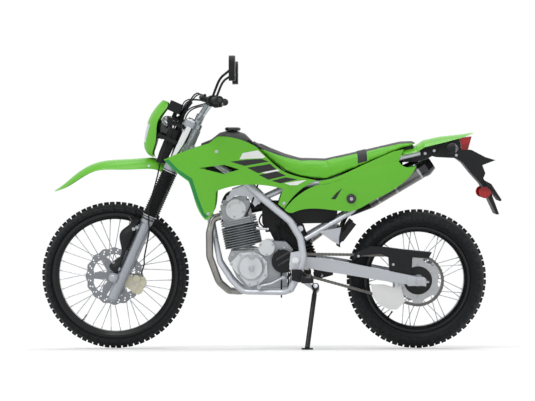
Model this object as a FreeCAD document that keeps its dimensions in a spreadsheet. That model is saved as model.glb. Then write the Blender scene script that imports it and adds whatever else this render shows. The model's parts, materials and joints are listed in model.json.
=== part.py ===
import FreeCAD, Part

import math
import os
from types import SimpleNamespace

import Sketcher

# Dual sport motorcycle, leaning on its side stand.
# The bike is drawn upright: x runs rearwards from the middle of the wheelbase, y to its right, z up
# from the ground. What steers is drawn in a frame of its own: its z runs up the steering axis
# from the lower fork clamp. Every piece is then turned into its place by its Placement.

# Driving dimensions in millimetres, angles in degrees
SIZES = {
    # Stance
    "pixel": 4.52,
    "wheelbase": 1365,
    "head_forward": 400,
    "head_height": 820,
    "rake": 24,
    "axle_reach": 60.5,
    "fit_gap": 0.3,
    "bearing_gap": 0.5,
    "cut_overrun": 2,
    # Front wheel
    "front_tyre_radius": 334,
    "front_tyre_width": 84,
    "front_rim_radius": 284,
    "front_rim_depth": 29,
    "front_rim_width": 50,
    "front_hub_radius": 21,
    "front_hub_width": 120,
    "front_flange_radius": 34,
    "front_flange_spread": 64,
    "front_disc_radius": 131,
    "front_disc_offset": 52,
    # Rear wheel
    "rear_tyre_radius": 317,
    "rear_tyre_width": 116,
    "rear_rim_radius": 239,
    "rear_rim_depth": 24,
    "rear_rim_width": 62,
    "rear_hub_radius": 34,
    "rear_hub_width": 162,
    "rear_flange_radius": 58,
    "rear_flange_spread": 70,
    "rear_disc_radius": 110,
    "rear_disc_offset": 72,
    # What both wheels share
    "lug_height": 13,
    "rim_wall": 4,
    "bead_fit": 0.4,
    "hub_flange_thickness": 3,
    "spoke_radius": 1.8,
    "spoke_offset": 5,
    "rim_spoke_offset": 4,
    "disc_thickness": 4,
    "disc_band": 31,
    "disc_slot_radius": 5,
    "disc_boss_radius": 36,
    "disc_arm_width": 14,
    "axle_radius": 8.5,
    # Rear drive
    "chain_offset": 75,
    "chain_pitch": 15.875,
    "sprocket_radius": 116,
    "sprocket_bore": 64,
    "sprocket_thickness": 5,
    "sprocket_slot_radius": 9,
    "sprocket_carrier_radius": 80,
    "drive_sprocket_radius": 34,
    "drive_x": 77,
    "drive_z": 404,
    "chain_plate_height": 14,
    "chain_plate_thickness": 2,
    "chain_inner_gap": 7,
    "chain_roller_radius": 5,
    # Fork
    "fork_reach": 25,
    "fork_spread": 190,
    "stanchion_radius": 20.5,
    "slider_radius": 24,
    "slider_tail": 100,
    "slider_collar_radius": 28,
    "slider_collar_height": 28,
    "axle_lug_radius": 21,
    "gaiter_radius": 33,
    "gaiter_waist_radius": 28,
    "gaiter_length": 230,
    "clamp_spacing": 206,
    "lower_clamp_height": 36,
    "upper_clamp_height": 26,
    "clamp_ring_wall": 10,
    "clamp_web": 44,
    "stem_radius": 16,
    "head_tube_radius": 29,
    "fork_cap_height": 6,
    "fork_guard_wall": 3,
    "guard_boss_radius": 8,
    # Front brake
    "caliper_radius": 122,
    "caliper_length": 82,
    "caliper_height": 52,
    "caliper_half_width": 15,
    "caliper_gap": 4,
    "caliper_turn": 96,
    "caliper_plate": 5,
    "brake_hose_radius": 3.2,
    # Handlebar and controls
    "bar_radius": 11.1,
    "bar_rise": 246,
    "bar_end_rise": 358,
    "bar_bend_rise": 334,
    "bar_sweep": 62,
    "bar_bend_sweep": 16,
    "bar_width": 812,
    "bar_bend_half": 190,
    "bar_centre_half": 88,
    "bar_bend": 70,
    "grip_radius": 16.5,
    "grip_length": 122,
    "riser_spread": 100,
    "riser_radius": 17,
    "lever_reach": 62,
    # Mirrors
    "mirror_side": 330,
    "mirror_width": 150,
    "mirror_height": 106,
    "mirror_depth": 26,
    "mirror_rise": 504,
    "mirror_back": 54,
    "mirror_stem_radius": 5.5,
    # Headlight group
    "cowl_wall": 3,
    "cowl_rise": 254,
    "cowl_foot_rise": 2,
    "cowl_reach": 207,
    "cowl_half_width": 102,
    "lens_half_width": 62,
    "lens_rise": 88,
    "lens_height": 84,
    "meter_reach": 118,
    "meter_rise": 246,
    "meter_width": 128,
    "meter_length": 58,
    "meter_height": 44,
    "indicator_length": 52,
    "indicator_height": 46,
    "indicator_width": 30,
    "front_indicator_side": 158,
    "indicator_stem_radius": 7,
    # Front fender
    "fender_wall": 3,
    "fender_reach": 466,
    "fender_drop": 319,
    "fender_half_width": 72,
    # Frame
    "spar_radius": 16,
    "downtube_radius": 18,
    "cradle_radius": 12.5,
    "rail_radius": 12,
    "tube_bend": 60,
    "pivot_x": 131,
    "pivot_z": 411,
    "pivot_plate_side": 97,
    "pivot_plate_thickness": 16,
    "pivot_bolt_radius": 9,
    "frame_half_width": 105,
    # Swingarm
    "arm_thickness": 24,
    "arm_pivot_side": 64,
    "arm_axle_side": 93,
    "pivot_tube_radius": 17,
    "arm_height": 56,
    # Engine
    "crankcase_half_width": 66,
    "cylinder_lean": 12,
    "cylinder_x": -98,
    "cylinder_z": 461,
    "fin_length": 168,
    "fin_width": 150,
    "fin_thickness": 3.6,
    "fin_pitch": 10.8,
    "fin_corner": 26,
    "barrel_radius": 52,
    "head_length": 132,
    "head_width": 128,
    "head_block_height": 122,
    "cam_cover_radius": 45,
    "side_cover_depth": 34,
    "generator_radius": 84,
    "header_radius": 16.5,
    "intake_radius": 24,
    "airbox_half_width": 59,
    "shock_radius": 28,
    "muffler_radius": 50,
    "muffler_side": 150,
    # Bodywork
    "panel_wall": 3.5,
    "shroud_front_x": -452,
    "shroud_bottom_z": 592,
    "shroud_length": 678,
    "shroud_height": 371,
    "shroud_half_width": 160,
    "side_cover_front_x": 83,
    "side_cover_bottom_z": 624,
    "side_cover_length": 590,
    "side_cover_height": 244,
    "side_cover_half_width": 118,
    "tank_front_x": -292,
    "tank_height": 188,
    "tank_half_width": 116,
    "tank_top_z": 988,
    "cap_radius": 36,
    "cap_height": 16,
    "cap_x": -150,
    "seat_front_x": -62,
    "seat_length": 734,
    "seat_half_width": 118,
    "seat_base_z": 771,
    "seat_height": 178,
    "tail_half_width": 96,
    "tail_wall": 3,
    "undertail_front_x": 696,
    "undertail_length": 352,
    "rear_indicator_side": 128,
    "undertail_half_width": 52,
    "reflector_radius": 26,
    "reflector_depth": 8,
    "tail_lamp_half_width": 54,
    # Footrests and stand
    "peg_length": 104,
    "peg_depth": 54,
    "peg_height": 24,
    "stand_pivot_x": 221,
    "stand_pivot_side": 112,
    "stand_pivot_z": 291,
    "stand_length": 300,
    "stand_spread": 146,
    "stand_forward": 40,
    "stand_radius": 11,
    "stand_eye_radius": 17,
    "stand_pin_radius": 6,
    "stand_foot_radius": 26,
    "stand_foot_thickness": 7,
}

# Shares of a tyre's height above its bead and of its half width, from bead to crown
TYRE_SHARES = ((0.62, 0.95), (1.0, 0.42))
# Tread blocks on each side of a tyre, and how they lie across it and around it
TYRE_BLOCKS = {"front": 38, "rear": 34}
LUG_ACROSS_SHARES = (0.06, 0.98)
LUG_FALL_SHARE = 0.62
LUG_LONG_SHARE = 0.46
# Facets of the chain around its two sprockets
CHAIN_CORNERS = {"axle": 13, "drive": 7}
# Shares of a rim's depth below its edge and of its half width, outer face then inner face
RIM_OUTER_SHARES = ((0.0, 1.0), (0.42, 1.0), (1.0, 0.5))

# Pixel column of the middle of the wheelbase and pixel row of the ground
MIDDLE_COLUMN = 266
GROUND_ROW = 349.5

UP = FreeCAD.Vector(0, 0, 1)
ACROSS = FreeCAD.Vector(0, 1, 0)
ALONG = FreeCAD.Vector(1, 0, 0)

doc = FreeCAD.newDocument("DualSportMotorcycle")
nodes = {}


class Size:
    """A size with its value and the spreadsheet formula that gives it."""

    def __init__(self, value, formula):
        self.value = float(value)
        self.formula = formula

    def __float__(self):
        return self.value

    def joined(self, sign, other, value):
        return Size(value, "(%s %s %s)" % (self.formula, sign, formula_of(other)))

    def __add__(self, other):
        return self.joined("+", other, self.value + float(other))

    __radd__ = __add__

    def __sub__(self, other):
        return self.joined("-", other, self.value - float(other))

    def __rsub__(self, other):
        return Size(float(other) - self.value, "(%s - %s)" % (formula_of(other), self.formula))

    def __mul__(self, other):
        return self.joined("*", other, self.value * float(other))

    __rmul__ = __mul__

    def __truediv__(self, other):
        return self.joined("/", other, self.value / float(other))

    def __neg__(self):
        return Size(-self.value, "(-%s)" % self.formula)


def formula_of(value):
    return value.formula if isinstance(value, Size) else repr(float(value))


def read_sizes():
    """The spreadsheet of driving dimensions, and each of them by its alias."""
    sheet = doc.addObject("Spreadsheet::Sheet", "Sizes")
    for row, (alias, value) in enumerate(SIZES.items(), start=1):
        sheet.set("A%d" % row, alias)
        sheet.set("B%d" % row, str(value))
        sheet.setAlias("B%d" % row, alias)
    doc.recompute()
    return SimpleNamespace(**{alias: Size(sheet.get(alias), "Sizes." + alias) for alias in SIZES})


size = read_sizes()


def size_of(end, name):
    """A size that the front and the rear wheel each have."""
    return getattr(size, "%s_%s" % (end, name))


def point(x, y, z):
    return FreeCAD.Vector(float(x), float(y), float(z))


def bind(item, prop, value):
    """Set a property to a number, or tie it to the spreadsheet."""
    if isinstance(value, Size):
        item.setExpression(prop, value.formula)
    else:
        setattr(item, prop, float(value))


# Places of the frames that the pieces are drawn in

def axle_rise():
    """Height of the front axle in the steering frame, where its tyre reaches the ground."""
    rake = math.radians(float(size.rake))
    below = float(size.front_tyre_radius) - float(size.head_height)
    return (below - float(size.axle_reach) * math.sin(rake)) / math.cos(rake)


def steering_frame():
    head = point(-size.head_forward, 0, size.head_height)
    return FreeCAD.Placement(head, FreeCAD.Rotation(ACROSS, float(size.rake)))


def front_axle_point():
    return steering_frame().multVec(point(-size.axle_reach, 0, axle_rise()))


def rear_axle_point():
    return point(front_axle_point().x + float(size.wheelbase), 0, size.rear_tyre_radius)


def stand_drop():
    """Height of the stand's pivot above its foot when it is down."""
    flat = float(size.stand_spread) ** 2 + float(size.stand_forward) ** 2
    return math.sqrt(float(size.stand_length) ** 2 - flat)


def stand_foot_point():
    """Lowest point of the stand, drawn upright."""
    return point(
        size.stand_pivot_x - size.stand_forward,
        -size.stand_pivot_side - size.stand_spread,
        float(size.stand_pivot_z) - stand_drop(),
    )


def lean_angle():
    """Lean at which the stand's foot and the rear tyre's round crown meet one floor."""
    crown = float(size.rear_tyre_width) / 2
    foot = stand_foot_point()
    above = foot.z - crown
    span = math.hypot(foot.y, above)
    return math.degrees(math.atan2(foot.y, above) + math.acos(-crown / span))


def leaning():
    """Turns the upright bike onto its stand and its middle over the origin."""
    lean = math.radians(lean_angle())
    crown = float(size.rear_tyre_width) / 2
    lift = crown * (1 - math.cos(lean))
    return FreeCAD.Placement(point(middle_x(), middle_y(), lift), FreeCAD.Rotation(ALONG, lean_angle()))


def middle_x():
    tyre_front = front_axle_point().x - float(size.front_tyre_radius)
    tail = float(size.undertail_front_x + size.undertail_length)
    return -(tyre_front + tail) / 2


def middle_y():
    """Shift to the right that brings the middle of the leaning bike over the origin."""
    bar_end = steering_frame().multVec(point(size.bar_sweep, size.bar_width / 2, size.bar_end_rise))
    return bar_end.z * math.sin(math.radians(lean_angle()))


def steered():
    return leaning().multiply(steering_frame())


def front_wheel_frame():
    return leaning().multiply(FreeCAD.Placement(front_axle_point(), FreeCAD.Rotation()))


def rear_wheel_frame():
    return leaning().multiply(FreeCAD.Placement(rear_axle_point(), FreeCAD.Rotation()))


# Building blocks

def finish(item, label, frame):
    """Name a finished sub-part and put it in its place."""
    item.Label = label
    item.Placement = frame.multiply(item.Placement)
    nodes[label] = item
    return item


def origin_feature(body, role):
    return [feature for feature in body.Origin.OriginFeatures if feature.Role == role][0]


def new_sketch(body, plane, name):
    sketch = body.newObject("Sketcher::SketchObject", name)
    sketch.AttachmentSupport = [(origin_feature(body, plane), "")]
    sketch.MapMode = "FlatFace"
    return sketch


def hold(sketch, kind, edge, end, value):
    """Hold one corner of a sketch at a distance from the origin, tied to the sizes."""
    number = sketch.addConstraint(Sketcher.Constraint(kind, -1, 1, edge, end, float(value)))
    if isinstance(value, Size):
        sketch.setExpression("Constraints[%d]" % number, value.formula)


def draw_outline(sketch, corners):
    """A closed outline of straight edges whose corners are sizes."""
    count = len(corners)
    first = sketch.GeometryCount
    for place, corner in enumerate(corners):
        following = corners[(place + 1) % count]
        sketch.addGeometry(Part.LineSegment(point(*corner, 0), point(*following, 0)))
    for place, corner in enumerate(corners):
        edge = first + place
        sketch.addConstraint(Sketcher.Constraint("Coincident", edge, 2, first + (place + 1) % count, 1))
        hold(sketch, "DistanceX", edge, 1, corner[0])
        hold(sketch, "DistanceY", edge, 1, corner[1])


def draw_circle(sketch, across, along, radius):
    edge = sketch.addGeometry(Part.Circle(point(across, along, 0), UP, float(radius)))
    number = sketch.addConstraint(Sketcher.Constraint("Radius", edge, float(radius)))
    if isinstance(radius, Size):
        sketch.setExpression("Constraints[%d]" % number, radius.formula)
    hold(sketch, "DistanceX", edge, 3, across)
    hold(sketch, "DistanceY", edge, 3, along)


def turned(name, corners, plane="XY_Plane"):
    """A body turned from an outline of (radius, place along the axis) corners."""
    body = doc.addObject("PartDesign::Body", name)
    sketch = new_sketch(body, plane, name + "_outline")
    draw_outline(sketch, corners)
    turn = body.newObject("PartDesign::Revolution", name + "_turn")
    turn.Profile = sketch
    turn.ReferenceAxis = (sketch, ["V_Axis"])
    turn.Angle = 360
    return body


def padded_disc(name, circles, thickness, plane="XZ_Plane"):
    """A flat body between circles, its thickness shared about the plane."""
    body = doc.addObject("PartDesign::Body", name)
    sketch = new_sketch(body, plane, name + "_outline")
    for radius in circles:
        draw_circle(sketch, 0, 0, radius)
    pad = body.newObject("PartDesign::Pad", name + "_pad")
    pad.Profile = sketch
    pad.SideType = "Symmetric"
    bind(pad, "Length", thickness)
    return body


def ring_of_cuts(body, name, draw, count, depth, plane="XZ_Plane", axis="Y_Axis"):
    """Pockets one drawn hole through a body and repeats it about an axis."""
    sketch = new_sketch(body, plane, name + "_outline")
    draw(sketch)
    doc.recompute()
    pocket = body.newObject("PartDesign::Pocket", name + "_cut")
    pocket.Profile = sketch
    pocket.SideType = "Symmetric"
    bind(pocket, "Length", depth)
    pattern = body.newObject("PartDesign::PolarPattern", name + "_ring")
    pattern.Originals = [pocket]
    pattern.Axis = (origin_feature(body, axis), [""])
    pattern.Angle = 360
    pattern.Occurrences = count
    body.Tip = pattern


def rod(name, radius, start, end):
    """A round bar between two points."""
    bar = doc.addObject("Part::Cylinder", name)
    bind(bar, "Radius", radius)
    bar.Height = (end - start).Length
    bar.Placement = FreeCAD.Placement(start, FreeCAD.Rotation(UP, end - start))
    return bar


def cone(name, first_radius, last_radius, start, end):
    """A tapering round bar between two points."""
    bar = doc.addObject("Part::Cone", name)
    bind(bar, "Radius1", first_radius)
    bind(bar, "Radius2", last_radius)
    bar.Height = (end - start).Length
    bar.Placement = FreeCAD.Placement(start, FreeCAD.Rotation(UP, end - start))
    return bar


def block(name, low, high):
    """A box between two corners that are given as sizes."""
    box = doc.addObject("Part::Box", name)
    for prop, near, far in zip(("Length", "Width", "Height"), low, high):
        bind(box, prop, far - near)
    box.Placement.Base = point(*low)
    return box


def fused(name, pieces):
    whole = doc.addObject("Part::MultiFuse", name)
    whole.Shapes = pieces
    whole.Refine = False
    return whole


def cut(name, base, tool):
    rest = doc.addObject("Part::Cut", name)
    rest.Base = base
    rest.Tool = tool
    rest.Refine = False
    return rest


def shared(name, pieces):
    whole = doc.addObject("Part::MultiCommon", name)
    whole.Shapes = pieces
    whole.Refine = False
    return whole


def together(name, pieces):
    """Pieces that don't touch, kept as one sub-part."""
    group = doc.addObject("Part::Compound", name)
    group.Links = pieces
    return group


def mirrored(name, source):
    """The same piece on the other side of the bike."""
    twin = doc.addObject("Part::Mirroring", name)
    twin.Source = source
    twin.Normal = ACROSS
    return twin


def pair(name, source):
    return together(name, [source, mirrored(name + "_other", source)])


def wire_item(name, wire):
    item = doc.addObject("Part::Feature", name)
    item.Shape = wire
    return item


def bent_path(points, bend):
    """Straight runs joined by tangent arcs, each as large as its runs allow."""
    edges = []
    start = points[0]
    for before, corner, after in zip(points, points[1:], points[2:]):
        back = before - corner
        ahead = after - corner
        shorter = min(back.Length, ahead.Length)
        back.normalize()
        ahead.normalize()
        half = back.getAngle(ahead) / 2
        radius = min(float(bend), 0.45 * shorter * math.tan(half))
        trim = radius / math.tan(half)
        inwards = back + ahead
        inwards.normalize()
        middle = corner + inwards * (radius / math.sin(half) - radius)
        first = corner + back * trim
        last = corner + ahead * trim
        edges.append(Part.LineSegment(start, first).toShape())
        edges.append(Part.Arc(first, middle, last).toShape())
        start = last
    edges.append(Part.LineSegment(start, points[-1]).toShape())
    return Part.Wire(edges)


def tube(name, radius, points, bend):
    """A round tube bent along a path."""
    path = wire_item(name + "_path", bent_path(points, bend))
    ring = doc.addObject("Part::Circle", name + "_ring")
    bind(ring, "Radius", radius)
    ring.Placement = FreeCAD.Placement(points[0], FreeCAD.Rotation(UP, points[1] - points[0]))
    sweep = doc.addObject("Part::Sweep", name)
    sweep.Sections = [ring]
    sweep.Spine = (path, ["Edge%d" % number for number in range(1, len(path.Shape.Edges) + 1)])
    sweep.Solid = True
    sweep.Frenet = False
    return sweep


def straight_sides(name, radius, points):
    """A tube with one straight run."""
    return rod(name, radius, points[0], points[-1])


def fitted(runs, left, bottom, length, height):
    """Runs of an outline read from the photo in pixels, fitted to a real length and height."""
    columns = [place[0] for run in runs for place in run]
    rows = [place[1] for run in runs for place in run]
    wide = max(columns) - min(columns)
    tall = max(rows) - min(rows)

    def placed(column, row):
        return (
            float(left) + float(length) * (column - min(columns)) / wide,
            float(bottom) + float(height) * (max(rows) - row) / tall,
        )

    return [[placed(*place) for place in run] for run in runs]


def run_wire(runs, lift):
    """A closed wire: a run of two points is straight and a longer one is a smooth curve."""
    edges = []
    for run in runs:
        places = [lift(*place) for place in run]
        if len(places) == 2:
            edges.append(Part.LineSegment(*places).toShape())
        else:
            curve = Part.BSplineCurve()
            curve.interpolate(places)
            edges.append(curve.toShape())
    return Part.Wire(edges)


def side_prism(name, runs, near, far):
    """An outline seen from the side, carried across the bike from near to far."""
    outline = wire_item(name + "_outline", run_wire(runs, lambda x, z: point(x, near, z)))
    prism = doc.addObject("Part::Extrusion", name)
    prism.Base = outline
    prism.DirMode = "Custom"
    prism.Dir = ACROSS
    bind(prism, "LengthFwd", far - near)
    prism.Solid = True
    return prism


def polygon_prism(name, corners, near, far):
    """A straight edged outline seen from the side, carried across the bike."""
    runs = [[corner, corners[(place + 1) % len(corners)]] for place, corner in enumerate(corners)]
    runs = [[(float(x), float(z)) for x, z in run] for run in runs]
    return side_prism(name, runs, near, far)


def loft(name, wires, ruled=False):
    sections = [wire_item("%s_section_%d" % (name, number), wire) for number, wire in enumerate(wires, start=1)]
    skin = doc.addObject("Part::Loft", name)
    skin.Sections = sections
    skin.Solid = True
    skin.Ruled = ruled
    return skin


def arch_wire(middle, rise, half_width, drop, wall):
    """Section of a curved shell: an arch across the bike with its crown along rise."""
    rise = FreeCAD.Vector(rise)
    rise.normalize()
    half = ACROSS * float(half_width)
    inner = ACROSS * (float(half_width) - float(wall))
    foot = middle - rise * float(drop)
    crown = middle - rise * float(wall)
    outer_arc = Part.Arc(foot - half, middle, foot + half).toShape()
    inner_arc = Part.Arc(foot + inner, crown, foot - inner).toShape()
    near_edge = Part.LineSegment(foot + half, foot + inner).toShape()
    far_edge = Part.LineSegment(foot - inner, foot - half).toShape()
    return Part.Wire([outer_arc, near_edge, inner_arc, far_edge])


def domed_wire(x, half_width, low, shoulder, high, half_base):
    """Section across the bike with a flat base, leaning sides and a domed top."""
    base_left = point(x, -half_base, low)
    base_right = point(x, half_base, low)
    left = point(x, -half_width, shoulder)
    right = point(x, half_width, shoulder)
    return Part.Wire([
        Part.LineSegment(base_left, base_right).toShape(),
        Part.LineSegment(base_right, right).toShape(),
        Part.Arc(right, point(x, 0, high), left).toShape(),
        Part.LineSegment(left, base_left).toShape(),
    ])


def skin_wire(x, places, wall):
    """Section of a side panel: a curve down its outside and its copy a wall further in."""
    outer = [point(x, -side, z) for side, z in places]
    inner = [point(x, -(float(side) - float(wall)), z) for side, z in places]
    outside = Part.Arc(*outer).toShape()
    inside = Part.Arc(*reversed(inner)).toShape()
    return Part.Wire([
        outside,
        Part.LineSegment(outer[-1], inner[-1]).toShape(),
        inside,
        Part.LineSegment(inner[0], outer[0]).toShape(),
    ])


# Wheels, drawn about their axles

def faceted_ring(name, outline, count):
    """A closed outline carried around a wheel's axle in flat facets, set by code: lofted sides aren't flat."""
    wide = 1 / math.cos(math.pi / count)
    rings = []
    for number in range(count):
        turn = FreeCAD.Rotation(ACROSS, 360 * (number + 0.5) / count)
        rings.append([turn.multVec(point(0, along, radius * wide)) for radius, along in outline])
    faces = []
    for first, second in zip(rings, rings[1:] + rings[:1]):
        for corner in range(len(outline)):
            after = (corner + 1) % len(outline)
            corners = [first[corner], first[after], second[after], second[corner]]
            faces.append(Part.Face(Part.makePolygon(corners + corners[:1])))
    item = doc.addObject("Part::Feature", name)
    shell = Part.Shell(faces)
    shell.sewShape()
    solid = Part.Solid(shell)
    item.Shape = solid if solid.Volume > 0 else solid.reversed()
    return item


def tyre_block(end, side, number, count):
    """One tread block, leaning outwards on its side of the tyre."""
    radius, half = size_of(end, "tyre_radius"), size_of(end, "tyre_width") / 2
    long = float(radius) * 2 * math.pi / count * LUG_LONG_SHARE
    inner, outer = (float(half) * share for share in LUG_ACROSS_SHARES)
    tip, edge = (float(radius), float(radius) - float(half) * LUG_FALL_SHARE)
    root = float(radius) - float(size.lug_height) * 2
    outline = [(inner, tip), (outer, edge), (outer - (tip - edge), root), (inner, root)]
    wire = Part.makePolygon([point(-long / 2, along * side, up) for along, up in outline + outline[:1]])
    item = doc.addObject("Part::Extrusion", "%s_block" % end)
    item.Base = wire_item(item.Name + "_outline", wire)
    item.DirMode = "Custom"
    item.Dir = ALONG
    item.LengthFwd = long
    item.Solid = True
    item.Placement = FreeCAD.Placement(FreeCAD.Vector(), FreeCAD.Rotation(ACROSS, 360 * number / count))
    return item


def make_tyre(end):
    """Tyre in flat facets, one for each pair of its tread blocks, seated on its rim."""
    count = TYRE_BLOCKS[end]
    bead = size_of(end, "rim_radius") - size.rim_wall * 2
    half = size_of(end, "tyre_width") / 2
    height = size_of(end, "tyre_radius") - bead - size.lug_height
    seat = size_of(end, "rim_width") / 2 - size.rim_wall - size.bead_fit
    edge = size_of(end, "rim_radius") + size.bead_fit
    right = [(bead, seat), (edge, seat)] + [(bead + height * up, half * out) for up, out in TYRE_SHARES]
    left = [(radius, -along) for radius, along in right]
    ring = faceted_ring(end + "_carcass", left + right[::-1], count)
    blocks = [
        tyre_block(end, side, number + side * 0.25, count) for side in (-1, 1) for number in range(count)]
    return finish(fused(end + "_tyre_body", [ring] + blocks), end + "_tyre", wheel_frame(end))


def wheel_frame(end):
    return front_wheel_frame() if end == "front" else rear_wheel_frame()


def make_rim(end):
    edge = size_of(end, "rim_radius")
    depth = size_of(end, "rim_depth")
    half = size_of(end, "rim_width") / 2
    outer = [(edge - depth * down, half * out) for down, out in RIM_OUTER_SHARES]
    inner_half = half - size.rim_wall
    well = depth - size.rim_wall
    inner = [
        (edge, inner_half),
        (edge - size.rim_wall * 2 - size.bead_fit, inner_half),
        (edge - well, half * 0.42),
    ]
    right = inner[::-1] + outer
    left = [(radius, -along) for radius, along in reversed(right)]
    return finish(turned(end + "_rim_body", right + left), end + "_rim", wheel_frame(end))


def make_spokes(end):
    """Thirty-six crossed spokes, every second one headed outside its flange."""
    hub_radius = float(size_of(end, "flange_radius") - size.spoke_radius * 2)
    rim_radius = float(size_of(end, "rim_radius") - size_of(end, "rim_depth") - size.fit_gap * 2)
    flange = float(size_of(end, "flange_spread")) / 2
    crossing = 60 if end == "front" else 48
    spokes = []
    for side in (-1, 1):
        for lead in (-1, 1):
            for number in range(9):
                start_angle = 40 * number + 10 * lead + 5 * side
                end_angle = start_angle + lead * crossing
                start_y = side * (flange + lead * float(size.spoke_offset))
                end_y = side * float(size.rim_spoke_offset)
                start = FreeCAD.Rotation(ACROSS, start_angle).multVec(point(hub_radius, start_y, 0))
                stop = FreeCAD.Rotation(ACROSS, end_angle).multVec(point(rim_radius, end_y, 0))
                name = "%s_spoke_%d" % (end, len(spokes) + 1)
                spokes.append(rod(name, size.spoke_radius, start, stop))
    return finish(together(end + "_spoke_set", spokes), end + "_spokes", wheel_frame(end))


def make_front_hub():
    half = size.front_hub_width / 2
    flange = size.front_flange_spread / 2
    thick = size.hub_flange_thickness / 2
    bore = size.axle_radius + size.bearing_gap
    disc_face = size.front_disc_offset - size.disc_thickness / 2 - size.fit_gap
    corners = [
        (bore, half),
        (size.front_hub_radius, half),
        (size.front_hub_radius, flange + thick),
        (size.front_flange_radius, flange + thick),
        (size.front_flange_radius, flange - thick),
        (size.front_hub_radius, flange - thick),
        (size.front_hub_radius, -flange + thick),
        (size.front_flange_radius, -flange + thick),
        (size.front_flange_radius, -flange - thick),
        (size.front_hub_radius, -flange - thick),
        (size.front_hub_radius, -disc_face + size.disc_thickness * 2),
        (size.disc_boss_radius, -disc_face + size.disc_thickness * 2),
        (size.disc_boss_radius, -disc_face),
        (size.front_hub_radius, -disc_face),
        (size.front_hub_radius, -half),
        (bore, -half),
    ]
    return finish(turned("front_hub_body", corners), "front_hub", front_wheel_frame())


def make_rear_hub():
    half = size.rear_hub_width / 2
    flange = size.rear_flange_spread / 2
    thick = size.hub_flange_thickness / 2
    bore = size.axle_radius + size.bearing_gap
    disc_face = size.rear_disc_offset - size.disc_thickness / 2 - size.fit_gap
    chain_face = size.chain_offset - size.sprocket_thickness / 2 - size.fit_gap
    corners = [
        (bore, half),
        (size.front_hub_radius, half),
        (size.front_hub_radius, disc_face),
        (size.disc_boss_radius, disc_face),
        (size.disc_boss_radius, disc_face - size.disc_thickness * 2),
        (size.rear_hub_radius, disc_face - size.disc_thickness * 2),
        (size.rear_hub_radius, flange + thick),
        (size.rear_flange_radius, flange + thick),
        (size.rear_flange_radius, flange - thick),
        (size.rear_hub_radius, flange - thick),
        (size.rear_hub_radius, -flange + thick),
        (size.rear_flange_radius, -flange + thick),
        (size.rear_flange_radius, -flange - thick),
        (size.rear_hub_radius, -flange - thick),
        (size.rear_hub_radius, -flange - size.spoke_offset * 2),
        (size.sprocket_carrier_radius, -chain_face + size.disc_thickness * 2),
        (size.sprocket_carrier_radius, -chain_face),
        (size.sprocket_bore - size.fit_gap, -chain_face),
        (size.sprocket_bore - size.fit_gap, -half + size.disc_thickness),
        (size.front_hub_radius, -half),
        (bore, -half),
    ]
    return finish(turned("rear_hub_body", corners), "rear_hub", rear_wheel_frame())


def make_disc(end, side):
    """Brake disc: a slotted band on arms from the hub."""
    radius = size_of(end, "disc_radius")
    hub = size.front_hub_radius + size.fit_gap
    disc = padded_disc(end + "_disc_body", (radius, hub), size.disc_thickness)
    window = radius - size.disc_band

    def draw_window(sketch):
        draw_outline(sketch, [
            (size.disc_boss_radius + size.disc_slot_radius, -size.disc_arm_width),
            (window * 0.9, -window * 0.42),
            (window * 0.99, 0),
            (window * 0.9, window * 0.36),
            (size.disc_boss_radius + size.disc_slot_radius, size.disc_arm_width * 0.4),
        ])

    def draw_slot(sketch):
        draw_circle(sketch, radius - size.disc_band / 2, 0, size.disc_slot_radius)

    depth = size.disc_thickness + size.cut_overrun * 2
    ring_of_cuts(disc, end + "_disc_window", draw_window, 6, depth)
    ring_of_cuts(disc, end + "_disc_slot", draw_slot, 12, depth)
    offset = side * size_of(end, "disc_offset")
    disc.Placement.Base = point(0, offset, 0)
    return finish(disc, end + "_disc", wheel_frame(end))


def make_sprocket():
    sprocket = padded_disc("rear_sprocket_body", (size.sprocket_radius, size.sprocket_bore), size.sprocket_thickness)

    def draw_slot(sketch):
        draw_circle(sketch, (size.sprocket_radius + size.sprocket_carrier_radius) / 2, 0, size.sprocket_slot_radius)

    ring_of_cuts(sprocket, "sprocket_slot", draw_slot, 6, size.sprocket_thickness + size.cut_overrun * 2)
    sprocket.Placement.Base = point(0, -size.chain_offset, 0)
    return finish(sprocket, "rear_sprocket", rear_wheel_frame())


def make_wheels():
    for end in ("front", "rear"):
        make_tyre(end)
        make_rim(end)
        make_spokes(end)
    make_front_hub()
    make_rear_hub()
    make_disc("front", -1)
    make_disc("rear", 1)
    make_sprocket()


# Fork and front brake, drawn in the steering frame

def fork_line(rise):
    """A point on the right fork leg's own axis."""
    return point(-size.fork_reach, size.fork_spread / 2, rise)


def slider_top():
    return -(size.lower_clamp_height / 2 + size.fit_gap * 2 + size.gaiter_length)


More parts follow.
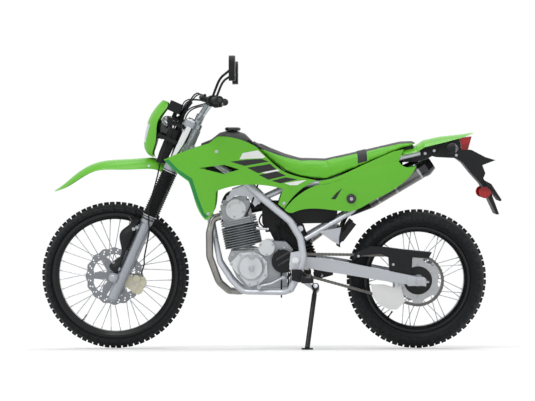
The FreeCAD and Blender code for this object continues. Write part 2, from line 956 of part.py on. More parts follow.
def make_sliders():
    """Lower fork legs with their leading axle lugs and guard bosses."""
    top = slider_top()
    bottom = axle_rise() - float(size.slider_tail)
    collar = top - size.slider_collar_height
    taper = size.slider_radius / 2
    leg = turned("slider_leg", [
        (0, bottom),
        (size.slider_radius - taper / 2, bottom),
        (size.slider_radius, taper + bottom),
        (size.slider_radius, collar - taper / 2),
        (size.slider_collar_radius, collar),
        (size.slider_collar_radius, top),
        (0, top),
    ], "XZ_Plane")
    leg.Placement.Base = point(-size.fork_reach, size.fork_spread / 2, 0)
    half = size.slider_radius
    side = size.fork_spread / 2
    lug = rod(
        "slider_lug", size.axle_lug_radius,
        point(-size.axle_reach, side - half, axle_rise()),
        point(-size.axle_reach, side + half, axle_rise()),
    )
    web = block(
        "slider_web",
        (-size.axle_reach, side - half * 0.7, Size(axle_rise(), repr(axle_rise())) - size.axle_lug_radius),
        (-size.fork_reach, side + half * 0.7, Size(axle_rise(), repr(axle_rise())) + size.axle_lug_radius),
    )
    bosses = [guard_boss(number, rise) for number, rise in enumerate(guard_boss_rises())]
    solid = fused("slider_solid", [leg, lug, web] + bosses)
    bore = rod(
        "slider_bore", size.axle_radius + size.fit_gap,
        point(-size.axle_reach, side - half - size.cut_overrun, axle_rise()),
        point(-size.axle_reach, side + half + size.cut_overrun, axle_rise()),
    )
    bored = cut("slider_bored", solid, bore)
    return finish(pair("slider_pair", bored), "fork_sliders", steered())


def guard_boss_rises():
    top = float(slider_top())
    return (top - float(size.slider_collar_height) * 2.2, axle_rise() + float(size.axle_lug_radius) * 2.2)


def guard_boss(number, rise):
    """Round ear on the front of a slider that carries its guard."""
    reach = size.fork_reach + size.slider_radius + size.guard_boss_radius * 0.6
    half = guard_half_width() - size.fork_guard_wall - size.fit_gap
    side = size.fork_spread / 2
    return rod(
        "guard_boss_%d" % number, size.guard_boss_radius,
        point(-reach, side - half, rise), point(-reach, side + half, rise),
    )


def guard_half_width():
    return size.slider_radius + size.fork_guard_wall + size.fit_gap


def make_stanchions():
    """Upper fork tubes with the plugs at their tops."""
    low = slider_top() + size.fit_gap
    high = size.clamp_spacing + size.upper_clamp_height / 2
    leg = turned("stanchion", [
        (0, low),
        (size.stanchion_radius, low),
        (size.stanchion_radius, high + size.fit_gap),
        (size.stanchion_radius + size.fork_cap_height / 2, high + size.fit_gap),
        (size.stanchion_radius + size.fork_cap_height / 2, high + size.fork_cap_height),
        (0, high + size.fork_cap_height * 1.6),
    ], "XZ_Plane")
    leg.Placement.Base = point(-size.fork_reach, size.fork_spread / 2, 0)
    return finish(pair("stanchion_pair", leg), "fork_tubes", steered())


def make_gaiters():
    """Ribbed rubber boots between the sliders and the lower clamp."""
    ribs = 9
    low = slider_top() + size.fit_gap
    pitch = size.gaiter_length / ribs
    bore = size.stanchion_radius + size.fit_gap
    outline = [(bore, low)]
    for rib in range(ribs):
        foot = low + pitch * rib
        outline.append((size.gaiter_waist_radius, foot + pitch * 0.1))
        outline.append((size.gaiter_radius, foot + pitch * 0.55))
    outline.append((size.gaiter_waist_radius, low + size.gaiter_length))
    outline.append((bore, low + size.gaiter_length))
    leg = turned("gaiter", outline, "XZ_Plane")
    leg.Placement.Base = point(-size.fork_reach, size.fork_spread / 2, 0)
    return finish(pair("gaiter_pair", leg), "fork_gaiters", steered())


def clamp_body(name, middle, height, stem_bore):
    """Fork clamp: rings around both legs, joined by a web at the steering stem."""
    low = middle - height / 2
    high = middle + height / 2
    ring = size.stanchion_radius + size.clamp_ring_wall
    side = size.fork_spread / 2
    solids = [
        rod("%s_ring_%s" % (name, word), ring, point(-size.fork_reach, y, low), point(-size.fork_reach, y, high))
        for word, y in (("left", -side), ("right", side))
    ]
    solids.append(block(
        name + "_web", (-size.clamp_web, -side, low + height * 0.1), (size.clamp_web * 0.4, side, high - height * 0.1)))
    solids.append(rod(name + "_hub", size.stem_radius + size.clamp_ring_wall, point(0, 0, low), point(0, 0, high)))
    bores = [
        rod(
            "%s_bore_%s" % (name, word), size.stanchion_radius + size.fit_gap,
            point(-size.fork_reach, y, low - size.cut_overrun), point(-size.fork_reach, y, high + size.cut_overrun),
        )
        for word, y in (("left", -side), ("right", side))
    ]
    if stem_bore:
        bores.append(rod(
            name + "_stem_bore", stem_bore, point(0, 0, low - size.cut_overrun), point(0, 0, high + size.cut_overrun)))
    return cut(name + "_bored", fused(name + "_solid", solids), fused(name + "_bores", bores))


def make_clamps():
    lower = clamp_body("lower_clamp_body", Size(0, "0"), size.lower_clamp_height, None)
    stem = rod(
        "steering_stem", size.stem_radius, point(0, 0, size.lower_clamp_height / 2 - size.cut_overrun),
        point(0, 0, size.clamp_spacing + size.upper_clamp_height / 2 + size.fork_cap_height),
    )
    finish(fused("lower_clamp_whole", [lower, stem]), "lower_clamp", steered())
    upper = clamp_body(
        "upper_clamp_body", size.clamp_spacing, size.upper_clamp_height, size.stem_radius + size.fit_gap)
    foot = size.clamp_spacing + size.upper_clamp_height / 2 - size.cut_overrun
    risers = [
        rod(
            "riser_%s" % word, size.riser_radius,
            point(0, y, foot), point(0, y, size.bar_rise + size.bar_radius + size.cut_overrun * 3),
        )
        for word, y in (("left", -size.riser_spread / 2), ("right", size.riser_spread / 2))
    ]
    seat = rod(
        "bar_seat", size.bar_radius + size.fit_gap,
        point(0, -size.riser_spread, size.bar_rise), point(0, size.riser_spread, size.bar_rise),
    )
    return finish(cut("upper_clamp_whole", fused("upper_clamp_risers", [upper] + risers), seat), "upper_clamp", steered())


def make_fork_guards():
    """Shields around the front of the sliders."""
    side = size.fork_spread / 2
    top, foot = guard_boss_rises()
    low = axle_rise() + float(size.axle_lug_radius) * 1.25
    stations = (
        (top + float(size.slider_collar_height), 89, 0.62),
        (top - float(size.slider_collar_height), 80, 0.56),
        ((top + foot) / 2, 66, 0.5),
        (foot + float(size.axle_lug_radius), 61, 0.5),
        (foot - float(size.axle_lug_radius) * 0.4, 74, 0.6),
        (low, 62, 0.5),
    )
    wires = []
    for rise, ahead, share in stations:
        middle = point(-(float(size.fork_reach) + ahead), side, rise)
        wires.append(arch_wire(middle, point(-1, 0, 0), guard_half_width(), ahead * share, size.fork_guard_wall))
    return finish(pair("fork_guard_pair", loft("fork_guard", wires)), "fork_guards", steered())


def make_front_axle():
    """Front axle with the spacers that centre the wheel between the legs."""
    half = size.fork_spread / 2 + size.slider_radius + size.fork_cap_height
    inner = size.fork_spread / 2 - size.slider_radius - size.fit_gap
    hub = size.front_hub_width / 2 + size.bearing_gap
    collar = size.axle_radius * 1.6
    head = size.axle_radius * 1.9
    right = [
        (0, half),
        (head, half),
        (head, size.fork_spread / 2 + size.slider_radius + size.fit_gap),
        (size.axle_radius, size.fork_spread / 2 + size.slider_radius + size.fit_gap),
        (size.axle_radius, inner),
        (collar, inner),
        (collar, hub),
        (size.axle_radius, hub),
    ]
    left = [(radius, -along) for radius, along in reversed(right)]
    axle = turned("front_axle_body", right + left)
    axle.Placement.Base = point(-size.axle_reach, 0, axle_rise())
    return finish(axle, "front_axle", steered())


def caliper_solid(end, offset, inner_side):
    """Brake caliper that straddles its disc, drawn about the axle."""
    radius = size_of(end, "disc_radius")
    reach = radius - size.caliper_height * 0.3
    low = offset - size.caliper_half_width
    high = offset + size.caliper_half_width
    body = block(
        end + "_caliper_block",
        (reach - size.caliper_height / 2, low, -size.caliper_length / 2),
        (reach + size.caliper_height / 2, high, size.caliper_length / 2),
    )
    rounded = doc.addObject("Part::Chamfer", end + "_caliper_rounded")
    rounded.Base = body
    corner = float(size.caliper_height) * 0.22
    doc.recompute()
    upright = [
        number for number, edge in enumerate(body.Shape.Edges, start=1)
        if abs(edge.tangentAt(edge.FirstParameter).y) > 0.9
    ]
    rounded.Edges = [(number, corner, corner) for number in upright]
    gap = size.disc_thickness / 2 + size.caliper_gap
    slot = rod(
        end + "_caliper_slot", radius + size.caliper_gap + size.bearing_gap,
        point(0, offset - gap, 0), point(0, offset + gap, 0),
    )
    slotted = cut(end + "_caliper_slotted", rounded, slot)
    plate_low = min(float(inner_side), float(offset - size.caliper_half_width))
    return slotted, plate_low


def make_front_caliper():
    """Front caliper behind the left leg, on a plate that reaches the slider."""
    slotted, plate_low = caliper_solid("front", -size.front_disc_offset, -size.front_disc_offset)
    turn = FreeCAD.Rotation(ACROSS, -4)
    frame = FreeCAD.Placement(point(-size.axle_reach, 0, axle_rise()), turn)
    slotted.Placement = frame
    far = -(size.fork_spread / 2 - size.slider_radius - size.fit_gap)
    near = -size.front_disc_offset - size.caliper_half_width + size.cut_overrun
    back = float(size.front_disc_radius) - float(size.caliper_height) * 0.3 - float(size.axle_reach)
    ahead = -float(size.fork_reach)
    plate = polygon_prism("caliper_plate", [
        (ahead, axle_rise() + float(size.caliper_length) * 0.5),
        (back, axle_rise() + float(size.caliper_length) * 0.36),
        (back, axle_rise() - float(size.caliper_length) * 0.36),
        (ahead, axle_rise() - float(size.caliper_length) * 0.2),
    ], far, near)
    return finish(fused("front_caliper_whole", [slotted, plate]), "front_caliper", steered())


def make_brake_hose():
    """Brake hose from the master cylinder down past the gaiter to the front caliper."""
    side = -(float(size.fork_spread) / 2 + float(size.gaiter_radius) + float(size.brake_hose_radius) + 3)
    rise = axle_rise()
    low = float(slider_top())
    points = [
        point(-88, -30, float(size.clamp_spacing) + 12),
        point(-84, -60, float(size.clamp_spacing) - 60),
        point(-84, side * 0.86, 30),
        point(-62, side, -60),
        point(-40, side, low + 40),
        point(6, side, low - 60),
        point(32, side, (low + rise) / 2 - 20),
        point(42, -100, rise + 110),
        point(46, -70, rise + 60),
    ]
    return tube("brake_hose_run", size.brake_hose_radius, points, 60)


def make_fork():
    make_sliders()
    make_stanchions()
    make_gaiters()
    make_clamps()
    make_fork_guards()
    make_front_axle()
    make_front_caliper()


# Handlebar, controls and mirrors, drawn in the steering frame

def bar_points(side):
    """Points of the right half of the handlebar, or of the left with side -1."""
    return [
        point(0, side * size.bar_centre_half, size.bar_rise),
        point(size.bar_bend_sweep, side * size.bar_bend_half, size.bar_bend_rise),
        point(size.bar_sweep, side * size.bar_width / 2, size.bar_end_rise),
    ]


def along_grip(side, inwards):
    """A point on the bar a distance inwards from its end, and the way out along it."""
    bend, end = bar_points(side)[1:]
    out = end - bend
    out.normalize()
    return end - out * float(inwards), out


def make_handlebar():
    path = bar_points(-1)[::-1] + bar_points(1)
    bar = tube("handlebar_tube", size.bar_radius, path, size.bar_bend)
    return finish(bar, "handlebar", steered())


def make_grips():
    grips = []
    for word, side in (("left", -1), ("right", 1)):
        inner, out = along_grip(side, size.grip_length)
        end, out = along_grip(side, 0)
        sleeve = rod("grip_%s_sleeve" % word, size.grip_radius, inner, end + out * float(size.fork_cap_height))
        flange = rod(
            "grip_%s_flange" % word, size.grip_radius * 1.25, inner, inner + out * float(size.fork_cap_height))
        bore = rod("grip_%s_bore" % word, size.bar_radius + size.fit_gap, inner - out * 9, end + out * 0.3)
        grips.append(cut("grip_%s" % word, fused("grip_%s_solid" % word, [sleeve, flange]), bore))
    return finish(together("grip_pair", grips), "grips", steered())


def make_controls(word, side):
    """Switch housing, lever perch and lever of one side."""
    gap = float(size.fit_gap)
    inner, out = along_grip(side, float(size.grip_length) + 46)
    outer, out = along_grip(side, float(size.grip_length) + gap)
    perch_in, out = along_grip(side, float(size.grip_length) + 84)
    perch_out, out = along_grip(side, float(size.grip_length) + 47)
    housing = rod(word + "_switch", size.grip_radius * 1.5, inner, outer)
    perch = rod(word + "_perch", size.grip_radius * 1.25, perch_in, perch_out)
    bridge = rod(word + "_bridge", size.grip_radius * 1.2, perch_out - out * 4, inner + out * 4)
    ahead = point(-1, 0, -0.1)
    ahead.normalize()
    middle = (perch_in + perch_out) * 0.5
    arm_end = middle + ahead * float(size.lever_reach) * 0.72
    arm = rod(word + "_lever_mount", size.grip_radius * 0.8, middle, arm_end)
    tip, out = along_grip(side, 14)
    lever_tip = tip + ahead * float(size.lever_reach)
    lever = tube(
        word + "_lever", size.grip_radius * 0.4,
        [arm_end - out * 6, arm_end + out * 36 + ahead * 10, (arm_end + lever_tip) * 0.5 + ahead * 6, lever_tip], 40)
    bore_in, out = along_grip(side, float(size.grip_length) + 90)
    bore = rod(word + "_controls_bore", size.bar_radius + size.fit_gap, bore_in, outer + out * 4)
    solid = fused(word + "_controls_solid", [housing, perch, bridge, arm, lever])
    return cut(word + "_controls_bored", solid, bore)


def make_mirrors():
    """Two mirrors: a rounded head on a bent stem from each lever perch."""
    pieces = []
    for word, side in (("left", -1), ("right", 1)):
        foot, out = along_grip(side, float(size.grip_length) + 66)
        foot = foot + point(0, 0, size.grip_radius * 1.25 + size.fit_gap * 6)
        head = point(size.mirror_back, side * size.mirror_side, size.mirror_rise)
        knee = point(size.mirror_back * 0.35, foot.y + side * 8, float(size.mirror_rise) * 0.88)
        stem = tube("mirror_stem_%s" % word, size.mirror_stem_radius, [foot, knee, head], 60)
        shell = doc.addObject("Part::Box", "mirror_head_%s" % word)
        bind(shell, "Length", size.mirror_depth)
        bind(shell, "Width", size.mirror_width)
        bind(shell, "Height", size.mirror_height)
        turn = FreeCAD.Rotation(ACROSS, -float(size.rake))
        corner = point(-size.mirror_depth / 2, -size.mirror_width / 2, -size.mirror_height / 2)
        shell.Placement = FreeCAD.Placement(head + turn.multVec(corner), turn)
        soft = doc.addObject("Part::Fillet", "mirror_soft_%s" % word)
        soft.Base = shell
        doc.recompute()
        corners = [
            number for number, edge in enumerate(shell.Shape.Edges, start=1)
            if abs(edge.tangentAt(edge.FirstParameter).dot(turn.multVec(ALONG))) > 0.9
        ]
        radius = float(size.mirror_height) * 0.3
        soft.Edges = [(number, radius, radius) for number in corners]
        pieces.append(fused("mirror_%s" % word, [stem, soft]))
    return finish(together("mirror_pair", pieces), "mirrors", steered())


# Headlight group, drawn in the steering frame

# Rise share, reach share, half width share and depth of each level of the headlight cowl
COWL_SHARES = (
    (0.0, 0.70, 0.56, 0.16), (0.14, 0.88, 0.76, 0.25), (0.34, 0.96, 0.86, 0.29),
    (0.55, 1.0, 0.98, 0.24), (0.76, 0.985, 0.86, 0.22), (1.0, 0.893, 0.58, 0.12),
)


def make_cowl():
    """Green nose panel: a curved shell open at the back, with the lamp's window cut in it."""
    foot = float(size.cowl_foot_rise)
    height = float(size.cowl_rise) - foot
    wires = []
    for up, ahead, wide, deep in COWL_SHARES:
        middle = point(-size.cowl_reach * ahead, 0, foot + height * up)
        half = size.cowl_half_width * wide
        wires.append(arch_wire(middle, point(-1, 0, 0), half, size.cowl_reach * deep, size.cowl_wall))
    shell = loft("cowl_shell", wires)
    window = lens_prism("cowl_window", size.fit_gap)
    return finish(cut("cowl_cut", shell, window), "headlight_cowl", steered())


def lens_prism(name, margin):
    """The lamp's outline seen from ahead, carried back through the nose."""
    half = float(size.lens_half_width + margin)
    low = float(size.lens_rise - size.lens_height / 2 - margin)
    high = float(size.lens_rise + size.lens_height / 2 + margin)
    ahead = -float(size.cowl_reach) * 1.1
    corners = [(-half, high), (half, high), (half * 0.66, low), (-half * 0.66, low)]
    wire = Part.makePolygon([point(ahead, y, z) for y, z in corners + corners[:1]])
    prism = doc.addObject("Part::Extrusion", name)
    prism.Base = wire_item(name + "_outline", wire)
    prism.DirMode = "Custom"
    prism.Dir = ALONG
    bind(prism, "LengthFwd", size.cowl_reach * 0.55)
    prism.Solid = True
    return prism


def nose_wire(share):
    """Section of the space inside the nose panel, closed by a straight edge at its back."""
    up, ahead, wide, deep = share
    foot = float(size.cowl_foot_rise)
    inset = float(size.cowl_wall) * 0.4
    rise = foot + (float(size.cowl_rise) - foot) * up
    half = float(size.cowl_half_width) * wide - inset
    front = -float(size.cowl_reach) * ahead + inset
    back = front + float(size.cowl_reach) * deep
    arc = Part.Arc(point(back, -half, rise), point(front, 0, rise), point(back, half, rise))
    return Part.Wire([arc.toShape(), Part.LineSegment(point(back, half, rise), point(back, -half, rise)).toShape()])


def make_headlight():
    """Lamp in the nose: its lens fills the window and its stays run back to the fork tubes."""
    nose = loft("headlight_nose", [nose_wire(share) for share in COWL_SHARES])
    face = shared("headlight_face", [lens_prism("headlight_lens_prism", Size(0, "0")), nose])
    level = size.lens_rise + size.lens_height * 0.2
    bar = size.lens_height * 0.1
    back = -size.fork_reach - size.stanchion_radius - size.fit_gap
    front = -size.cowl_reach * 0.66
    outer = size.fork_spread / 2 + size.axle_radius
    pieces = [
        face,
        block("headlight_shell", (-size.cowl_reach * 0.8, -size.lens_half_width * 0.7, level - bar * 2),
              (front + bar, size.lens_half_width * 0.7, level + bar * 2)),
        block("headlight_bar", (front, -outer, level - bar), (front + bar, outer, level + bar)),
        block("headlight_stay_left", (front, -outer, level - bar), (back, -outer + bar, level + bar)),
        block("headlight_stay_right", (front, outer - bar, level - bar), (back, outer, level + bar)),
    ]
    return finish(fused("headlight_whole", pieces), "headlight", steered())


def make_meter():
    low_reach = size.meter_reach - size.meter_length / 2
    box = block(
        "meter_box",
        (-low_reach - size.meter_length, -size.meter_width / 2, size.meter_rise - size.meter_height / 2),
        (-low_reach, size.meter_width / 2, size.meter_rise + size.meter_height / 2),
    )
    leg = block(
        "meter_leg",
        (-size.meter_reach, -size.meter_width * 0.12, size.clamp_spacing - size.upper_clamp_height / 4),
        (-size.clamp_web - size.fit_gap, size.meter_width * 0.12, size.clamp_spacing + size.upper_clamp_height / 4),
    )
    post = block(
        "meter_post",
        (-size.meter_reach, -size.meter_width * 0.12, size.clamp_spacing - size.upper_clamp_height / 4),
        (-size.meter_reach + size.meter_length * 0.3, size.meter_width * 0.12, size.meter_rise),
    )
    return finish(fused("meter_whole", [box, leg, post]), "meter", steered())


def indicator(name, x, side, z, back):
    """Turn signal: a rounded lamp body on a stem that runs in to the bike."""
    half_height = size.indicator_height / 2
    half_length = size.indicator_length / 2
    lamp = doc.addObject("Part::Ellipsoid", name + "_lamp")
    bind(lamp, "Radius1", half_height)
    bind(lamp, "Radius2", half_length)
    bind(lamp, "Radius3", size.indicator_width / 2)
    lamp.Placement.Base = point(x, side, z)
    stem = rod(name + "_stem", size.indicator_stem_radius, point(x, side, z), back)
    return fused(name, [lamp, stem])


def make_front_indicators():
    """Two turn signals on a bar that is held between the fork tubes."""
    level = size.clamp_spacing - size.upper_clamp_height
    front = -size.meter_reach * 0.9
    back = -size.fork_reach - size.stanchion_radius - size.fit_gap
    bar = size.indicator_stem_radius
    outer = size.fork_spread / 2 + bar
    root = point(front + bar, size.fork_spread / 2, level)
    right = indicator("front_indicator", float(-size.meter_reach), size.front_indicator_side, float(level), root)
    pieces = [
        right, mirrored("front_indicator_other", right),
        block("indicator_bar", (front, -outer, level - bar), (front + bar, outer, level + bar)),
        block("indicator_stay_left", (front, -outer, level - bar), (back, -outer + bar * 2, level + bar)),
        block("indicator_stay_right", (front, outer - bar * 2, level - bar), (back, outer, level + bar)),
    ]
    return finish(fused("front_indicator_pair", pieces), "front_indicators", steered())


# Reach share, drop share, half width share and depth share of each station of the front fender
FENDER_SHARES = (
    (0.13, -0.02, 0.78, 0.72), (0.22, -0.01, 0.84, 0.70), (0.37, 0.09, 0.96, 0.66), (0.543, 0.221, 1.0, 0.62),
    (0.735, 0.393, 0.98, 0.5), (0.852, 0.6, 0.86, 0.4), (0.966, 0.923, 0.56, 0.18), (1.0, 1.0, 0.30, 0.06),
)


def make_front_fender():
    """High front fender: an arched blade from the lower clamp out over the tyre."""
    places = [(-float(size.fender_reach) * r, -float(size.fender_drop) * d) for r, d, w, s in FENDER_SHARES]
    wires = []
    for number, (share, place) in enumerate(zip(FENDER_SHARES, places)):
        before = places[max(number - 1, 0)]
        after = places[min(number + 1, len(places) - 1)]
        run = point(after[0] - before[0], 0, after[1] - before[1])
        rise = run.cross(ACROSS)
        if rise.x > 0:
            rise = rise * -1
        half = size.fender_half_width * share[2]
        drop = size.fender_half_width * share[3]
        wires.append(arch_wire(point(place[0], 0, place[1]), rise, half, drop, size.fender_wall))
    blade = loft("front_fender_blade", wires)
    under = -size.lower_clamp_height / 2 - size.fit_gap
    front = -size.fender_reach * 0.19
    wide = size.fender_half_width * 0.4
    mount = block("fender_mount", (front, -wide, under - size.axle_radius), (-size.stem_radius, wide, under))
    post = block(
        "fender_post", (front, -wide, under - size.axle_radius),
        (-size.fender_reach * 0.135, wide, size.axle_radius * 0.2))
    return finish(fused("front_fender_solid", [blade, mount, post]), "front_fender", steered())


def make_control_cables():
    """Throttle and clutch cables looped ahead of the bar and down to the frame side."""
    runs = []
    for word, side in (("left", -1), ("right", 1)):
        inner, out = along_grip(side, float(size.grip_length) + 84)
        start = inner + point(-22, -side * 2, -4)
        points = [
            start,
            point(-46, side * 150, float(size.bar_rise) + 104),
            point(-62, side * 96, float(size.bar_rise) + 84),
            point(-74, side * 52, float(size.bar_rise) + 20),
            point(-78, side * 34, float(size.clamp_spacing) - 50),
            point(-70, side * 30, 60),
        ]
        runs.append(tube("control_cable_%s" % word, size.mirror_stem_radius * 0.6, points, 60))
    runs.append(make_brake_hose())
    return finish(together("control_cable_set", runs), "control_cables", steered())


def make_steering_group():
    make_handlebar()
    make_grips()
    finish(together("control_pair", [make_controls("left", -1), make_controls("right", 1)]), "hand_controls", steered())
    make_mirrors()
    make_cowl()
    make_headlight()
    make_meter()
    make_front_indicators()
    make_front_fender()
    make_control_cables()


# Frame, drawn upright. Places seen from the side are photo pixels, turned into millimetres
# by the named size of one pixel; a third number is a share of the frame's half width.

SPAR_PIXELS = (
    (213, 161.5, 0.64), (247, 183, 0.82), (262, 197, 0.9), (290, 220, 1.0), (300, 237, 1.0),
    (303, 255, 1.0), (300, 270, 1.0), (290, 288.5, 0.96),
)
CRADLE_PIXELS = (
    (290, 288.5, 0.96), (283.5, 291, 0.84), (243, 291, 0.57), (232, 280, 0.5), (220, 262, 0.4), (215, 238, 0.14),
)
DOWN_TUBE_PIXELS = ((210.5, 217, 0.0), (214.5, 240, 0.0))
CROSS_PIXELS = ((213, 161.5, 0.64), (262, 197, 0.9), (290, 288.5, 0.96), (300, 227.5, 0.96))
PIVOT_PLATE_PIXELS = ((290.5, 251), (302, 249), (303, 258.5), (301, 270), (291, 272), (289, 263))
RAIL_PIXELS = (
    (265.3, 197, 0.62), (290, 185.5, 0.7), (326, 181.4, 0.81), (339, 177, 0.8), (400, 157.2, 0.55),
    (418.6, 152.6, 0.48),
)
STAY_PIXELS = ((304.9, 237.6, 0.95), (352, 210, 0.88), (383.5, 162, 0.69))


def spot(column, row, side=0.0):
    """A point of the side view, given in photo pixels, at a distance from the middle plane."""
    across = float(size.pixel) * (column - MIDDLE_COLUMN)
    return point(across, side, float(size.pixel) * (GROUND_ROW - row))


def spots(table, side):
    return [spot(column, row, side * float(size.frame_half_width) * share) for column, row, share in table]


def pixel_prism(name, table, near, far):
    """A straight edged outline given in photo pixels, carried across the bike."""
    places = [spot(*place) for place in table]
    return polygon_prism(name, [(place.x, place.z) for place in places], near, far)


def cross_tube(name, radius, place):
    return rod(name, radius, spots([place], -1)[0], spots([place], 1)[0])


def head_point(reach, side, rise):
    """A point given in the steering frame, in the upright bike's frame."""
    return steering_frame().multVec(point(-reach, side, rise))


HANGER_PIXELS = (
    (226, 200), (232, 189), (247, 184), (258, 192), (262, 200), (255, 206), (248, 196), (236, 195), (228.5, 200.5),
)


def make_frame():
    """Steel frame: steering head, spars, down tube, cradle, pivot plates and stand bracket."""
    tube_side = float(size.frame_half_width) * 0.15
    pieces = []
    for word, side in (("left", -1), ("right", 1)):
        root = head_point(-size.head_tube_radius * 0.7, side * tube_side, size.clamp_spacing * 0.52)
        spar = [root] + spots(SPAR_PIXELS, side)
        pieces.append(tube("frame_spar_%s" % word, size.spar_radius, spar, size.tube_bend))
        pieces.append(tube(
            "frame_cradle_%s" % word, size.cradle_radius, spots(CRADLE_PIXELS, side), size.tube_bend))
        near = size.pivot_plate_side if side > 0 else -size.pivot_plate_side - size.pivot_plate_thickness
        pieces.append(pixel_prism(
            "pivot_plate_%s" % word, PIVOT_PLATE_PIXELS, near, near + size.pivot_plate_thickness))
    low = size.lower_clamp_height / 2 + size.fit_gap * 3
    high = size.clamp_spacing - size.upper_clamp_height / 2 - size.fit_gap * 3
    pieces.append(rod("head_tube", size.head_tube_radius, head_point(0, 0, low), head_point(0, 0, high)))
    down = [head_point(-size.head_tube_radius * 0.2, 0, low + size.head_tube_radius * 1.9)]
    pieces.append(tube("down_tube", size.downtube_radius, down + spots(DOWN_TUBE_PIXELS, 1), size.tube_bend))
    for number, place in enumerate(CROSS_PIXELS):
        pieces.append(cross_tube("frame_cross_%d" % number, size.cradle_radius, place))
    pieces += [head_gusset(low, high)] + engine_hangers() + stand_bracket() + pivot_bolt()
    stem = rod(
        "head_bore", size.stem_radius + size.bearing_gap,
        head_point(0, 0, -size.cut_overrun), head_point(0, 0, size.clamp_spacing))
    return finish(cut("frame_bored", fused("frame_solid", pieces), stem), "main_frame", leaning())


def engine_hangers():
    """Plates that hang the cylinder head from the spars."""
    near = size.fin_width * 0.445
    plates = []
    for word, side in (("left", -1), ("right", 1)):
        low = near if side > 0 else -near - size.caliper_plate
        plates.append(pixel_prism("engine_hanger_%s" % word, HANGER_PIXELS, low, low + size.caliper_plate))
    return plates


def head_gusset(low, high):
    """Plate that ties the steering head to the spars' first cross tube."""
    upper = head_point(-size.stem_radius, 0, (low + high) / 2)
    lower = head_point(-size.stem_radius, 0, low + size.head_tube_radius)
    back = spots(CROSS_PIXELS, 0)[0]
    corners = [(upper.x, upper.z), (back.x, back.z), (lower.x, lower.z)]
    return polygon_prism("head_gusset", corners, -size.cradle_radius * 0.6, size.cradle_radius * 0.6)


def pivot_bolt():
    """Swingarm pivot bolt with its two heads outside the pivot plates."""
    half = size.pivot_plate_side + size.pivot_plate_thickness
    bolt = rod(
        "pivot_bolt", size.pivot_bolt_radius, point(size.pivot_x, -half, size.pivot_z),
        point(size.pivot_x, half, size.pivot_z))
    head = half + size.fork_cap_height
    heads = rod(
        "pivot_heads", size.pivot_bolt_radius * 1.7, point(size.pivot_x, -head, size.pivot_z),
        point(size.pivot_x, head, size.pivot_z))
    inside = half - size.cut_overrun
    between = rod(
        "pivot_between", size.pivot_bolt_radius * 2, point(size.pivot_x, -inside, size.pivot_z),
        point(size.pivot_x, inside, size.pivot_z))
    return [bolt, cut("pivot_bolt_heads", heads, between)]


def make_subframe():
    """Rear frame: seat rails and stays, bolted to the main frame."""
    pieces = []
    for word, side in (("left", -1), ("right", 1)):
        pieces.append(tube("seat_rail_%s" % word, size.rail_radius, spots(RAIL_PIXELS, side), size.tube_bend))
        pieces.append(tube("seat_stay_%s" % word, size.rail_radius * 0.9, spots(STAY_PIXELS, side), size.tube_bend))
    for number, place in enumerate(RAIL_PIXELS[3:5]):
        pieces.append(cross_tube("seat_cross_%d" % number, size.rail_radius * 0.9, place))
    return finish(fused("subframe_solid", pieces), "subframe", leaning())


# Share of the way to the axle, and shares of the arm's height above and below its middle line
ARM_SHARES = ((-0.04, 0.26, 0.3), (0.06, 0.36, 0.46), (0.3, 0.5, 0.5), (0.72, 0.42, 0.44), (0.94, 0.36, 0.38), (1.06, 0.3, 0.3))
BRACE_SHARE = 0.3


def arm_line(share):
    """A point on the middle line of the swingarm, between its pivot and the rear axle."""
    pivot = point(size.pivot_x, 0, size.pivot_z)
    return pivot + (rear_axle_point() - pivot) * share


def plan_prism(name, plan, low, high):
    """A straight edged outline seen from above, carried upwards."""
    wire = Part.makePolygon([point(px, py, low) for px, py in plan + plan[:1]])
    prism = doc.addObject("Part::Extrusion", name)
    prism.Base = wire_item(name + "_outline", wire)
    prism.DirMode = "Custom"
    prism.Dir = UP
    prism.LengthFwd = float(high) - float(low)
    prism.Solid = True
    return prism


def make_swingarm():
    """Swingarm: two deep arms that spread towards the axle, a pivot tube and a brace."""
    tall = float(size.arm_height)
    middles = [arm_line(share) for share, above, below in ARM_SHARES]
    top = [(spine.x, spine.z + tall * above) for spine, (_, above, below) in zip(middles, ARM_SHARES)]
    low = [(spine.x, spine.z - tall * below) for spine, (_, above, below) in zip(middles, ARM_SHARES)]
    outline = [top, [top[-1], low[-1]], low[::-1], [low[0], top[0]]]
    side_view = side_prism(
        "arm_side_view", outline, size.stem_radius, size.arm_axle_side + size.arm_thickness + size.cut_overrun)
    pivot, axle = arm_line(0), arm_line(1)
    inner, outer, thick = float(size.arm_pivot_side), float(size.arm_axle_side), float(size.arm_thickness)
    first, knee, bend, last = pivot.x - tall, pivot.x + tall, axle.x - tall * 2, axle.x + tall * 2
    near = [(first, inner), (knee, inner), (bend, outer), (last, outer)]
    far = [(px, py + thick) for px, py in reversed(near)]
    plan_view = plan_prism("arm_plan_view", near + far, axle.z - tall * 3, pivot.z + tall * 3)
    arm = shared("swingarm_arm", [side_view, plan_view])
    brace = brace_ends(inner + thick / 2)
    half = size.pivot_plate_side - size.fit_gap
    solid = fused("swingarm_solid", [
        arm, mirrored("swingarm_arm_other", arm), rod("swingarm_brace", size.pivot_tube_radius * 1.2, *brace),
        rod("swingarm_pivot", size.pivot_tube_radius, point(pivot.x, -half, pivot.z), point(pivot.x, half, pivot.z)),
    ])
    wide = size.frame_half_width * 2
    bores = [
        rod("swingarm_bore_%d" % number, radius, point(spine.x, -wide, spine.z), point(spine.x, wide, spine.z))
        for number, (radius, spine) in enumerate((
            (size.pivot_bolt_radius + size.fit_gap, pivot), (size.axle_radius + size.fit_gap, axle)))
    ]
    return finish(cut("swingarm_bored", solid, fused("swingarm_bores", bores)), "swingarm", leaning())


def brace_ends(half):
    middle = arm_line(BRACE_SHARE)
    return point(middle.x, -half, middle.z), point(middle.x, half, middle.z)


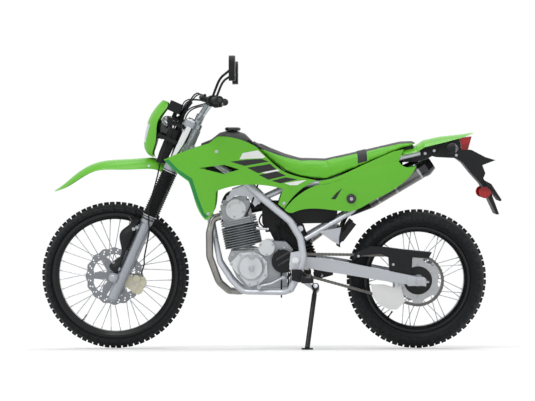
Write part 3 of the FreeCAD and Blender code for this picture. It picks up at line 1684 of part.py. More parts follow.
def make_rear_axle():
    """Rear axle with the spacers and nuts that hold the wheel in the swingarm."""
    inner = size.arm_axle_side - size.fit_gap
    outer = size.arm_axle_side + size.arm_thickness + size.fit_gap
    hub = size.rear_hub_width / 2 + size.bearing_gap
    head = size.axle_radius * 1.9
    right = [
        (0, outer + size.axle_radius), (head, outer + size.axle_radius), (head, outer),
        (size.axle_radius, outer), (size.axle_radius, inner),
        (size.axle_radius * 1.6, inner), (size.axle_radius * 1.6, hub), (size.axle_radius, hub),
    ]
    left = [(radius, -along) for radius, along in reversed(right)]
    axle = turned("rear_axle_body", right + left)
    axle.Placement.Base = rear_axle_point()
    return finish(axle, "rear_axle", leaning())


SHOCK_TOP_PIXEL = (300, 227.5)
SHOCK_FOOT_PIXEL = (318, 274.3)
# Share of the shock's length and of its spring's radius, below the coils
SHOCK_FOOT_SHARES = ((0.02, 0.45), (0.16, 0.45), (0.16, 1.0), (0.2, 1.0))


def make_shock():
    """Single rear shock between the frame's cross tube and its link under the swingarm."""
    foot, top = spot(*SHOCK_FOOT_PIXEL), spot(*SHOCK_TOP_PIXEL)
    length = (top - foot).Length
    radius = size.shock_radius
    outline = [(0, length * SHOCK_FOOT_SHARES[0][0])]
    outline += [(radius * wide, length * along) for along, wide in SHOCK_FOOT_SHARES]
    coils = 7
    for coil in range(coils):
        start = length * (0.22 + 0.06 * coil)
        outline += [(radius * 0.72, start), (radius, start + length * 0.015), (radius, start + length * 0.035)]
    outline += [(radius * 0.72, length * 0.66), (radius, length * 0.68), (radius, length * 0.76)]
    outline += [(radius * 0.7, length * 0.78), (radius * 0.7, length * 0.97), (0, length * 0.97)]
    body = turned("shock_body", outline, "XZ_Plane")
    body.Placement = FreeCAD.Placement(foot, FreeCAD.Rotation(UP, top - foot))
    half = size.shock_radius * 0.56
    eyes = [
        rod("shock_eye_%d" % number, radius * 0.72, end - ACROSS * float(half), end + ACROSS * float(half))
        for number, end in enumerate((foot, top))
    ]
    bore = rod(
        "shock_bore", size.cradle_radius + size.fit_gap, top - ACROSS * float(half * 2), top + ACROSS * float(half * 2))
    brace = arm_line(BRACE_SHARE)
    under = brace.z - float(size.pivot_tube_radius) * 1.2 - float(size.fit_gap)
    tall = float(size.arm_height)
    link = polygon_prism("shock_link", [
        (foot.x - tall * 0.2, foot.z - tall * 0.2), (foot.x + tall * 0.2, foot.z + tall * 0.26),
        (brace.x - tall * 0.25, under), (brace.x + tall * 0.25, under), (brace.x + tall * 0.1, under - tall * 0.5),
        (foot.x + tall * 0.1, foot.z - tall * 0.4),
    ], -half * 0.8, half * 0.8)
    return finish(cut("shock_bored", fused("shock_solid", [body, link] + eyes), bore), "rear_shock", leaning())


INNER_FENDER_PIXELS = ((336.4, 245.5), (342.3, 219), (361, 193), (389, 172), (417, 159))


def make_inner_fender():
    """Black mudguard ahead of the rear tyre and under the seat."""
    axle = rear_axle_point()
    wires = []
    for place in INNER_FENDER_PIXELS:
        middle = spot(*place)
        wires.append(arch_wire(
            middle, middle - axle, size.frame_half_width * 0.56, size.frame_half_width * 0.16, size.fender_wall))
    cross = RAIL_PIXELS[4]
    rail = spot(*cross[:2])
    peg = rod("inner_fender_peg", size.peg_height / 2, rail, rail - UP * float(size.arm_height))
    tube_room = rod(
        "inner_fender_room", size.rail_radius * 0.9 + size.fit_gap, *spots([cross], -2), *spots([cross], 2))
    held = cut("inner_fender_held", peg, tube_room)
    return finish(fused("inner_fender_solid", [loft("inner_fender_blade", wires), held]), "inner_fender", leaning())


def make_rear_caliper():
    """Rear caliper ahead of the axle, on a plate that hangs on the axle's spacer."""
    slotted, plate_low = caliper_solid("rear", size.rear_disc_offset, size.rear_disc_offset)
    inner = size.rear_disc_offset + size.caliper_half_width - size.cut_overrun
    outer = size.arm_axle_side - size.fit_gap
    reach = size.rear_disc_radius - size.caliper_height * 0.3
    half = size.caliper_length * 0.36
    plate = polygon_prism("rear_caliper_plate", [
        (0, half), (reach, half), (reach, -half), (0, -half)], inner, outer)
    boss = rod("rear_caliper_boss", half, point(0, inner, 0), point(0, outer, 0))
    hole = rod(
        "rear_caliper_hole", size.axle_radius * 1.6 + size.fit_gap, point(0, inner - size.cut_overrun, 0),
        point(0, outer + size.cut_overrun, 0))
    whole = cut("rear_caliper_bored", fused("rear_caliper_solid", [slotted, plate, boss]), hole)
    whole.Placement = FreeCAD.Placement(rear_axle_point(), FreeCAD.Rotation(ACROSS, 205))
    return finish(whole, "rear_caliper", leaning())


def make_chassis():
    make_frame()
    make_subframe()
    make_swingarm()
    make_rear_axle()
    make_shock()
    make_inner_fender()
    make_rear_caliper()


# Chain and its guard, drawn upright

def chain_corners(spread):
    """Corners around both sprockets, at a distance outside their pitch circles, in the middle plane."""
    drive = point(size.drive_x, 0, size.drive_z)
    axle = rear_axle_point()
    small = float(size.drive_sprocket_radius)
    large = float(size.sprocket_radius) - float(size.chain_roller_radius)
    run = axle - drive
    bearing = math.atan2(run.z, run.x)
    tip = math.asin((large - small) / run.Length)
    corners = []
    for centre, radius, start, sweep, count in (
        (axle, large, bearing + math.pi / 2 + tip, math.pi + 2 * tip, CHAIN_CORNERS["axle"]),
        (drive, small, bearing - math.pi / 2 - tip, math.pi - 2 * tip, CHAIN_CORNERS["drive"]),
    ):
        reach = (radius + float(spread)) / math.cos(sweep / count / 2)
        for number in range(count):
            angle = start - sweep * (number + 0.5) / count
            corners.append(centre + point(reach * math.cos(angle), 0, reach * math.sin(angle)))
    return corners


def chain_band(name, spread, low, high):
    """A closed band around both sprockets, in straight runs and flat facets."""
    return polygon_prism(name, [(place.x, place.z) for place in chain_corners(spread)], low, high)


def chain_links(low, high):
    """One raised plate for each outer link along the chain's straight runs and its wheel's half."""
    corners = chain_corners(0)
    keep = corners[-1:] + corners[:CHAIN_CORNERS["axle"] + 1]
    step = float(size.chain_pitch) * 2
    half = float(size.chain_pitch) * 0.5 + float(size.chain_plate_height) * 0.32
    tall = float(size.chain_plate_height) * 0.36
    links, ahead = [], step / 2
    for start, stop in zip(keep, keep[1:]):
        run = stop - start
        turn = FreeCAD.Rotation(ACROSS, -math.degrees(math.atan2(run.z, run.x)))
        while ahead < run.Length:
            plate = block("chain_link", (-half, low, -tall), (half, high, tall))
            place = start + run * (ahead / run.Length)
            plate.Placement = FreeCAD.Placement(place, turn).multiply(
                FreeCAD.Placement(point(-half, low, -tall), FreeCAD.Rotation()))
            links.append(plate)
            ahead += step
        ahead -= run.Length
    return links


def make_chain():
    """Drive chain: two bands of side plates around both sprockets, the outer one with its links raised."""
    half = size.chain_plate_height / 2
    bands = []
    for word, side in (("outer", -1), ("inner", 1)):
        near = size.chain_inner_gap / 2
        far = near + size.chain_plate_thickness
        low = -size.chain_offset + (near if side > 0 else -far)
        high = -size.chain_offset + (far if side > 0 else -near)
        outside = chain_band("chain_%s_outside" % word, half, low, high)
        inside = chain_band("chain_%s_inside" % word, -half, low - size.cut_overrun, high + size.cut_overrun)
        bands.append(cut("chain_%s_plates" % word, outside, inside))
    edge = float(-size.chain_offset - size.chain_inner_gap / 2 - size.chain_plate_thickness)
    proud = float(size.chain_plate_thickness)
    outer = fused("chain_outer_links", [bands[0]] + chain_links(edge - proud, edge + proud / 2))
    return finish(together("chain_plates", [outer, bands[1]]), "chain", leaning())


GUARD_PIXELS = (
    (352, 258), (354, 252), (360, 250), (369, 245), (385, 246), (400, 248), (430, 251), (427, 257),
    (411, 256), (410, 273.3), (388, 269.2), (387, 256), (380, 252.5), (362, 254),
)
GUARD_TOP_PIXELS = (
    (357.5, 250.8), (360, 250), (369, 245), (385, 246), (400, 248), (430, 251), (430, 251.7),
    (400, 248.7), (385, 246.7), (369, 245.7), (360, 250.7), (357.5, 251.5),
)


# Plate under the swingarm that guides the chain's lower run
GUIDE_PIXELS = (
    (370, 283), (383, 283), (393.5, 286), (394, 279.5), (399, 280), (401, 290), (404, 300), (396, 308),
    (388, 308), (378, 303), (372, 295),
)


def make_chain_guard():
    """Black guard over the chain's upper run, with a lip, and the guide plate at its lower run."""
    near = -size.arm_axle_side - size.panel_wall * 2
    plate = pixel_prism("chain_guard_plate", GUARD_PIXELS, near, near + size.panel_wall)
    lip = pixel_prism(
        "chain_guard_lip", GUARD_TOP_PIXELS, near, -size.chain_offset + size.chain_inner_gap * 1.5)
    guide_far = -size.arm_axle_side + size.fit_gap
    guide = pixel_prism("chain_guide", GUIDE_PIXELS, guide_far, guide_far + size.panel_wall)
    guard = fused("chain_guard_solid", [plate, lip])
    return finish(together("chain_guard_set", [guard, guide]), "chain_guard", leaning())


# Engine, drawn upright

CRANKCASE_PIXELS = (
    (228, 258), (231, 250), (262, 249), (266, 240), (286, 241), (293, 249), (289, 254), (287, 266),
    (287, 284), (281, 287.5), (247, 287.5), (237, 277),
)


def make_crankcase():
    """Crankcase block with the gearbox, and the shaft and sprocket that drive the chain."""
    case = pixel_prism(
        "crankcase_block", CRANKCASE_PIXELS, -size.crankcase_half_width, size.crankcase_half_width)
    shaft = rod(
        "drive_shaft", size.axle_radius * 1.4,
        point(size.drive_x, -size.crankcase_half_width + size.cut_overrun, size.drive_z),
        point(size.drive_x, -size.chain_offset - size.chain_inner_gap, size.drive_z))
    sprocket = rod(
        "drive_sprocket", size.drive_sprocket_radius - size.chain_roller_radius,
        point(size.drive_x, -size.chain_offset - size.sprocket_thickness / 2, size.drive_z),
        point(size.drive_x, -size.chain_offset + size.sprocket_thickness / 2, size.drive_z))
    return finish(fused("crankcase_whole", [case, shaft, sprocket]), "crankcase", leaning())


def cylinder_frame():
    """Frame of the cylinder: its z runs up the leaning bore from the crankcase."""
    turn = FreeCAD.Rotation(ACROSS, -float(size.cylinder_lean))
    return leaning().multiply(FreeCAD.Placement(point(size.cylinder_x, 0, size.cylinder_z), turn))


def fin_plate(name, low, length, width):
    """One cooling fin with cut corners, at a height up the bore."""
    body = doc.addObject("PartDesign::Body", name)
    sketch = new_sketch(body, "XY_Plane", name + "_outline")
    long_half = length / 2
    wide_half = width / 2
    corner = size.fin_corner
    draw_outline(sketch, [
        (-long_half, -wide_half + corner), (-long_half + corner, -wide_half),
        (long_half - corner, -wide_half), (long_half, -wide_half + corner),
        (long_half, wide_half - corner), (long_half - corner, wide_half),
        (-long_half + corner, wide_half), (-long_half, wide_half - corner),
    ])
    pad = body.newObject("PartDesign::Pad", name + "_pad")
    pad.Profile = sketch
    bind(pad, "Length", size.fin_thickness)
    body.Placement.Base = point(0, 0, low)
    return body


def make_cylinder():
    """Cylinder barrel with nine cooling fins."""
    count = 9
    barrel = rod(
        "barrel", size.barrel_radius, point(0, 0, size.fin_pitch * 0.2), point(0, 0, size.fin_pitch * (count + 1)))
    fins = [
        fin_plate("cylinder_fin_%d" % step, size.fin_pitch * step, size.fin_length, size.fin_width)
        for step in range(1, count + 1)
    ]
    return finish(fused("cylinder_whole", [barrel] + fins), "cylinder", cylinder_frame())


def make_cylinder_head():
    """Cylinder head with its fins, cover and the round caps over its camshaft."""
    base = size.fin_pitch * 10 + size.fit_gap
    top = base + size.head_block_height
    half = size.head_length / 2
    wide = size.head_width / 2
    lower = block("head_block", (-half, -wide, base), (half, wide, top - size.fin_pitch * 2))
    cover = block("head_cover", (-half * 0.8, -wide * 0.9, base + size.fin_pitch), (half * 0.86, wide * 0.9, top))
    fins = [
        fin_plate("head_fin_%d" % step, base + size.fin_pitch * (step + 0.3), size.fin_length * 0.96, size.fin_width)
        for step in range(3)
    ]
    cam = top - size.cam_cover_radius * 1.13
    caps = [
        rod(
            "cam_cap", size.cam_cover_radius * share, point(0, -wide - size.fin_pitch * proud, cam),
            point(0, wide + size.fin_pitch * proud, cam))
        for share, proud in ((1.0, 0.6), (0.62, 1.0))
    ]
    return finish(fused("head_whole", [lower, cover] + caps + fins), "cylinder_head", cylinder_frame())


GENERATOR_PIXEL = (251, 266)
GENERATOR_COVER_PIXELS = (
    (229.5, 263), (240, 252), (253, 250.5), (262, 255), (267, 261), (267.5, 275), (259, 283), (249, 285.5),
)
# Bosses of the left cover: pixel place, share of the cover's radius
COVER_BOSSES = (((251.8, 266.7), 0.25), ((251.8, 255), 0.17))
STARTER_PIXEL = (266.5, 246.5)


def make_engine_covers():
    """Covers of the crankcase: generator and starter on the left, clutch on the right."""
    inner = size.crankcase_half_width + size.fit_gap
    outer = inner + size.side_cover_depth
    rim = inner + size.side_cover_depth * 0.45
    beside = size.fin_width / 2 + size.fit_gap
    left = [
        pixel_prism("generator_rim", GENERATOR_COVER_PIXELS, -rim, -inner),
        cone(
            "generator_dome", size.generator_radius * 0.76, size.generator_radius * 0.6,
            spot(*GENERATOR_PIXEL, -rim + size.cut_overrun), spot(*GENERATOR_PIXEL, -outer)),
    ]
    for place, share in COVER_BOSSES:
        left.append(rod(
            "generator_boss", size.generator_radius * share, spot(*place, -inner - size.cut_overrun),
            spot(*place, -outer - size.cut_overrun * 2)))
    starter = [
        rod("starter_root", size.generator_radius * 0.3, spot(*STARTER_PIXEL, -beside - size.cut_overrun),
            spot(*STARTER_PIXEL, -inner)),
        rod("starter_cover", size.generator_radius * 0.43, spot(*STARTER_PIXEL, -beside - size.cut_overrun * 7),
            spot(*STARTER_PIXEL, -beside)),
    ]
    right = cone(
        "clutch_cover", size.generator_radius, size.generator_radius * 0.86,
        spot(*GENERATOR_PIXEL, inner), spot(*GENERATOR_PIXEL, outer))
    covers = [fused("generator_cover", left), fused("starter_end", starter), right]
    finish(together("engine_cover_set", covers), "engine_covers", leaning())


def make_sprocket_cover():
    """Black cover over the drive sprocket, open to the rear where the chain runs out."""
    outer = -size.chain_offset - size.chain_inner_gap - size.chain_plate_thickness * 4
    plate_in = outer + size.hub_flange_thickness * 2
    reach = size.drive_sprocket_radius + size.chain_plate_height
    inner = -size.crankcase_half_width - size.fit_gap
    across = size.drive_x
    up = size.drive_z
    wall = rod("sprocket_cover_wall", reach + size.rim_wall, point(across, outer, up), point(across, inner, up))
    hollow = rod(
        "sprocket_cover_hollow", reach, point(across, plate_in, up),
        point(across, inner + size.cut_overrun, up))
    rear = block(
        "sprocket_cover_mouth", (across + size.axle_radius, plate_in, up - reach * 2),
        (across + reach * 2, inner + size.cut_overrun, up + reach * 2))
    behind = block(
        "sprocket_cover_behind", (across + reach * 0.6, outer - size.cut_overrun, up - reach * 2),
        (across + reach * 2, inner + size.cut_overrun, up + reach * 2))
    solid = cut("sprocket_cover_open", wall, fused("sprocket_cover_space", [hollow, rear, behind]))
    return finish(solid, "sprocket_cover", leaning())


# Third number: share of the muffler's distance from the middle plane
HEADER_PIXELS = (
    (222, 215.8, -0.21), (213, 218.2, -0.21), (209.6, 232, -0.31), (209.8, 256, -0.3), (219, 282, -0.17),
    (228.6, 292, 0.21), (239.7, 294.6, 0.7), (252.7, 291.5, 0.86), (270.4, 281, 0.93), (288, 261, 0.985),
    (303.6, 248.8, 1.0), (344, 218.1, 1.0), (350.8, 215.1, 1.0),
)
MUFFLER_PIXELS = ((351.1, 214.8), (373, 203.3), (424, 169), (434, 162.4))


def make_header():
    """Exhaust header from the head, down ahead of the engine and under it to the right."""
    points = [spot(column, row, size.muffler_side * share) for column, row, share in HEADER_PIXELS]
    return finish(tube("header_pipe", size.header_radius, points, size.tube_bend), "exhaust_header", leaning())


def make_muffler():
    """Tapered silencer on the right, with a black end cap around its outlet."""
    start, neck, end, tip = [spot(*place, size.muffler_side) for place in MUFFLER_PIXELS]
    run = end - neck
    run.normalize()
    lead = neck - start
    lead.normalize()
    wide = float(size.muffler_radius)
    rings = [
        circle_wire(start, lead, float(size.header_radius) * 1.15), circle_wire(neck, lead + run, wide * 0.64),
        circle_wire(end, run, wide * 0.95),
    ]
    can = loft("muffler_can", rings, ruled=True)
    length = (tip - end).Length
    bore = size.header_radius
    cap = turned("muffler_cap", [
        (0, size.fit_gap), (wide, size.fit_gap), (wide * 1.02, length * 0.4), (wide * 0.8, length),
        (bore, length), (bore, length * 0.6), (0, length * 0.6),
    ], "XZ_Plane")
    cap.Placement = FreeCAD.Placement(end, FreeCAD.Rotation(UP, run))
    finish(together("muffler_set", [can, cap]), "muffler", leaning())


def circle_wire(middle, normal, radius):
    return Part.Wire([Part.Circle(middle, normal, radius).toShape()])


INTAKE_PIXELS = ((250.98, 208.15), (262, 205.8), (281.3, 205.8))
THROTTLE_PIXELS = ((262, 203), (276, 201.5), (281, 206), (281, 222), (276, 231), (266, 232), (262, 222))
AIRBOX_PIXELS = ((281.5, 223.4), (333, 222.3), (337, 212.3), (338, 186), (286, 186), (281.5, 195))


def make_intake():
    """Throttle body behind the head, and the air box under the seat that feeds it."""
    boot = tube("intake_boot", size.intake_radius, [spot(*place) for place in INTAKE_PIXELS], size.tube_bend)
    half = size.intake_radius * 1.4
    body = pixel_prism("throttle_block", THROTTLE_PIXELS, -half, half)
    finish(fused("throttle_solid", [boot, body]), "throttle_body", leaning())
    box = pixel_prism("airbox_block", AIRBOX_PIXELS, -size.airbox_half_width, size.airbox_half_width)
    finish(box, "airbox", leaning())


def make_engine():
    make_crankcase()
    make_cylinder()
    make_cylinder_head()
    make_engine_covers()
    make_sprocket_cover()
    make_header()
    make_muffler()
    make_intake()


# Bodywork, drawn upright

SHROUD_PIXELS = (
    ((166, 159), (180, 153), (200, 146), (210, 143)),
    ((210, 143), (218, 136.5)),
    ((218, 136.5), (230, 137), (245, 141), (257, 147)),
    ((257, 147), (270, 160), (284, 171), (300, 176.5), (316, 179.5)),
    ((316, 179.5), (300, 189), (290, 199), (284, 207.5)),
    ((284, 207.5), (278, 203)),
    ((278, 203), (283, 188)),
    ((283, 188), (262, 184), (240, 184), (217, 190)),
    ((217, 190), (216, 203), (213, 213), (207, 218.5)),
    ((207, 218.5), (203, 214), (196, 198), (190, 180)),
    ((190, 180), (178, 171), (166, 159)),
)
# Share of the shroud's length, and shares of its half width at its top, middle and foot
SHROUD_SHARES = (
    (-0.02, 0.88, 1.0, 0.94), (0.24, 0.8, 1.0, 0.9), (0.48, 0.7, 0.92, 0.84),
    (0.72, 0.63, 0.72, 0.74), (1.02, 0.62, 0.69, 0.7),
)
SIDE_COVER_PIXELS = (
    ((284.8, 208), (290.8, 199.6), (300.7, 189.7), (316.7, 180.2)),
    ((316.7, 180.2), (330, 178), (345, 171.8), (370, 160.5), (396, 149.6)),
    ((396, 149.6), (400, 157.5), (415, 159)),
    ((415, 159), (408, 171), (400, 179), (385, 190), (370, 199), (358, 207), (350, 210)),
    ((350, 210), (340, 209.5), (300, 208.5), (293, 211.5)),
    ((293, 211.5), (288, 211), (284.8, 208)),
)
SIDE_COVER_SHARES = (
    (-0.02, 0.9, 0.955, 0.95), (0.35, 0.94, 1.0, 0.98), (0.7, 0.86, 0.94, 0.9), (1.02, 0.6, 0.7, 0.68),
)


SHROUD_SLOT_PIXELS = ((200, 167), (225, 164), (240, 168.5), (225, 173))
# Where a panel's inner peg rests on the seat rail: pixel place, share of the panel's half width
PANEL_PEGS = {"shroud": ((290, 185.5), 0.708), "side_cover": ((326, 181.4), 0.982)}


def panel_peg(name, half_width):
    """Peg on a panel's inner face that rests on the left seat rail."""
    place, share = PANEL_PEGS[name]
    peg = rod(name + "_peg", size.indicator_stem_radius * 0.6, spot(*place, -half_width * share), spot(*place, 0))
    inner = block(
        name + "_peg_inside", (-size.wheelbase, -size.frame_half_width * 0.75, 0),
        (size.wheelbase, size.cut_overrun, size.wheelbase))
    rail = tube(name + "_peg_rail", size.rail_radius + size.fit_gap, spots(RAIL_PIXELS, -1), size.tube_bend)
    return cut(name + "_peg_end", peg, fused(name + "_peg_space", [inner, rail]))


def side_panels(name, label, pixels, shares, left, bottom, length, height, half_width):
    """A thin curved panel of the left side, trimmed to its outline, and its twin on the right."""
    outline = side_prism(
        name + "_outline_prism", fitted(pixels, left, bottom, length, height),
        -half_width * 1.2, Size(0, "0"))
    wires = []
    for along, top, middle, foot in shares:
        places = (
            (half_width * top, bottom + height + size.panel_wall),
            (half_width * middle, bottom + height * 0.62),
            (half_width * foot, bottom - size.panel_wall),
        )
        wires.append(skin_wire(left + length * along, places, size.panel_wall))
    skin = loft(name + "_skin", wires)
    panel = shared(name + "_panel", [outline, skin])
    if name == "shroud":
        slot = pixel_prism("shroud_slot", SHROUD_SLOT_PIXELS, -half_width * 1.2, -half_width * 0.5)
        panel = cut("shroud_open", panel, slot)
    pegged = fused(name + "_pegged", [panel, panel_peg(name, half_width)])
    finish(pair(name + "_pair", pegged), label, leaning())


def make_panels():
    for name, label, pixels, shares in (
        ("shroud", "shrouds", SHROUD_PIXELS, SHROUD_SHARES),
        ("side_cover", "side_covers", SIDE_COVER_PIXELS, SIDE_COVER_SHARES),
    ):
        side_panels(
            name, label, pixels, shares,
            getattr(size, name + "_front_x"), getattr(size, name + "_bottom_z"),
            getattr(size, name + "_length"), getattr(size, name + "_height"),
            getattr(size, name + "_half_width"))


# Share of the length, half width share, shares of the height at the base and the top
TANK_SHARES = (
    (0.0, 0.42, -0.4, -0.3), (0.2, 0.7, -0.53, -0.2), (0.36, 0.9, -0.66, -0.045), (0.5, 0.97, -0.8, 0.0),
    (0.7, 1.0, -0.94, 0.0), (0.86, 0.98, -1.08, -0.07), (1.0, 0.94, -1.18, -0.24),
)
# Share of the length, half width share, shares of the height at the base, shoulder and top
SEAT_SHARES = (
    (0.0, 0.46, 0.93, 0.96, 1.0), (0.11, 0.72, 0.5, 0.68, 0.79), (0.2, 0.86, 0.22, 0.48, 0.64),
    (0.295, 0.92, 0.08, 0.36, 0.53), (0.45, 0.97, 0.01, 0.32, 0.515), (0.665, 1.0, 0.375, 0.56, 0.71),
    (0.91, 0.8, 0.8, 0.87, 0.945), (1.0, 0.6, 0.88, 0.92, 0.96),
)


def make_tank():
    """Fuel tank between the shrouds, with its filler cap."""
    length = size.seat_front_x - size.fit_gap - size.tank_front_x
    wires = []
    for along, wide, low, high in TANK_SHARES:
        shoulder = high - (high - low) * 0.35
        wires.append(domed_wire(
            size.tank_front_x + length * along, size.tank_half_width * wide * 0.86,
            size.tank_top_z + size.tank_height * low, size.tank_top_z + size.tank_height * shoulder,
            size.tank_top_z + size.tank_height * high, size.tank_half_width * wide))
    finish(loft("tank_body", wires, ruled=True), "fuel_tank", leaning())
    foot = size.tank_top_z + size.fit_gap
    cap = turned("fuel_cap_body", [
        (0, foot), (size.cap_radius * 0.9, foot), (size.cap_radius, foot + size.cap_height * 0.3),
        (size.cap_radius, foot + size.cap_height * 0.8), (size.cap_radius * 0.8, foot + size.cap_height),
        (0, foot + size.cap_height),
    ], "XZ_Plane")
    cap.Placement.Base = point(size.cap_x, 0, 0)
    finish(cap, "fuel_cap", leaning())


def make_seat():
    """Long two-up seat, lowest behind the tank and rising to the tail."""
    wires = []
    for along, wide, low, shoulder, high in SEAT_SHARES:
        wires.append(domed_wire(
            size.seat_front_x + size.seat_length * along, size.seat_half_width * wide * 0.9,
            size.seat_base_z + size.seat_height * low, size.seat_base_z + size.seat_height * shoulder,
            size.seat_base_z + size.seat_height * high, size.seat_half_width * wide))
    return finish(loft("seat_body", wires, ruled=True), "seat", leaning())


# Crown of the tail in photo pixels, half width share and depth share
TAIL_STATIONS = (
    (401, 147.4, 0.98, 0.34), (415, 145.6, 0.92, 0.3), (423, 140.2, 0.88, 0.32), (440, 136.6, 0.78, 0.3),
    (460, 134.5, 0.66, 0.16), (472, 132.7, 0.46, 0.04),
)


def make_tail():
    """Green tail over the rear wheel."""
    wires = [
        arch_wire(
            spot(column, row), UP, size.tail_half_width * wide, size.tail_half_width * deep, size.tail_wall)
        for column, row, wide, deep in TAIL_STATIONS
    ]
    return finish(loft("tail_blade", wires, ruled=True), "tail_cover", leaning())


UNDERTAIL_PIXELS = (
    (420, 152), (421, 144.8), (423, 143.6), (440, 140.6), (458, 138.2), (459.6, 149.8), (470, 149.75), (484, 157), (494, 160), (481, 165),
    (484, 173), (482, 178), (489, 190), (498, 214), (495, 214), (486, 195), (480, 184), (470, 173),
    (462, 163), (455, 158), (435, 157),
)
TAIL_LAMP_PIXELS = ((458.6, 138.1), (470, 136.4), (466.5, 149.6), (460.2, 149.7))
REAR_INDICATOR_PIXEL = (449, 148)
REFLECTOR_PIXEL = (483.5, 192)
# Plate holder and upper flap behind the mudguard
PLATE_HOLDER_PIXELS = ((482, 179.5), (489.5, 183.5), (500, 199.5), (498.5, 200.8), (488, 187), (485.5, 186.5))


def make_rear_end():
    """Black rear mudguard with the plate holder, and the lamps and reflectors around it."""
    half = size.undertail_half_width
    guard = fused("undertail_body", [
        pixel_prism("undertail_side", UNDERTAIL_PIXELS, -half, half),
        pixel_prism("plate_holder", PLATE_HOLDER_PIXELS, -half * 1.3, half * 1.3),
    ])
    finish(guard, "rear_mudguard", leaning())
    lamp = size.tail_lamp_half_width
    finish(pixel_prism("tail_lamp_body", TAIL_LAMP_PIXELS, -lamp, lamp), "tail_light", leaning())
    beside = float(half + size.fit_gap)
    centre = spot(*REAR_INDICATOR_PIXEL, size.rear_indicator_side)
    right = indicator(
        "rear_indicator", centre.x, centre.y, centre.z, spot(*REAR_INDICATOR_PIXEL, beside))
    finish(pair("rear_indicator_pair", right), "rear_indicators", leaning())
    place = spot(*REFLECTOR_PIXEL, beside)
    reflector = rod("side_reflector", size.reflector_radius, place, place + ACROSS * float(size.reflector_depth))
    finish(pair("reflector_pair", reflector), "side_reflectors", leaning())


def make_bodywork():
    make_panels()
    make_tank()
    make_seat()
    make_tail()
    make_rear_end()


# Footrests, foot controls and stand, drawn upright

PEG_HANGER_PIXELS = ((291.4, 267.4), (300.7, 267.4), (306, 273), (306, 279), (299, 280), (291.4, 278))
PEG_PIXELS = ((300.3, 278.5), (312.2, 278.5), (312.2, 273.4), (300.3, 273.4))
REAR_HANGER_PIXELS = ((318, 230), (340, 226), (343, 238), (338, 243), (332, 240))
REAR_PEG_PIXELS = ((338, 237), (342, 240), (355, 223), (351, 220))
SHIFT_PIXELS = ((283, 276), (272, 282), (259, 285))
PEDAL_PIXELS = ((295.3, 274.3), (286, 284), (266, 289.5), (256, 287.5))


def make_footpegs():
    """Rider's pegs on the frame's lower corners, and passenger's pegs folded against their hangers."""
    side = size.frame_half_width + size.spar_radius + size.fit_gap
    tread = side + size.pivot_plate_thickness
    rider = fused("rider_peg", [
        pixel_prism("peg_hanger", PEG_HANGER_PIXELS, side, tread),
        pixel_prism("peg_tread", PEG_PIXELS, tread - size.cut_overrun, tread + size.peg_length),
    ])
    rear = size.frame_half_width + size.cut_overrun * 2
    hanger = rear + size.caliper_plate
    passenger = fused("passenger_peg", [
        pixel_prism("rear_hanger", REAR_HANGER_PIXELS, rear, hanger),
        pixel_prism("rear_peg", REAR_PEG_PIXELS, hanger - size.cut_overrun, hanger + size.caliper_plate * 1.6),
    ])
    sides = together("peg_side", [rider, passenger])
    return finish(pair("footpeg_pair", sides), "footpegs", leaning())


def make_foot_controls():
    """Gear lever on the left and brake pedal on the right."""
    case = float(size.crankcase_half_width + size.fit_gap)
    arm = case + float(size.side_cover_depth)
    shaft_end = spot(*SHIFT_PIXELS[0], -arm)
    lever = fused("gear_lever", [
        rod("gear_shaft", size.axle_radius, spot(*SHIFT_PIXELS[0], -case), shaft_end),
        tube("gear_arm", size.axle_radius * 0.7, [spot(*place, -arm + 6) for place in SHIFT_PIXELS], size.tube_bend),
        rod(
            "gear_toe", size.axle_radius, spot(*SHIFT_PIXELS[-1], -arm + 10),
            spot(*SHIFT_PIXELS[-1], -arm - float(size.side_cover_depth))),
    ])
    hanger = float(size.frame_half_width + size.spar_radius + size.pivot_plate_thickness + size.fit_gap * 2)
    outer = hanger + float(size.side_cover_depth)
    pedal = fused("brake_lever", [
        rod("pedal_shaft", size.axle_radius, spot(*PEDAL_PIXELS[0], hanger), spot(*PEDAL_PIXELS[0], outer)),
        tube("pedal_arm", size.axle_radius * 0.8, [spot(*place, outer) for place in PEDAL_PIXELS], size.tube_bend),
        rod(
            "pedal_toe", size.axle_radius * 1.3, spot(*PEDAL_PIXELS[-1], outer - 12),
            spot(*PEDAL_PIXELS[-1], outer + 30)),
    ])
    return finish(together("foot_control_pair", [lever, pedal]), "foot_controls", leaning())


def stand_axis():
    """Way that the stand's pin points: square to the leg when it is down and when it is folded."""
    pivot = point(size.stand_pivot_x, -size.stand_pivot_side, size.stand_pivot_z)
    down = stand_foot_point() - pivot
    down.normalize()
    folded = FreeCAD.Vector(0.997, -0.04, 0.05)
    axis = down.cross(folded)
    axis.normalize()
    return pivot, down, axis


def make_stand():
    """Side stand: an eye on the pin, a round leg and a foot that lies flat on the floor."""
    pivot, down, axis = stand_axis()
    half = axis * float(size.stand_eye_radius) * 0.5
    eye = rod("stand_eye", size.stand_eye_radius, pivot - half, pivot + half)
    foot = stand_foot_point()
    floor = FreeCAD.Rotation(ALONG, -lean_angle()).multVec(UP)
    thick = float(size.stand_foot_thickness)
    pad = rod("stand_pad", size.stand_foot_radius, foot, foot + floor * thick)
    start = float(size.stand_eye_radius)
    end = foot + floor * thick * 0.9 - pivot
    leg = turned("stand_leg", [
        (0, start * 0.6), (size.stand_radius * 0.6, start * 0.6), (size.stand_radius, start * 2.2),
        (size.stand_radius, end.Length), (0, end.Length),
    ], "XZ_Plane")
    leg.Placement = FreeCAD.Placement(pivot, FreeCAD.Rotation(UP, end))
    below = rod("stand_leg_trim", size.stand_foot_radius * 2, foot - floor * thick * 8, foot)
    leg = cut("stand_leg_trimmed", leg, below)
    bore = rod("stand_bore", size.stand_pin_radius + size.fit_gap, pivot - half * 4, pivot + half * 4)
    return finish(cut("stand_bored", fused("stand_solid", [eye, leg, pad]), bore), "side_stand_leg", leaning())


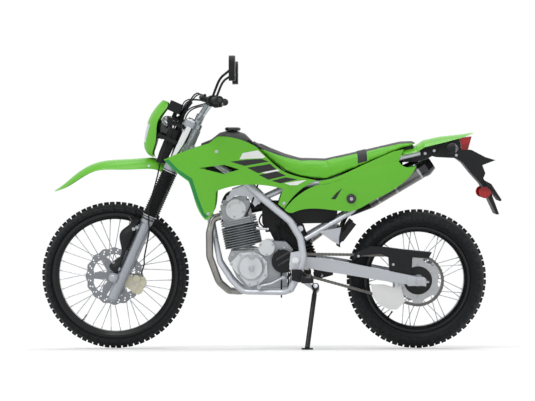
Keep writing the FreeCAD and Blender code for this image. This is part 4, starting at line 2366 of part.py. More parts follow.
STAND_ROOT_PIXEL = (297.3, 276.5)


def stand_bracket():
    """Arm, lug and pin on the frame that carry the stand."""
    pivot, down, axis = stand_axis()
    half = float(size.stand_eye_radius) * 0.5
    gap = half + float(size.bearing_gap)
    inner = pivot - axis * gap
    thick = float(size.stand_eye_radius) * 1.25
    root = spot(*STAND_ROOT_PIXEL, -size.frame_half_width * 0.88)
    return [
        rod("stand_lug", size.stand_eye_radius, inner - axis * thick, inner),
        rod("stand_pin", size.stand_pin_radius, inner - axis * thick * 0.5, pivot + axis * gap),
        rod("stand_pin_head", size.stand_pin_radius * 1.7, pivot + axis * gap, pivot + axis * (gap + thick * 0.3)),
        rod("stand_arm", size.cradle_radius * 0.7, inner - axis * thick * 0.82, root),
    ]


def make_fittings():
    make_footpegs()
    make_foot_controls()
    make_stand()


def check_model():
    """Stop if any object failed, or any sub-part isn't a sound solid."""
    doc.recompute()
    faults = [item.Name for item in doc.Objects if {"Invalid", "Error"} & set(item.State)]
    unsound = [label for label, item in nodes.items() if item.Shape.isNull() or not item.Shape.isValid()]
    empty = [label for label, item in nodes.items() if label not in unsound and not item.Shape.Solids]
    if faults or unsound or empty:
        raise RuntimeError("failed: %s, unsound: %s, empty: %s" % (faults, unsound, empty))


def export_nodes():
    os.makedirs("parts", exist_ok=True)
    for label, item in nodes.items():
        item.Shape.exportStep("parts/%s.step" % label)


def build():
    make_wheels()
    make_fork()
    make_steering_group()
    make_chassis()
    make_chain()
    make_chain_guard()
    make_engine()
    make_bodywork()
    make_fittings()
    check_model()
    export_nodes()


build()
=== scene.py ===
"""Dual sport motorcycle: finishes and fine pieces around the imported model."""

import json
import logging
import math
from dataclasses import dataclass
from enum import Enum
from typing import Callable, Iterable, Sequence

import bmesh
import bpy
from mathutils import Matrix, Vector
from mathutils.bvhtree import BVHTree
from mathutils.geometry import convex_hull_2d


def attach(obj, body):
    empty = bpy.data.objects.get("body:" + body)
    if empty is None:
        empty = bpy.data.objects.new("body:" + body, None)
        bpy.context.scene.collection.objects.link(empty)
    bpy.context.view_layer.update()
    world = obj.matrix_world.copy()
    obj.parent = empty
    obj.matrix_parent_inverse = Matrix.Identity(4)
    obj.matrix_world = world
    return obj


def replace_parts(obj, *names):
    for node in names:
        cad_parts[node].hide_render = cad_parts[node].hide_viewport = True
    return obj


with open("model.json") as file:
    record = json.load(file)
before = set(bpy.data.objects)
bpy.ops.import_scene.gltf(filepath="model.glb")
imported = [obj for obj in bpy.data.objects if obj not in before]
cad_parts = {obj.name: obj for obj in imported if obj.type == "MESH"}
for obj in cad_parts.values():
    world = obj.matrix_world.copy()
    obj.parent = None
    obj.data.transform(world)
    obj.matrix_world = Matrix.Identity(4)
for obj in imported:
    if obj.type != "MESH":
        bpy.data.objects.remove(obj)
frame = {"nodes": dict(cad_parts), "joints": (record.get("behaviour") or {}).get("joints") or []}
LOG = logging.getLogger("motorcycle")
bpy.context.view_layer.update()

MM = 0.001
FULL_TURN = 2 * math.pi
# One pixel of the side view in millimetres, the pixel column of the middle and the row of the ground
PIXEL_MM = 4.52
MIDDLE_COLUMN = 266.0
GROUND_ROW = 349.5
HALF_WHEELBASE = 682.5
RAKE = math.radians(24)
HEAD = Vector((-400.0, 0.0, 820.4))
# Up along the steering axis, forward from it, and the turn of what stands along it
FORK_UP = Vector((math.sin(RAKE), 0, math.cos(RAKE)))
FORK_AHEAD = Vector((-math.cos(RAKE), 0, math.sin(RAKE)))
FORK_TURN = Matrix.Rotation(RAKE, 3, "Y")
ACROSS = Vector((0, 1, 0))
SIDES = (-1, 1)

Vert = bmesh.types.BMVert
Tree = bpy.types.NodeTree
Socket = bpy.types.NodeSocket
Point2 = tuple[float, float]
Point3 = tuple[float, float, float]
Outline = tuple[Point2, ...]


class Body(Enum):
    """The bodies that a piece can ride on."""

    CHASSIS = "chassis"
    STEERING = "steering"
    FRONT_WHEEL = "front_wheel"
    REAR_WHEEL = "rear_wheel"


def upright_to_row() -> Matrix:
    """Give the transform from the upright bike, in millimetres, to the leaning one, in metres.

    Returns:
        A matrix worked out from the rear wheel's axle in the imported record.
    """
    joint = next(j for j in frame["joints"] if j["name"] == "rear_wheel_spin")
    axis, place = Vector(joint["axis"]), Vector(joint["pos_m"])
    if axis.y < 0:
        axis.negate()
    lean = math.atan2(axis.z, axis.y)
    rise = place.z / math.cos(lean)
    shift = Vector((place.x - HALF_WHEELBASE * MM, place.y + rise * math.sin(lean), 0))
    return Matrix.Translation(shift) @ Matrix.Rotation(lean, 4, "X") @ Matrix.Scale(MM, 4)


TO_ROW = upright_to_row()
FROM_ROW = TO_ROW.inverted()


def spot(column: float, row: float, side: float = 0.0) -> Vector:
    """Give a point of the side view.

    Args:
        column: Pixel column.
        row: Pixel row.
        side: Millimetres to the right of the middle plane.

    Returns:
        The point on the upright bike, in millimetres.
    """
    return Vector(((column - MIDDLE_COLUMN) * PIXEL_MM, side, (GROUND_ROW - row) * PIXEL_MM))


def box_around(points: Sequence[Vector]) -> tuple[Vector, Vector]:
    """Give the two corners of the box around some points."""
    low = Vector([min(point[n] for point in points) for n in range(3)])
    high = Vector([max(point[n] for point in points) for n in range(3)])
    return low, high


def facets(name: str) -> Iterable[tuple[bpy.types.MeshPolygon, Vector, Vector]]:
    """Give each face of a CAD node, with its centre and normal on the upright bike."""
    turn = FROM_ROW.to_3x3().normalized()
    for face in frame["nodes"][name].data.polygons:
        yield face, FROM_ROW @ face.center, turn @ face.normal


def steered(reach: float, side: float, rise: float) -> Vector:
    """Give a point of the steering group.

    Args:
        reach: Millimetres in front of the steering axis.
        side: Millimetres to the right.
        rise: Millimetres up along the steering axis.

    Returns:
        The point on the upright bike, in millimetres.
    """
    return HEAD + FORK_AHEAD * reach + FORK_UP * rise + ACROSS * side


# Finishes


def linear(code: str) -> tuple[float, float, float, float]:
    """Turn an sRGB hex colour to linear light.

    Args:
        code: A colour such as #5CBF2A.

    Returns:
        Red, green, blue and an opaque alpha.
    """
    parts = [int(code[place:place + 2], 16) / 255 for place in (1, 3, 5)]
    red, green, blue = [
        part / 12.92 if part <= 0.04045 else ((part + 0.055) / 1.055) ** 2.4 for part in parts]
    return red, green, blue, 1.0


def add_node(
    tree: Tree, kind: str, settings: dict[str, object] | None = None,
    inputs: dict[object, object] | None = None,
) -> bpy.types.Node:
    """Add a node with its settings, constants and links.

    Args:
        tree: Node tree that takes the node.
        kind: Blender's name of the node type.
        settings: Properties of the node.
        inputs: Socket name or number, with a constant or with the socket to link from.

    Returns:
        The new node.
    """
    node = tree.nodes.new(kind)
    for name, value in (settings or {}).items():
        setattr(node, name, value)
    for name, value in (inputs or {}).items():
        if isinstance(value, Socket):
            tree.links.new(value, node.inputs[name])
        else:
            node.inputs[name].default_value = value
    return node


def empty_tree(owner: bpy.types.Material | bpy.types.World) -> Tree:
    """Give the node tree of a material or of the world, without its nodes."""
    owner.use_nodes = True
    owner.node_tree.nodes.clear()
    return owner.node_tree


def blend(tree: Tree, share: Socket, first: object, second: object) -> Socket:
    """Mix two colours, constants or sockets, by a share from 0 to 1."""
    return add_node(tree, "ShaderNodeMix", {"data_type": "RGBA"}, {0: share, 6: first, 7: second}).outputs[2]


def press(tree: Tree, shader: bpy.types.Node, height: Socket, depth: float, size_mm: float) -> None:
    """Give a shader a relief.

    Args:
        tree: The material's nodes.
        shader: The Principled shader.
        height: Pattern of the relief.
        depth: Strength from 0 to 1.
        size_mm: Height of the relief in millimetres.
    """
    bump = add_node(tree, "ShaderNodeBump", None, {
        "Height": height, "Strength": depth, "Distance": size_mm * MM})
    tree.links.new(bump.outputs[0], shader.inputs["Normal"])


@dataclass(frozen=True)
class Finish:
    """A surface with a fine grain, a slow change of colour and an uneven gloss."""

    name: str
    colour: str
    shade: str
    roughness: float
    metallic: float = 0.0
    ior: float = 1.5
    coat: float = 0.0
    grain_mm: float = 1.2
    grain_depth: float = 0.1
    patch_mm: float = 90.0
    patch_share: float = 0.35
    gloss_spread: float = 0.1
    stretch: tuple[float, float, float] = (1.0, 1.0, 1.0)

    def material(self) -> bpy.types.Material:
        """Give the material, made once and then shared."""
        found = bpy.data.materials.get(self.name)
        if found:
            return found
        made = bpy.data.materials.new(self.name)
        tree = empty_tree(made)
        shader = add_node(tree, "ShaderNodeBsdfPrincipled", None, {
            "Metallic": self.metallic, "IOR": self.ior, "Coat Weight": self.coat, "Coat Roughness": 0.08})
        self.dress(tree, shader)
        add_node(tree, "ShaderNodeOutputMaterial", None, {"Surface": shader.outputs[0]})
        return made

    def noise(self, tree: Tree, size_mm: float, detail: float = 2.0) -> Socket:
        """Add a noise whose spots are of one real size.

        Args:
            tree: The material's nodes.
            size_mm: Width of a spot in millimetres.
            detail: Levels of finer noise.

        Returns:
            The noise's value socket.
        """
        coordinates = add_node(tree, "ShaderNodeTexCoord")
        stretched = add_node(tree, "ShaderNodeMapping", None, {
            "Vector": coordinates.outputs["Object"], "Scale": self.stretch})
        made = add_node(tree, "ShaderNodeTexNoise", None, {
            "Vector": stretched.outputs[0], "Scale": 1.0 / (size_mm * MM), "Detail": detail})
        return made.outputs[0]

    def dress(self, tree: Tree, shader: bpy.types.Node) -> None:
        """Link colour, roughness and bump to the shader.

        Args:
            tree: The material's nodes.
            shader: The Principled shader.
        """
        patches = self.noise(tree, self.patch_mm)
        spread = add_node(tree, "ShaderNodeMapRange", None, {
            "Value": patches, "From Min": 0.35, "From Max": 0.7, "To Min": 0.0, "To Max": self.patch_share})
        mixed = blend(tree, spread.outputs[0], linear(self.colour), linear(self.shade))
        tree.links.new(mixed, shader.inputs["Base Color"])
        grain = self.noise(tree, self.grain_mm, 3.0)
        gloss = add_node(tree, "ShaderNodeMapRange", None, {
            "Value": grain, "From Min": 0.3, "From Max": 0.7,
            "To Min": self.roughness - self.gloss_spread / 2,
            "To Max": self.roughness + self.gloss_spread / 2})
        tree.links.new(gloss.outputs[0], shader.inputs["Roughness"])
        press(tree, shader, grain, self.grain_depth, self.grain_mm)


@dataclass(frozen=True)
class GrainedVinyl(Finish):
    """Seat vinyl pressed with a fine leather grain, black on top where it is worn by the rider."""

    top_colour: str = "#1B1C1F"
    top_share: float = 1.0

    def dress(self, tree: Tree, shader: bpy.types.Node) -> None:
        """Link the two colours, split by the piece's cover attribute, and the pressed grain."""
        cover = add_node(tree, "ShaderNodeAttribute", {"attribute_name": "cover_top"})
        edge = add_node(tree, "ShaderNodeMapRange", None, {
            "Value": cover.outputs["Fac"], "From Min": -0.0004, "From Max": 0.0004,
            "To Min": 0.0, "To Max": self.top_share})
        faded = blend(tree, self.noise(tree, self.patch_mm), linear(self.colour), linear(self.shade))
        mixed = blend(tree, edge.outputs[0], faded, linear(self.top_colour))
        tree.links.new(mixed, shader.inputs["Base Color"])
        coordinates = add_node(tree, "ShaderNodeTexCoord")
        cells = add_node(tree, "ShaderNodeTexVoronoi", {"feature": "DISTANCE_TO_EDGE"}, {
            "Vector": coordinates.outputs["Object"], "Scale": 1.0 / (self.grain_mm * MM)})
        press(tree, shader, cells.outputs[0], self.grain_depth, self.grain_mm)
        shader.inputs["Roughness"].default_value = self.roughness


@dataclass(frozen=True)
class ClearLens(Finish):
    """Moulded lens with vertical flutes on its inner side."""

    flute_mm: float = 4.0
    clarity: float = 0.85

    def dress(self, tree: Tree, shader: bpy.types.Node) -> None:
        """Link the flutes to the lens and let light through."""
        coordinates = add_node(tree, "ShaderNodeTexCoord")
        waves = add_node(tree, "ShaderNodeTexWave", {"bands_direction": "Y"}, {
            "Vector": coordinates.outputs["Object"], "Scale": 1.0 / (self.flute_mm * MM * 6.28)})
        press(tree, shader, waves.outputs[1], self.grain_depth, 1.0)
        tint = blend(tree, waves.outputs[1], linear(self.colour), linear(self.shade))
        tree.links.new(tint, shader.inputs["Base Color"])
        shader.inputs["Roughness"].default_value = self.roughness
        shader.inputs["Transmission Weight"].default_value = self.clarity


# Injection moulded polypropylene, dyed right through: bright, with a soft gloss
LIME = Finish(
    "polypropylene_lime", "#67BE2B", "#5AB126", 0.36, ior=1.42, coat=0.15, grain_mm=0.9,
    grain_depth=0.05, patch_mm=260)
DARK_GREEN = Finish("polypropylene_dark_green", "#0E8740", "#0A7436", 0.4, grain_mm=0.9, grain_depth=0.05)
WHITE_FILM = Finish("vinyl_film_white", "#F2F3F2", "#E6E8E8", 0.32, grain_mm=2.5, grain_depth=0.02)
BLACK_FILM = Finish("vinyl_film_black", "#101012", "#19191C", 0.3, grain_mm=2.5, grain_depth=0.02)
# Cooling fins with the cast's rough skin, in a darker grey that is painted shade for the shadows between the
# fins
FIN_ALUMINIUM_SHADED = Finish(
    "aluminium_fins_painted_shade", "#85898D", "#63676A", 0.5, 0.5, grain_mm=1.3, grain_depth=0.3, patch_mm=30)
# Undyed nylon of the chain's guide
NATURAL_PLASTIC = Finish("polyamide_natural", "#E4E5E4", "#D6D8D8", 0.5, grain_mm=1.0, grain_depth=0.15)
# Sparked mould texture on black ABS and nylon: dull with a fine grit
BLACK_PLASTIC = Finish(
    "abs_black_textured", "#17181A", "#202124", 0.5, ior=1.33, grain_mm=0.8, grain_depth=0.3,
    gloss_spread=0.16)
GLOSS_BLACK = Finish("abs_black_gloss", "#141518", "#1B1C20", 0.16, grain_mm=3, grain_depth=0.02, coat=0.4)
# Silver acrylic enamel over steel tube: a light grey with small metallic flakes
FRAME_SILVER = Finish(
    "enamel_silver", "#CDD1D8", "#BABEC6", 0.36, 0.35, grain_mm=0.7, grain_depth=0.06, coat=0.3)
BLACK_STEEL = Finish(
    "steel_black_painted", "#141517", "#1B1C1E", 0.38, ior=1.36, grain_mm=1.0, grain_depth=0.12)
# Pressure die cast aluminium with clear paint: satin, slightly pitted
CAST_ALUMINIUM = Finish(
    "aluminium_cast", "#A0A4A8", "#83878B", 0.4, 0.55, grain_mm=1.1, grain_depth=0.28, patch_mm=40)
PALE_COVER = Finish(
    "aluminium_cast_pale", "#D8DBDE", "#BFC3C6", 0.36, 0.4, grain_mm=1.0, grain_depth=0.2, patch_mm=50)
FORK_SILVER = Finish(
    "aluminium_painted_slider", "#A8ADB4", "#989DA5", 0.3, 0.6, grain_mm=0.9, grain_depth=0.08)
ARM_SILVER = Finish(
    "aluminium_extruded", "#BCC0C6", "#A9ADB4", 0.34, 0.6, grain_mm=0.8, grain_depth=0.1,
    stretch=(0.05, 1, 1))
CHROME = Finish(
    "steel_chromed", "#E4E6E8", "#D2D5D8", 0.1, 1.0, grain_mm=4, grain_depth=0.01, gloss_spread=0.05)
BLACK_RIM = Finish(
    "aluminium_black_anodised", "#101113", "#18191C", 0.28, 0.3, grain_mm=1.2, grain_depth=0.05)
HUB_SILVER = Finish("aluminium_hub", "#BABDC1", "#A0A3A7", 0.4, 0.7, grain_mm=1.0, grain_depth=0.2)
SPOKE_STEEL = Finish("steel_zinc_plated", "#B9BCC1", "#A3A6AB", 0.28, 0.9, grain_mm=1.5, grain_depth=0.05)
DISC_STEEL = Finish(
    "steel_disc_ground", "#888B90", "#74777C", 0.32, 0.85, grain_mm=0.9, grain_depth=0.12, patch_mm=25)
CHAIN_STEEL = Finish("steel_chain_oiled", "#6E6C69", "#4A4846", 0.34, 0.85, grain_mm=1.0, grain_depth=0.15)
# Rolled stainless sheet brushed along the can, warm from heat
MUFFLER_STEEL = Finish(
    "stainless_brushed", "#858584", "#6C6C6B", 0.34, 0.9, grain_mm=0.7, grain_depth=0.16,
    stretch=(0.06, 1, 0.1), patch_mm=120)
HEADER_STEEL = Finish(
    "stainless_header_heated", "#A3A19D", "#7B7873", 0.26, 0.92, grain_mm=0.8, grain_depth=0.06,
    patch_mm=70)
TYRE_RUBBER = Finish(
    "rubber_tyre", "#141618", "#1D1F22", 0.62, ior=1.32, grain_mm=1.4, grain_depth=0.35, patch_mm=60,
    gloss_spread=0.2)
SOFT_RUBBER = Finish("rubber_moulded", "#101113", "#191A1C", 0.52, ior=1.34, grain_mm=0.9, grain_depth=0.2)
CALIPER_CREAM = Finish(
    "aluminium_caliper_cream", "#CFCBB6", "#BDB9A4", 0.42, 0.3, grain_mm=1.0, grain_depth=0.2)
RED_SPRING = Finish("steel_spring_red", "#C02418", "#A81E14", 0.3, grain_mm=1.0, grain_depth=0.05, coat=0.3)
SEAT_VINYL = GrainedVinyl(
    "vinyl_leather_grain", "#67BE2B", "#5CB427", 0.5, ior=1.4, grain_mm=1.6, grain_depth=0.3, patch_mm=200)
# Acrylic lenses
CLEAR = ClearLens("acrylic_clear", "#EEF2F4", "#DDE3E7", 0.08, ior=1.49, grain_depth=0.3)
RED_LENS = ClearLens("acrylic_red", "#C4181C", "#8E0F14", 0.12, ior=1.49, grain_depth=0.35, clarity=0.35)
# Woven nylon webbing
STRAP = Finish("webbing_black", "#1B1C1F", "#242529", 0.7, grain_mm=2.2, grain_depth=0.5)
SPROCKET_STEEL = Finish(
    "steel_sprocket", "#B2B4B7", "#989A9D", 0.3, 0.85, grain_mm=0.9, grain_depth=0.1, patch_mm=30)
# Lamp glass with the reflector's shine behind it
LAMP_GLASS = ClearLens(
    "glass_lamp", "#DCE3E8", "#AEB8C0", 0.06, ior=1.5, metallic=0.55, grain_depth=0.25, clarity=0.0)
MIRROR = Finish(
    "glass_mirror", "#E9EDF0", "#DFE4E8", 0.03, 1.0, grain_mm=8, grain_depth=0.0, gloss_spread=0.01)
SCREEN = Finish("glass_display", "#2A3236", "#353E42", 0.12, grain_mm=5, grain_depth=0.01, coat=0.6)

NODE_FINISHES: tuple[tuple[Finish, tuple[str, ...]], ...] = (
    (LIME, ("front_fender", "headlight_cowl", "shrouds", "side_covers", "tail_cover")),
    (BLACK_PLASTIC, (
        "airbox", "chain_guard", "fork_guards", "fuel_tank", "hand_controls", "headlight", "inner_fender",
        "meter", "mirrors", "rear_mudguard", "sprocket_cover", "front_indicators", "rear_indicators")),
    (SOFT_RUBBER, ("fork_gaiters", "grips", "control_cables", "throttle_body")),
    (FRAME_SILVER, ("main_frame", "subframe")),
    (BLACK_STEEL, ("footpegs", "foot_controls", "side_stand_leg")),
    (ARM_SILVER, ("swingarm", "handlebar")),
    (FORK_SILVER, ("fork_sliders", "lower_clamp", "upper_clamp")),
    (CHROME, ("fork_tubes",)),
    (CAST_ALUMINIUM, ("crankcase", "cylinder_head", "rear_caliper")),
    # The cylinder's darker aluminium is painted shade between its fins
    (FIN_ALUMINIUM_SHADED, ("cylinder",)),
    (PALE_COVER, ("engine_covers",)),
    (CALIPER_CREAM, ("front_caliper",)),
    (BLACK_RIM, ("front_rim", "rear_rim")),
    (HUB_SILVER, ("front_hub", "rear_hub", "front_axle", "rear_axle")),
    (SPOKE_STEEL, ("front_spokes", "rear_spokes")),
    (DISC_STEEL, ("front_disc", "rear_disc", "rear_sprocket")),
    (CHAIN_STEEL, ("chain",)),
    (HEADER_STEEL, ("exhaust_header",)),
    (MUFFLER_STEEL, ("muffler",)),
    (TYRE_RUBBER, ("front_tyre", "rear_tyre")),
    (BLACK_STEEL, ("rear_shock",)),
    (GLOSS_BLACK, ("fuel_cap",)),
    (SEAT_VINYL, ("seat",)),
    (RED_LENS, ("tail_light", "side_reflectors")),
)


def dress_nodes() -> None:
    """Give every CAD node its finish."""
    for finish, names in NODE_FINISHES:
        for name in names:
            mesh = frame["nodes"][name].data
            mesh.materials.clear()
            mesh.materials.append(finish.material())
            LOG.info("finish %s on node %s", finish.name, name)


def part_of_node(name: str, finish: Finish, chosen: Callable[[Vector, Vector], bool]) -> None:
    """Give some faces of a CAD node another finish.

    Args:
        name: The node.
        finish: Finish of the chosen faces.
        chosen: Tells from a face's centre and normal, on the upright bike, whether it is chosen.
    """
    mesh = frame["nodes"][name].data
    mesh.materials.append(finish.material())
    number = len(mesh.materials) - 1
    for face, centre, normal in facets(name):
        if chosen(centre, normal):
            face.material_index = number


# Making pieces


class Piece:
    """A mesh on the upright bike, in millimetres, that becomes one object."""

    def __init__(self, name: str, finish: Finish, body: Body) -> None:
        """Start an empty mesh.

        Args:
            name: The object's name.
            finish: Its material.
            body: The body that it rides on.
        """
        self.name, self.finish, self.body = name, finish, body
        self.mesh = bmesh.new()

    def place(self, verts: Iterable[Vert], matrix: Matrix) -> None:
        """Move new vertices to their place."""
        bmesh.ops.transform(self.mesh, matrix=matrix, verts=list(verts))

    def face_out(self, verts: Iterable[Vert] | None = None) -> None:
        """Turn the faces at some vertices outward, or all faces."""
        faces = self.mesh.faces[:] if verts is None else list({f for vert in verts for f in vert.link_faces})
        bmesh.ops.recalc_face_normals(self.mesh, faces=faces)

    def carry(self, faces: Sequence[bmesh.types.BMFace], depth: Vector) -> list[Vert]:
        """Carry faces along a vector, with walls behind them, and give the moved vertices."""
        grown = bmesh.ops.extrude_face_region(self.mesh, geom=faces)["geom"]
        moved = [item for item in grown if isinstance(item, Vert)]
        bmesh.ops.translate(self.mesh, verts=moved, vec=depth)
        return moved

    def round_edges(
        self, verts: Iterable[Vert], width: float, segments: int = 2,
    ) -> list[bmesh.types.BMFace]:
        """Round every edge at some vertices.

        Args:
            verts: The vertices.
            width: Width of the rounding.
            segments: Steps of the rounding.

        Returns:
            The new faces.
        """
        edges = list({edge for vert in verts for edge in vert.link_edges})
        return bmesh.ops.bevel(
            self.mesh, geom=edges, offset=width, offset_type="OFFSET", affect="EDGES", segments=segments,
            profile=0.5, material=-1)["faces"]

    def box(
        self, centre: Vector, size: Sequence[float], turn: Matrix | None = None, bevel: float = 1.0,
    ) -> list[Vert]:
        """Add a block with rounded edges.

        Args:
            centre: Its middle.
            size: Its length, width and height.
            turn: Rotation about its middle.
            bevel: Width of its rounded edges.

        Returns:
            The block's vertices.
        """
        made = bmesh.ops.create_cube(self.mesh, size=1.0)["verts"]
        self.place(made, Matrix.Diagonal((*size, 1.0)))
        if bevel:
            rounded = self.round_edges(made, bevel)
            made = list({vert for face in rounded for vert in face.verts})
            linked = {vert for first in made for face in first.link_faces for vert in face.verts}
            made = list(linked)
        self.place(made, Matrix.Translation(centre) @ (turn.to_4x4() if turn else Matrix.Identity(4)))
        return made

    def prism(self, outline: Sequence[Vector], depth: Vector, bevel: float = 1.0) -> None:
        """Add a flat outline carried along a vector.

        Args:
            outline: Its corners.
            depth: Where the other side lies from the first.
            bevel: Width of its rounded edges.
        """
        corners = [self.mesh.verts.new(corner) for corner in outline]
        verts = corners + self.carry([self.mesh.faces.new(corners)], depth)
        self.face_out(verts)
        if bevel:
            self.round_edges(verts, bevel)

    def panel(self, outline: Sequence[Point2], side: float, depth: float, bevel: float = 1.0) -> None:
        """Add a plate whose outline is given by pixels of the side view.

        Args:
            outline: Its pixel corners.
            side: Millimetres to the right at which it starts.
            depth: Millimetres to the right that it goes on.
            bevel: Width of its rounded edges.
        """
        self.prism([spot(*place, side) for place in outline], Vector((0, depth, 0)), bevel)

    def lathe(
        self, profile: Sequence[Point2], start: Vector, axis: Vector, steps: int = 32,
    ) -> list[Vert]:
        """Add a turned shape.

        Args:
            profile: Radius and distance along the axis, from one end to the other.
            start: Where the axis starts.
            axis: Its direction.
            steps: Faces around it.

        Returns:
            The new vertices.
        """
        before = set(self.mesh.verts)
        chain = [self.mesh.verts.new((radius, 0, along)) for radius, along in profile]
        edges = [self.mesh.edges.new(pair) for pair in zip(chain, chain[1:])]
        bmesh.ops.spin(
            self.mesh, geom=chain + edges, cent=(0, 0, 0), axis=(0, 0, 1), dvec=(0, 0, 0),
            angle=FULL_TURN, steps=steps, use_merge=True, use_normal_flip=False, use_duplicate=False)
        made = [vert for vert in self.mesh.verts if vert not in before]
        bmesh.ops.remove_doubles(self.mesh, verts=made, dist=0.001)
        made = [vert for vert in self.mesh.verts if vert not in before]
        self.face_out(made)
        turn = Vector((0, 0, 1)).rotation_difference(axis.normalized()).to_matrix().to_4x4()
        self.place(made, Matrix.Translation(start) @ turn)
        return made

    def plate(self, loops: Sequence[Sequence[Vector]], depth: Vector) -> None:
        """Add a flat plate with holes.

        Args:
            loops: Corners of the outline and of each hole.
            depth: Where its other side lies.
        """
        edges = []
        for loop in loops:
            verts = [self.mesh.verts.new(corner) for corner in loop]
            edges += [self.mesh.edges.new((verts[n - 1], verts[n])) for n in range(len(verts))]
        filled = bmesh.ops.triangle_fill(self.mesh, use_beauty=True, use_dissolve=False, edges=edges)
        faces = [item for item in filled["geom"] if isinstance(item, bmesh.types.BMFace)]
        self.carry(faces, depth)
        self.face_out()

    def bolt(self, place: Vector, axis: Vector, radius: float, height: float | None = None) -> None:
        """Add a round bolt head with a washer and a hexagon socket.

        Args:
            place: Where it sits.
            axis: Direction out of the surface.
            radius: Radius of the head.
            height: Height of the head.
        """
        tall = height or radius * 0.7
        socket = radius * 0.5
        self.lathe((
            (0.0, -tall), (radius * 1.3, -tall), (radius * 1.3, tall * 0.2), (radius, tall * 0.25),
            (radius, tall * 0.8), (radius * 0.85, tall), (socket, tall), (socket, tall * 0.5),
            (0.0, tall * 0.4)), place, axis, 12)

    def ring_copies(self, verts: Sequence[Vert], centre: Vector, axis: Vector, count: int) -> None:
        """Repeat what the vertices make around an axis.

        Args:
            verts: Vertices of the first one.
            centre: A point on the axis.
            axis: Its direction.
            count: How many there are in all.
        """
        chosen = set(verts)
        faces = list({face for vert in chosen for face in vert.link_faces})
        edges = list({edge for face in faces for edge in face.edges})
        step = FULL_TURN / count
        bmesh.ops.spin(
            self.mesh, geom=list(chosen) + edges + faces, cent=centre, axis=axis, dvec=(0, 0, 0),
            angle=step * (count - 1), steps=count - 1, use_duplicate=True)

    def done(self, smooth: float = 30.0) -> bpy.types.Object:
        """Make the object, in its place on the leaning bike.

        Args:
            smooth: Edges sharper than this many degrees stay sharp.

        Returns:
            The object, riding on its body.
        """
        bmesh.ops.transform(self.mesh, matrix=TO_ROW, verts=self.mesh.verts)
        data = bpy.data.meshes.new(self.name)
        self.mesh.to_mesh(data)
        self.mesh.free()
        data.materials.append(self.finish.material())
        return settle(data, self.name, self.body, smooth)


def new_object(name: str, data: bpy.types.ID) -> bpy.types.Object:
    """Make an object with its data and put it in the scene."""
    made = bpy.data.objects.new(name, data)
    bpy.context.scene.collection.objects.link(made)
    return made


def evaluated(made: bpy.types.Object) -> bpy.types.Mesh:
    """Give a new mesh of what an object's curve or modifiers give."""
    bpy.context.view_layer.update()
    graph = bpy.context.evaluated_depsgraph_get()
    return bpy.data.meshes.new_from_object(made.evaluated_get(graph))


def settle(data: bpy.types.Mesh, name: str, body: Body, smooth: float = 30.0) -> bpy.types.Object:
    """Put a finished mesh in the scene.

    Args:
        data: The mesh, in its place.
        name: The object's name.
        body: The body that it rides on.
        smooth: Edges sharper than this many degrees stay sharp.

    Returns:
        The object.
    """
    made = new_object(name, data)
    data.shade_smooth()
    data.set_sharp_from_angle(angle=math.radians(smooth))
    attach(made, body.value)
    LOG.info("piece %s with %d faces on %s", name, len(data.polygons), body.value)
    return made


def tube_piece(
    name: str, finish: Finish, body: Body, runs: Sequence[tuple[float, Sequence[Vector]]],
) -> bpy.types.Object:
    """Make round hoses, cables or bent bars as one object.

    Args:
        name: The object's name.
        finish: Its material.
        body: The body that it rides on.
        runs: Radius and points of each run, in millimetres on the upright bike.

    Returns:
        The object.
    """
    curve = bpy.data.curves.new(name, "CURVE")
    curve.dimensions = "3D"
    curve.bevel_depth = 1.0
    curve.bevel_resolution = 3
    curve.resolution_u = 8
    curve.use_fill_caps = True
    for radius, points in runs:
        line = curve.splines.new("NURBS")
        line.points.add(len(points) - 1)
        for knot, place in zip(line.points, points):
            knot.co = (*place, 1.0)
            knot.radius = radius
        line.order_u = 3
        line.use_endpoint_u = True
    holder = new_object(name + "_line", curve)
    data = evaluated(holder)
    data.name = name
    bpy.data.objects.remove(holder)
    data.transform(TO_ROW)
    data.materials.clear()
    data.materials.append(finish.material())
    return settle(data, name, body, 50)


# Reading the CAD nodes


def node_points(name: str, side: int = 0) -> list[Vector]:
    """Give a CAD node's vertices on the upright bike.

    Args:
        name: The node.
        side: -1 or 1 for the left or right half of it, or 0 for all.

    Returns:
        The points, in millimetres.
    """
    points = [FROM_ROW @ vert.co for vert in frame["nodes"][name].data.vertices]
    return [point for point in points if not side or point.y * side > 0]


def span(name: str, side: int = 0) -> tuple[Vector, Vector]:
    """Give the two corners of the box around a node, or around one half of it."""
    return box_around(node_points(name, side))


def axle(end: str) -> Vector:
    """Give the middle of a wheel's axle on the upright bike."""
    joint = next(j for j in frame["joints"] if j["name"] == end + "_wheel_spin")
    return FROM_ROW @ Vector(joint["pos_m"])


def polar(centre: Vector, radius: float, angle: float) -> Vector:
    """Give a point at an angle on a circle that is seen round from the side."""
    return centre + Vector((math.cos(angle), 0, math.sin(angle))) * radius


def ring(centre: Vector, radius: float, count: int) -> list[Vector]:
    """Give the corners of a circle that is seen round from the side."""
    return [polar(centre, radius, FULL_TURN * number / count) for number in range(count)]


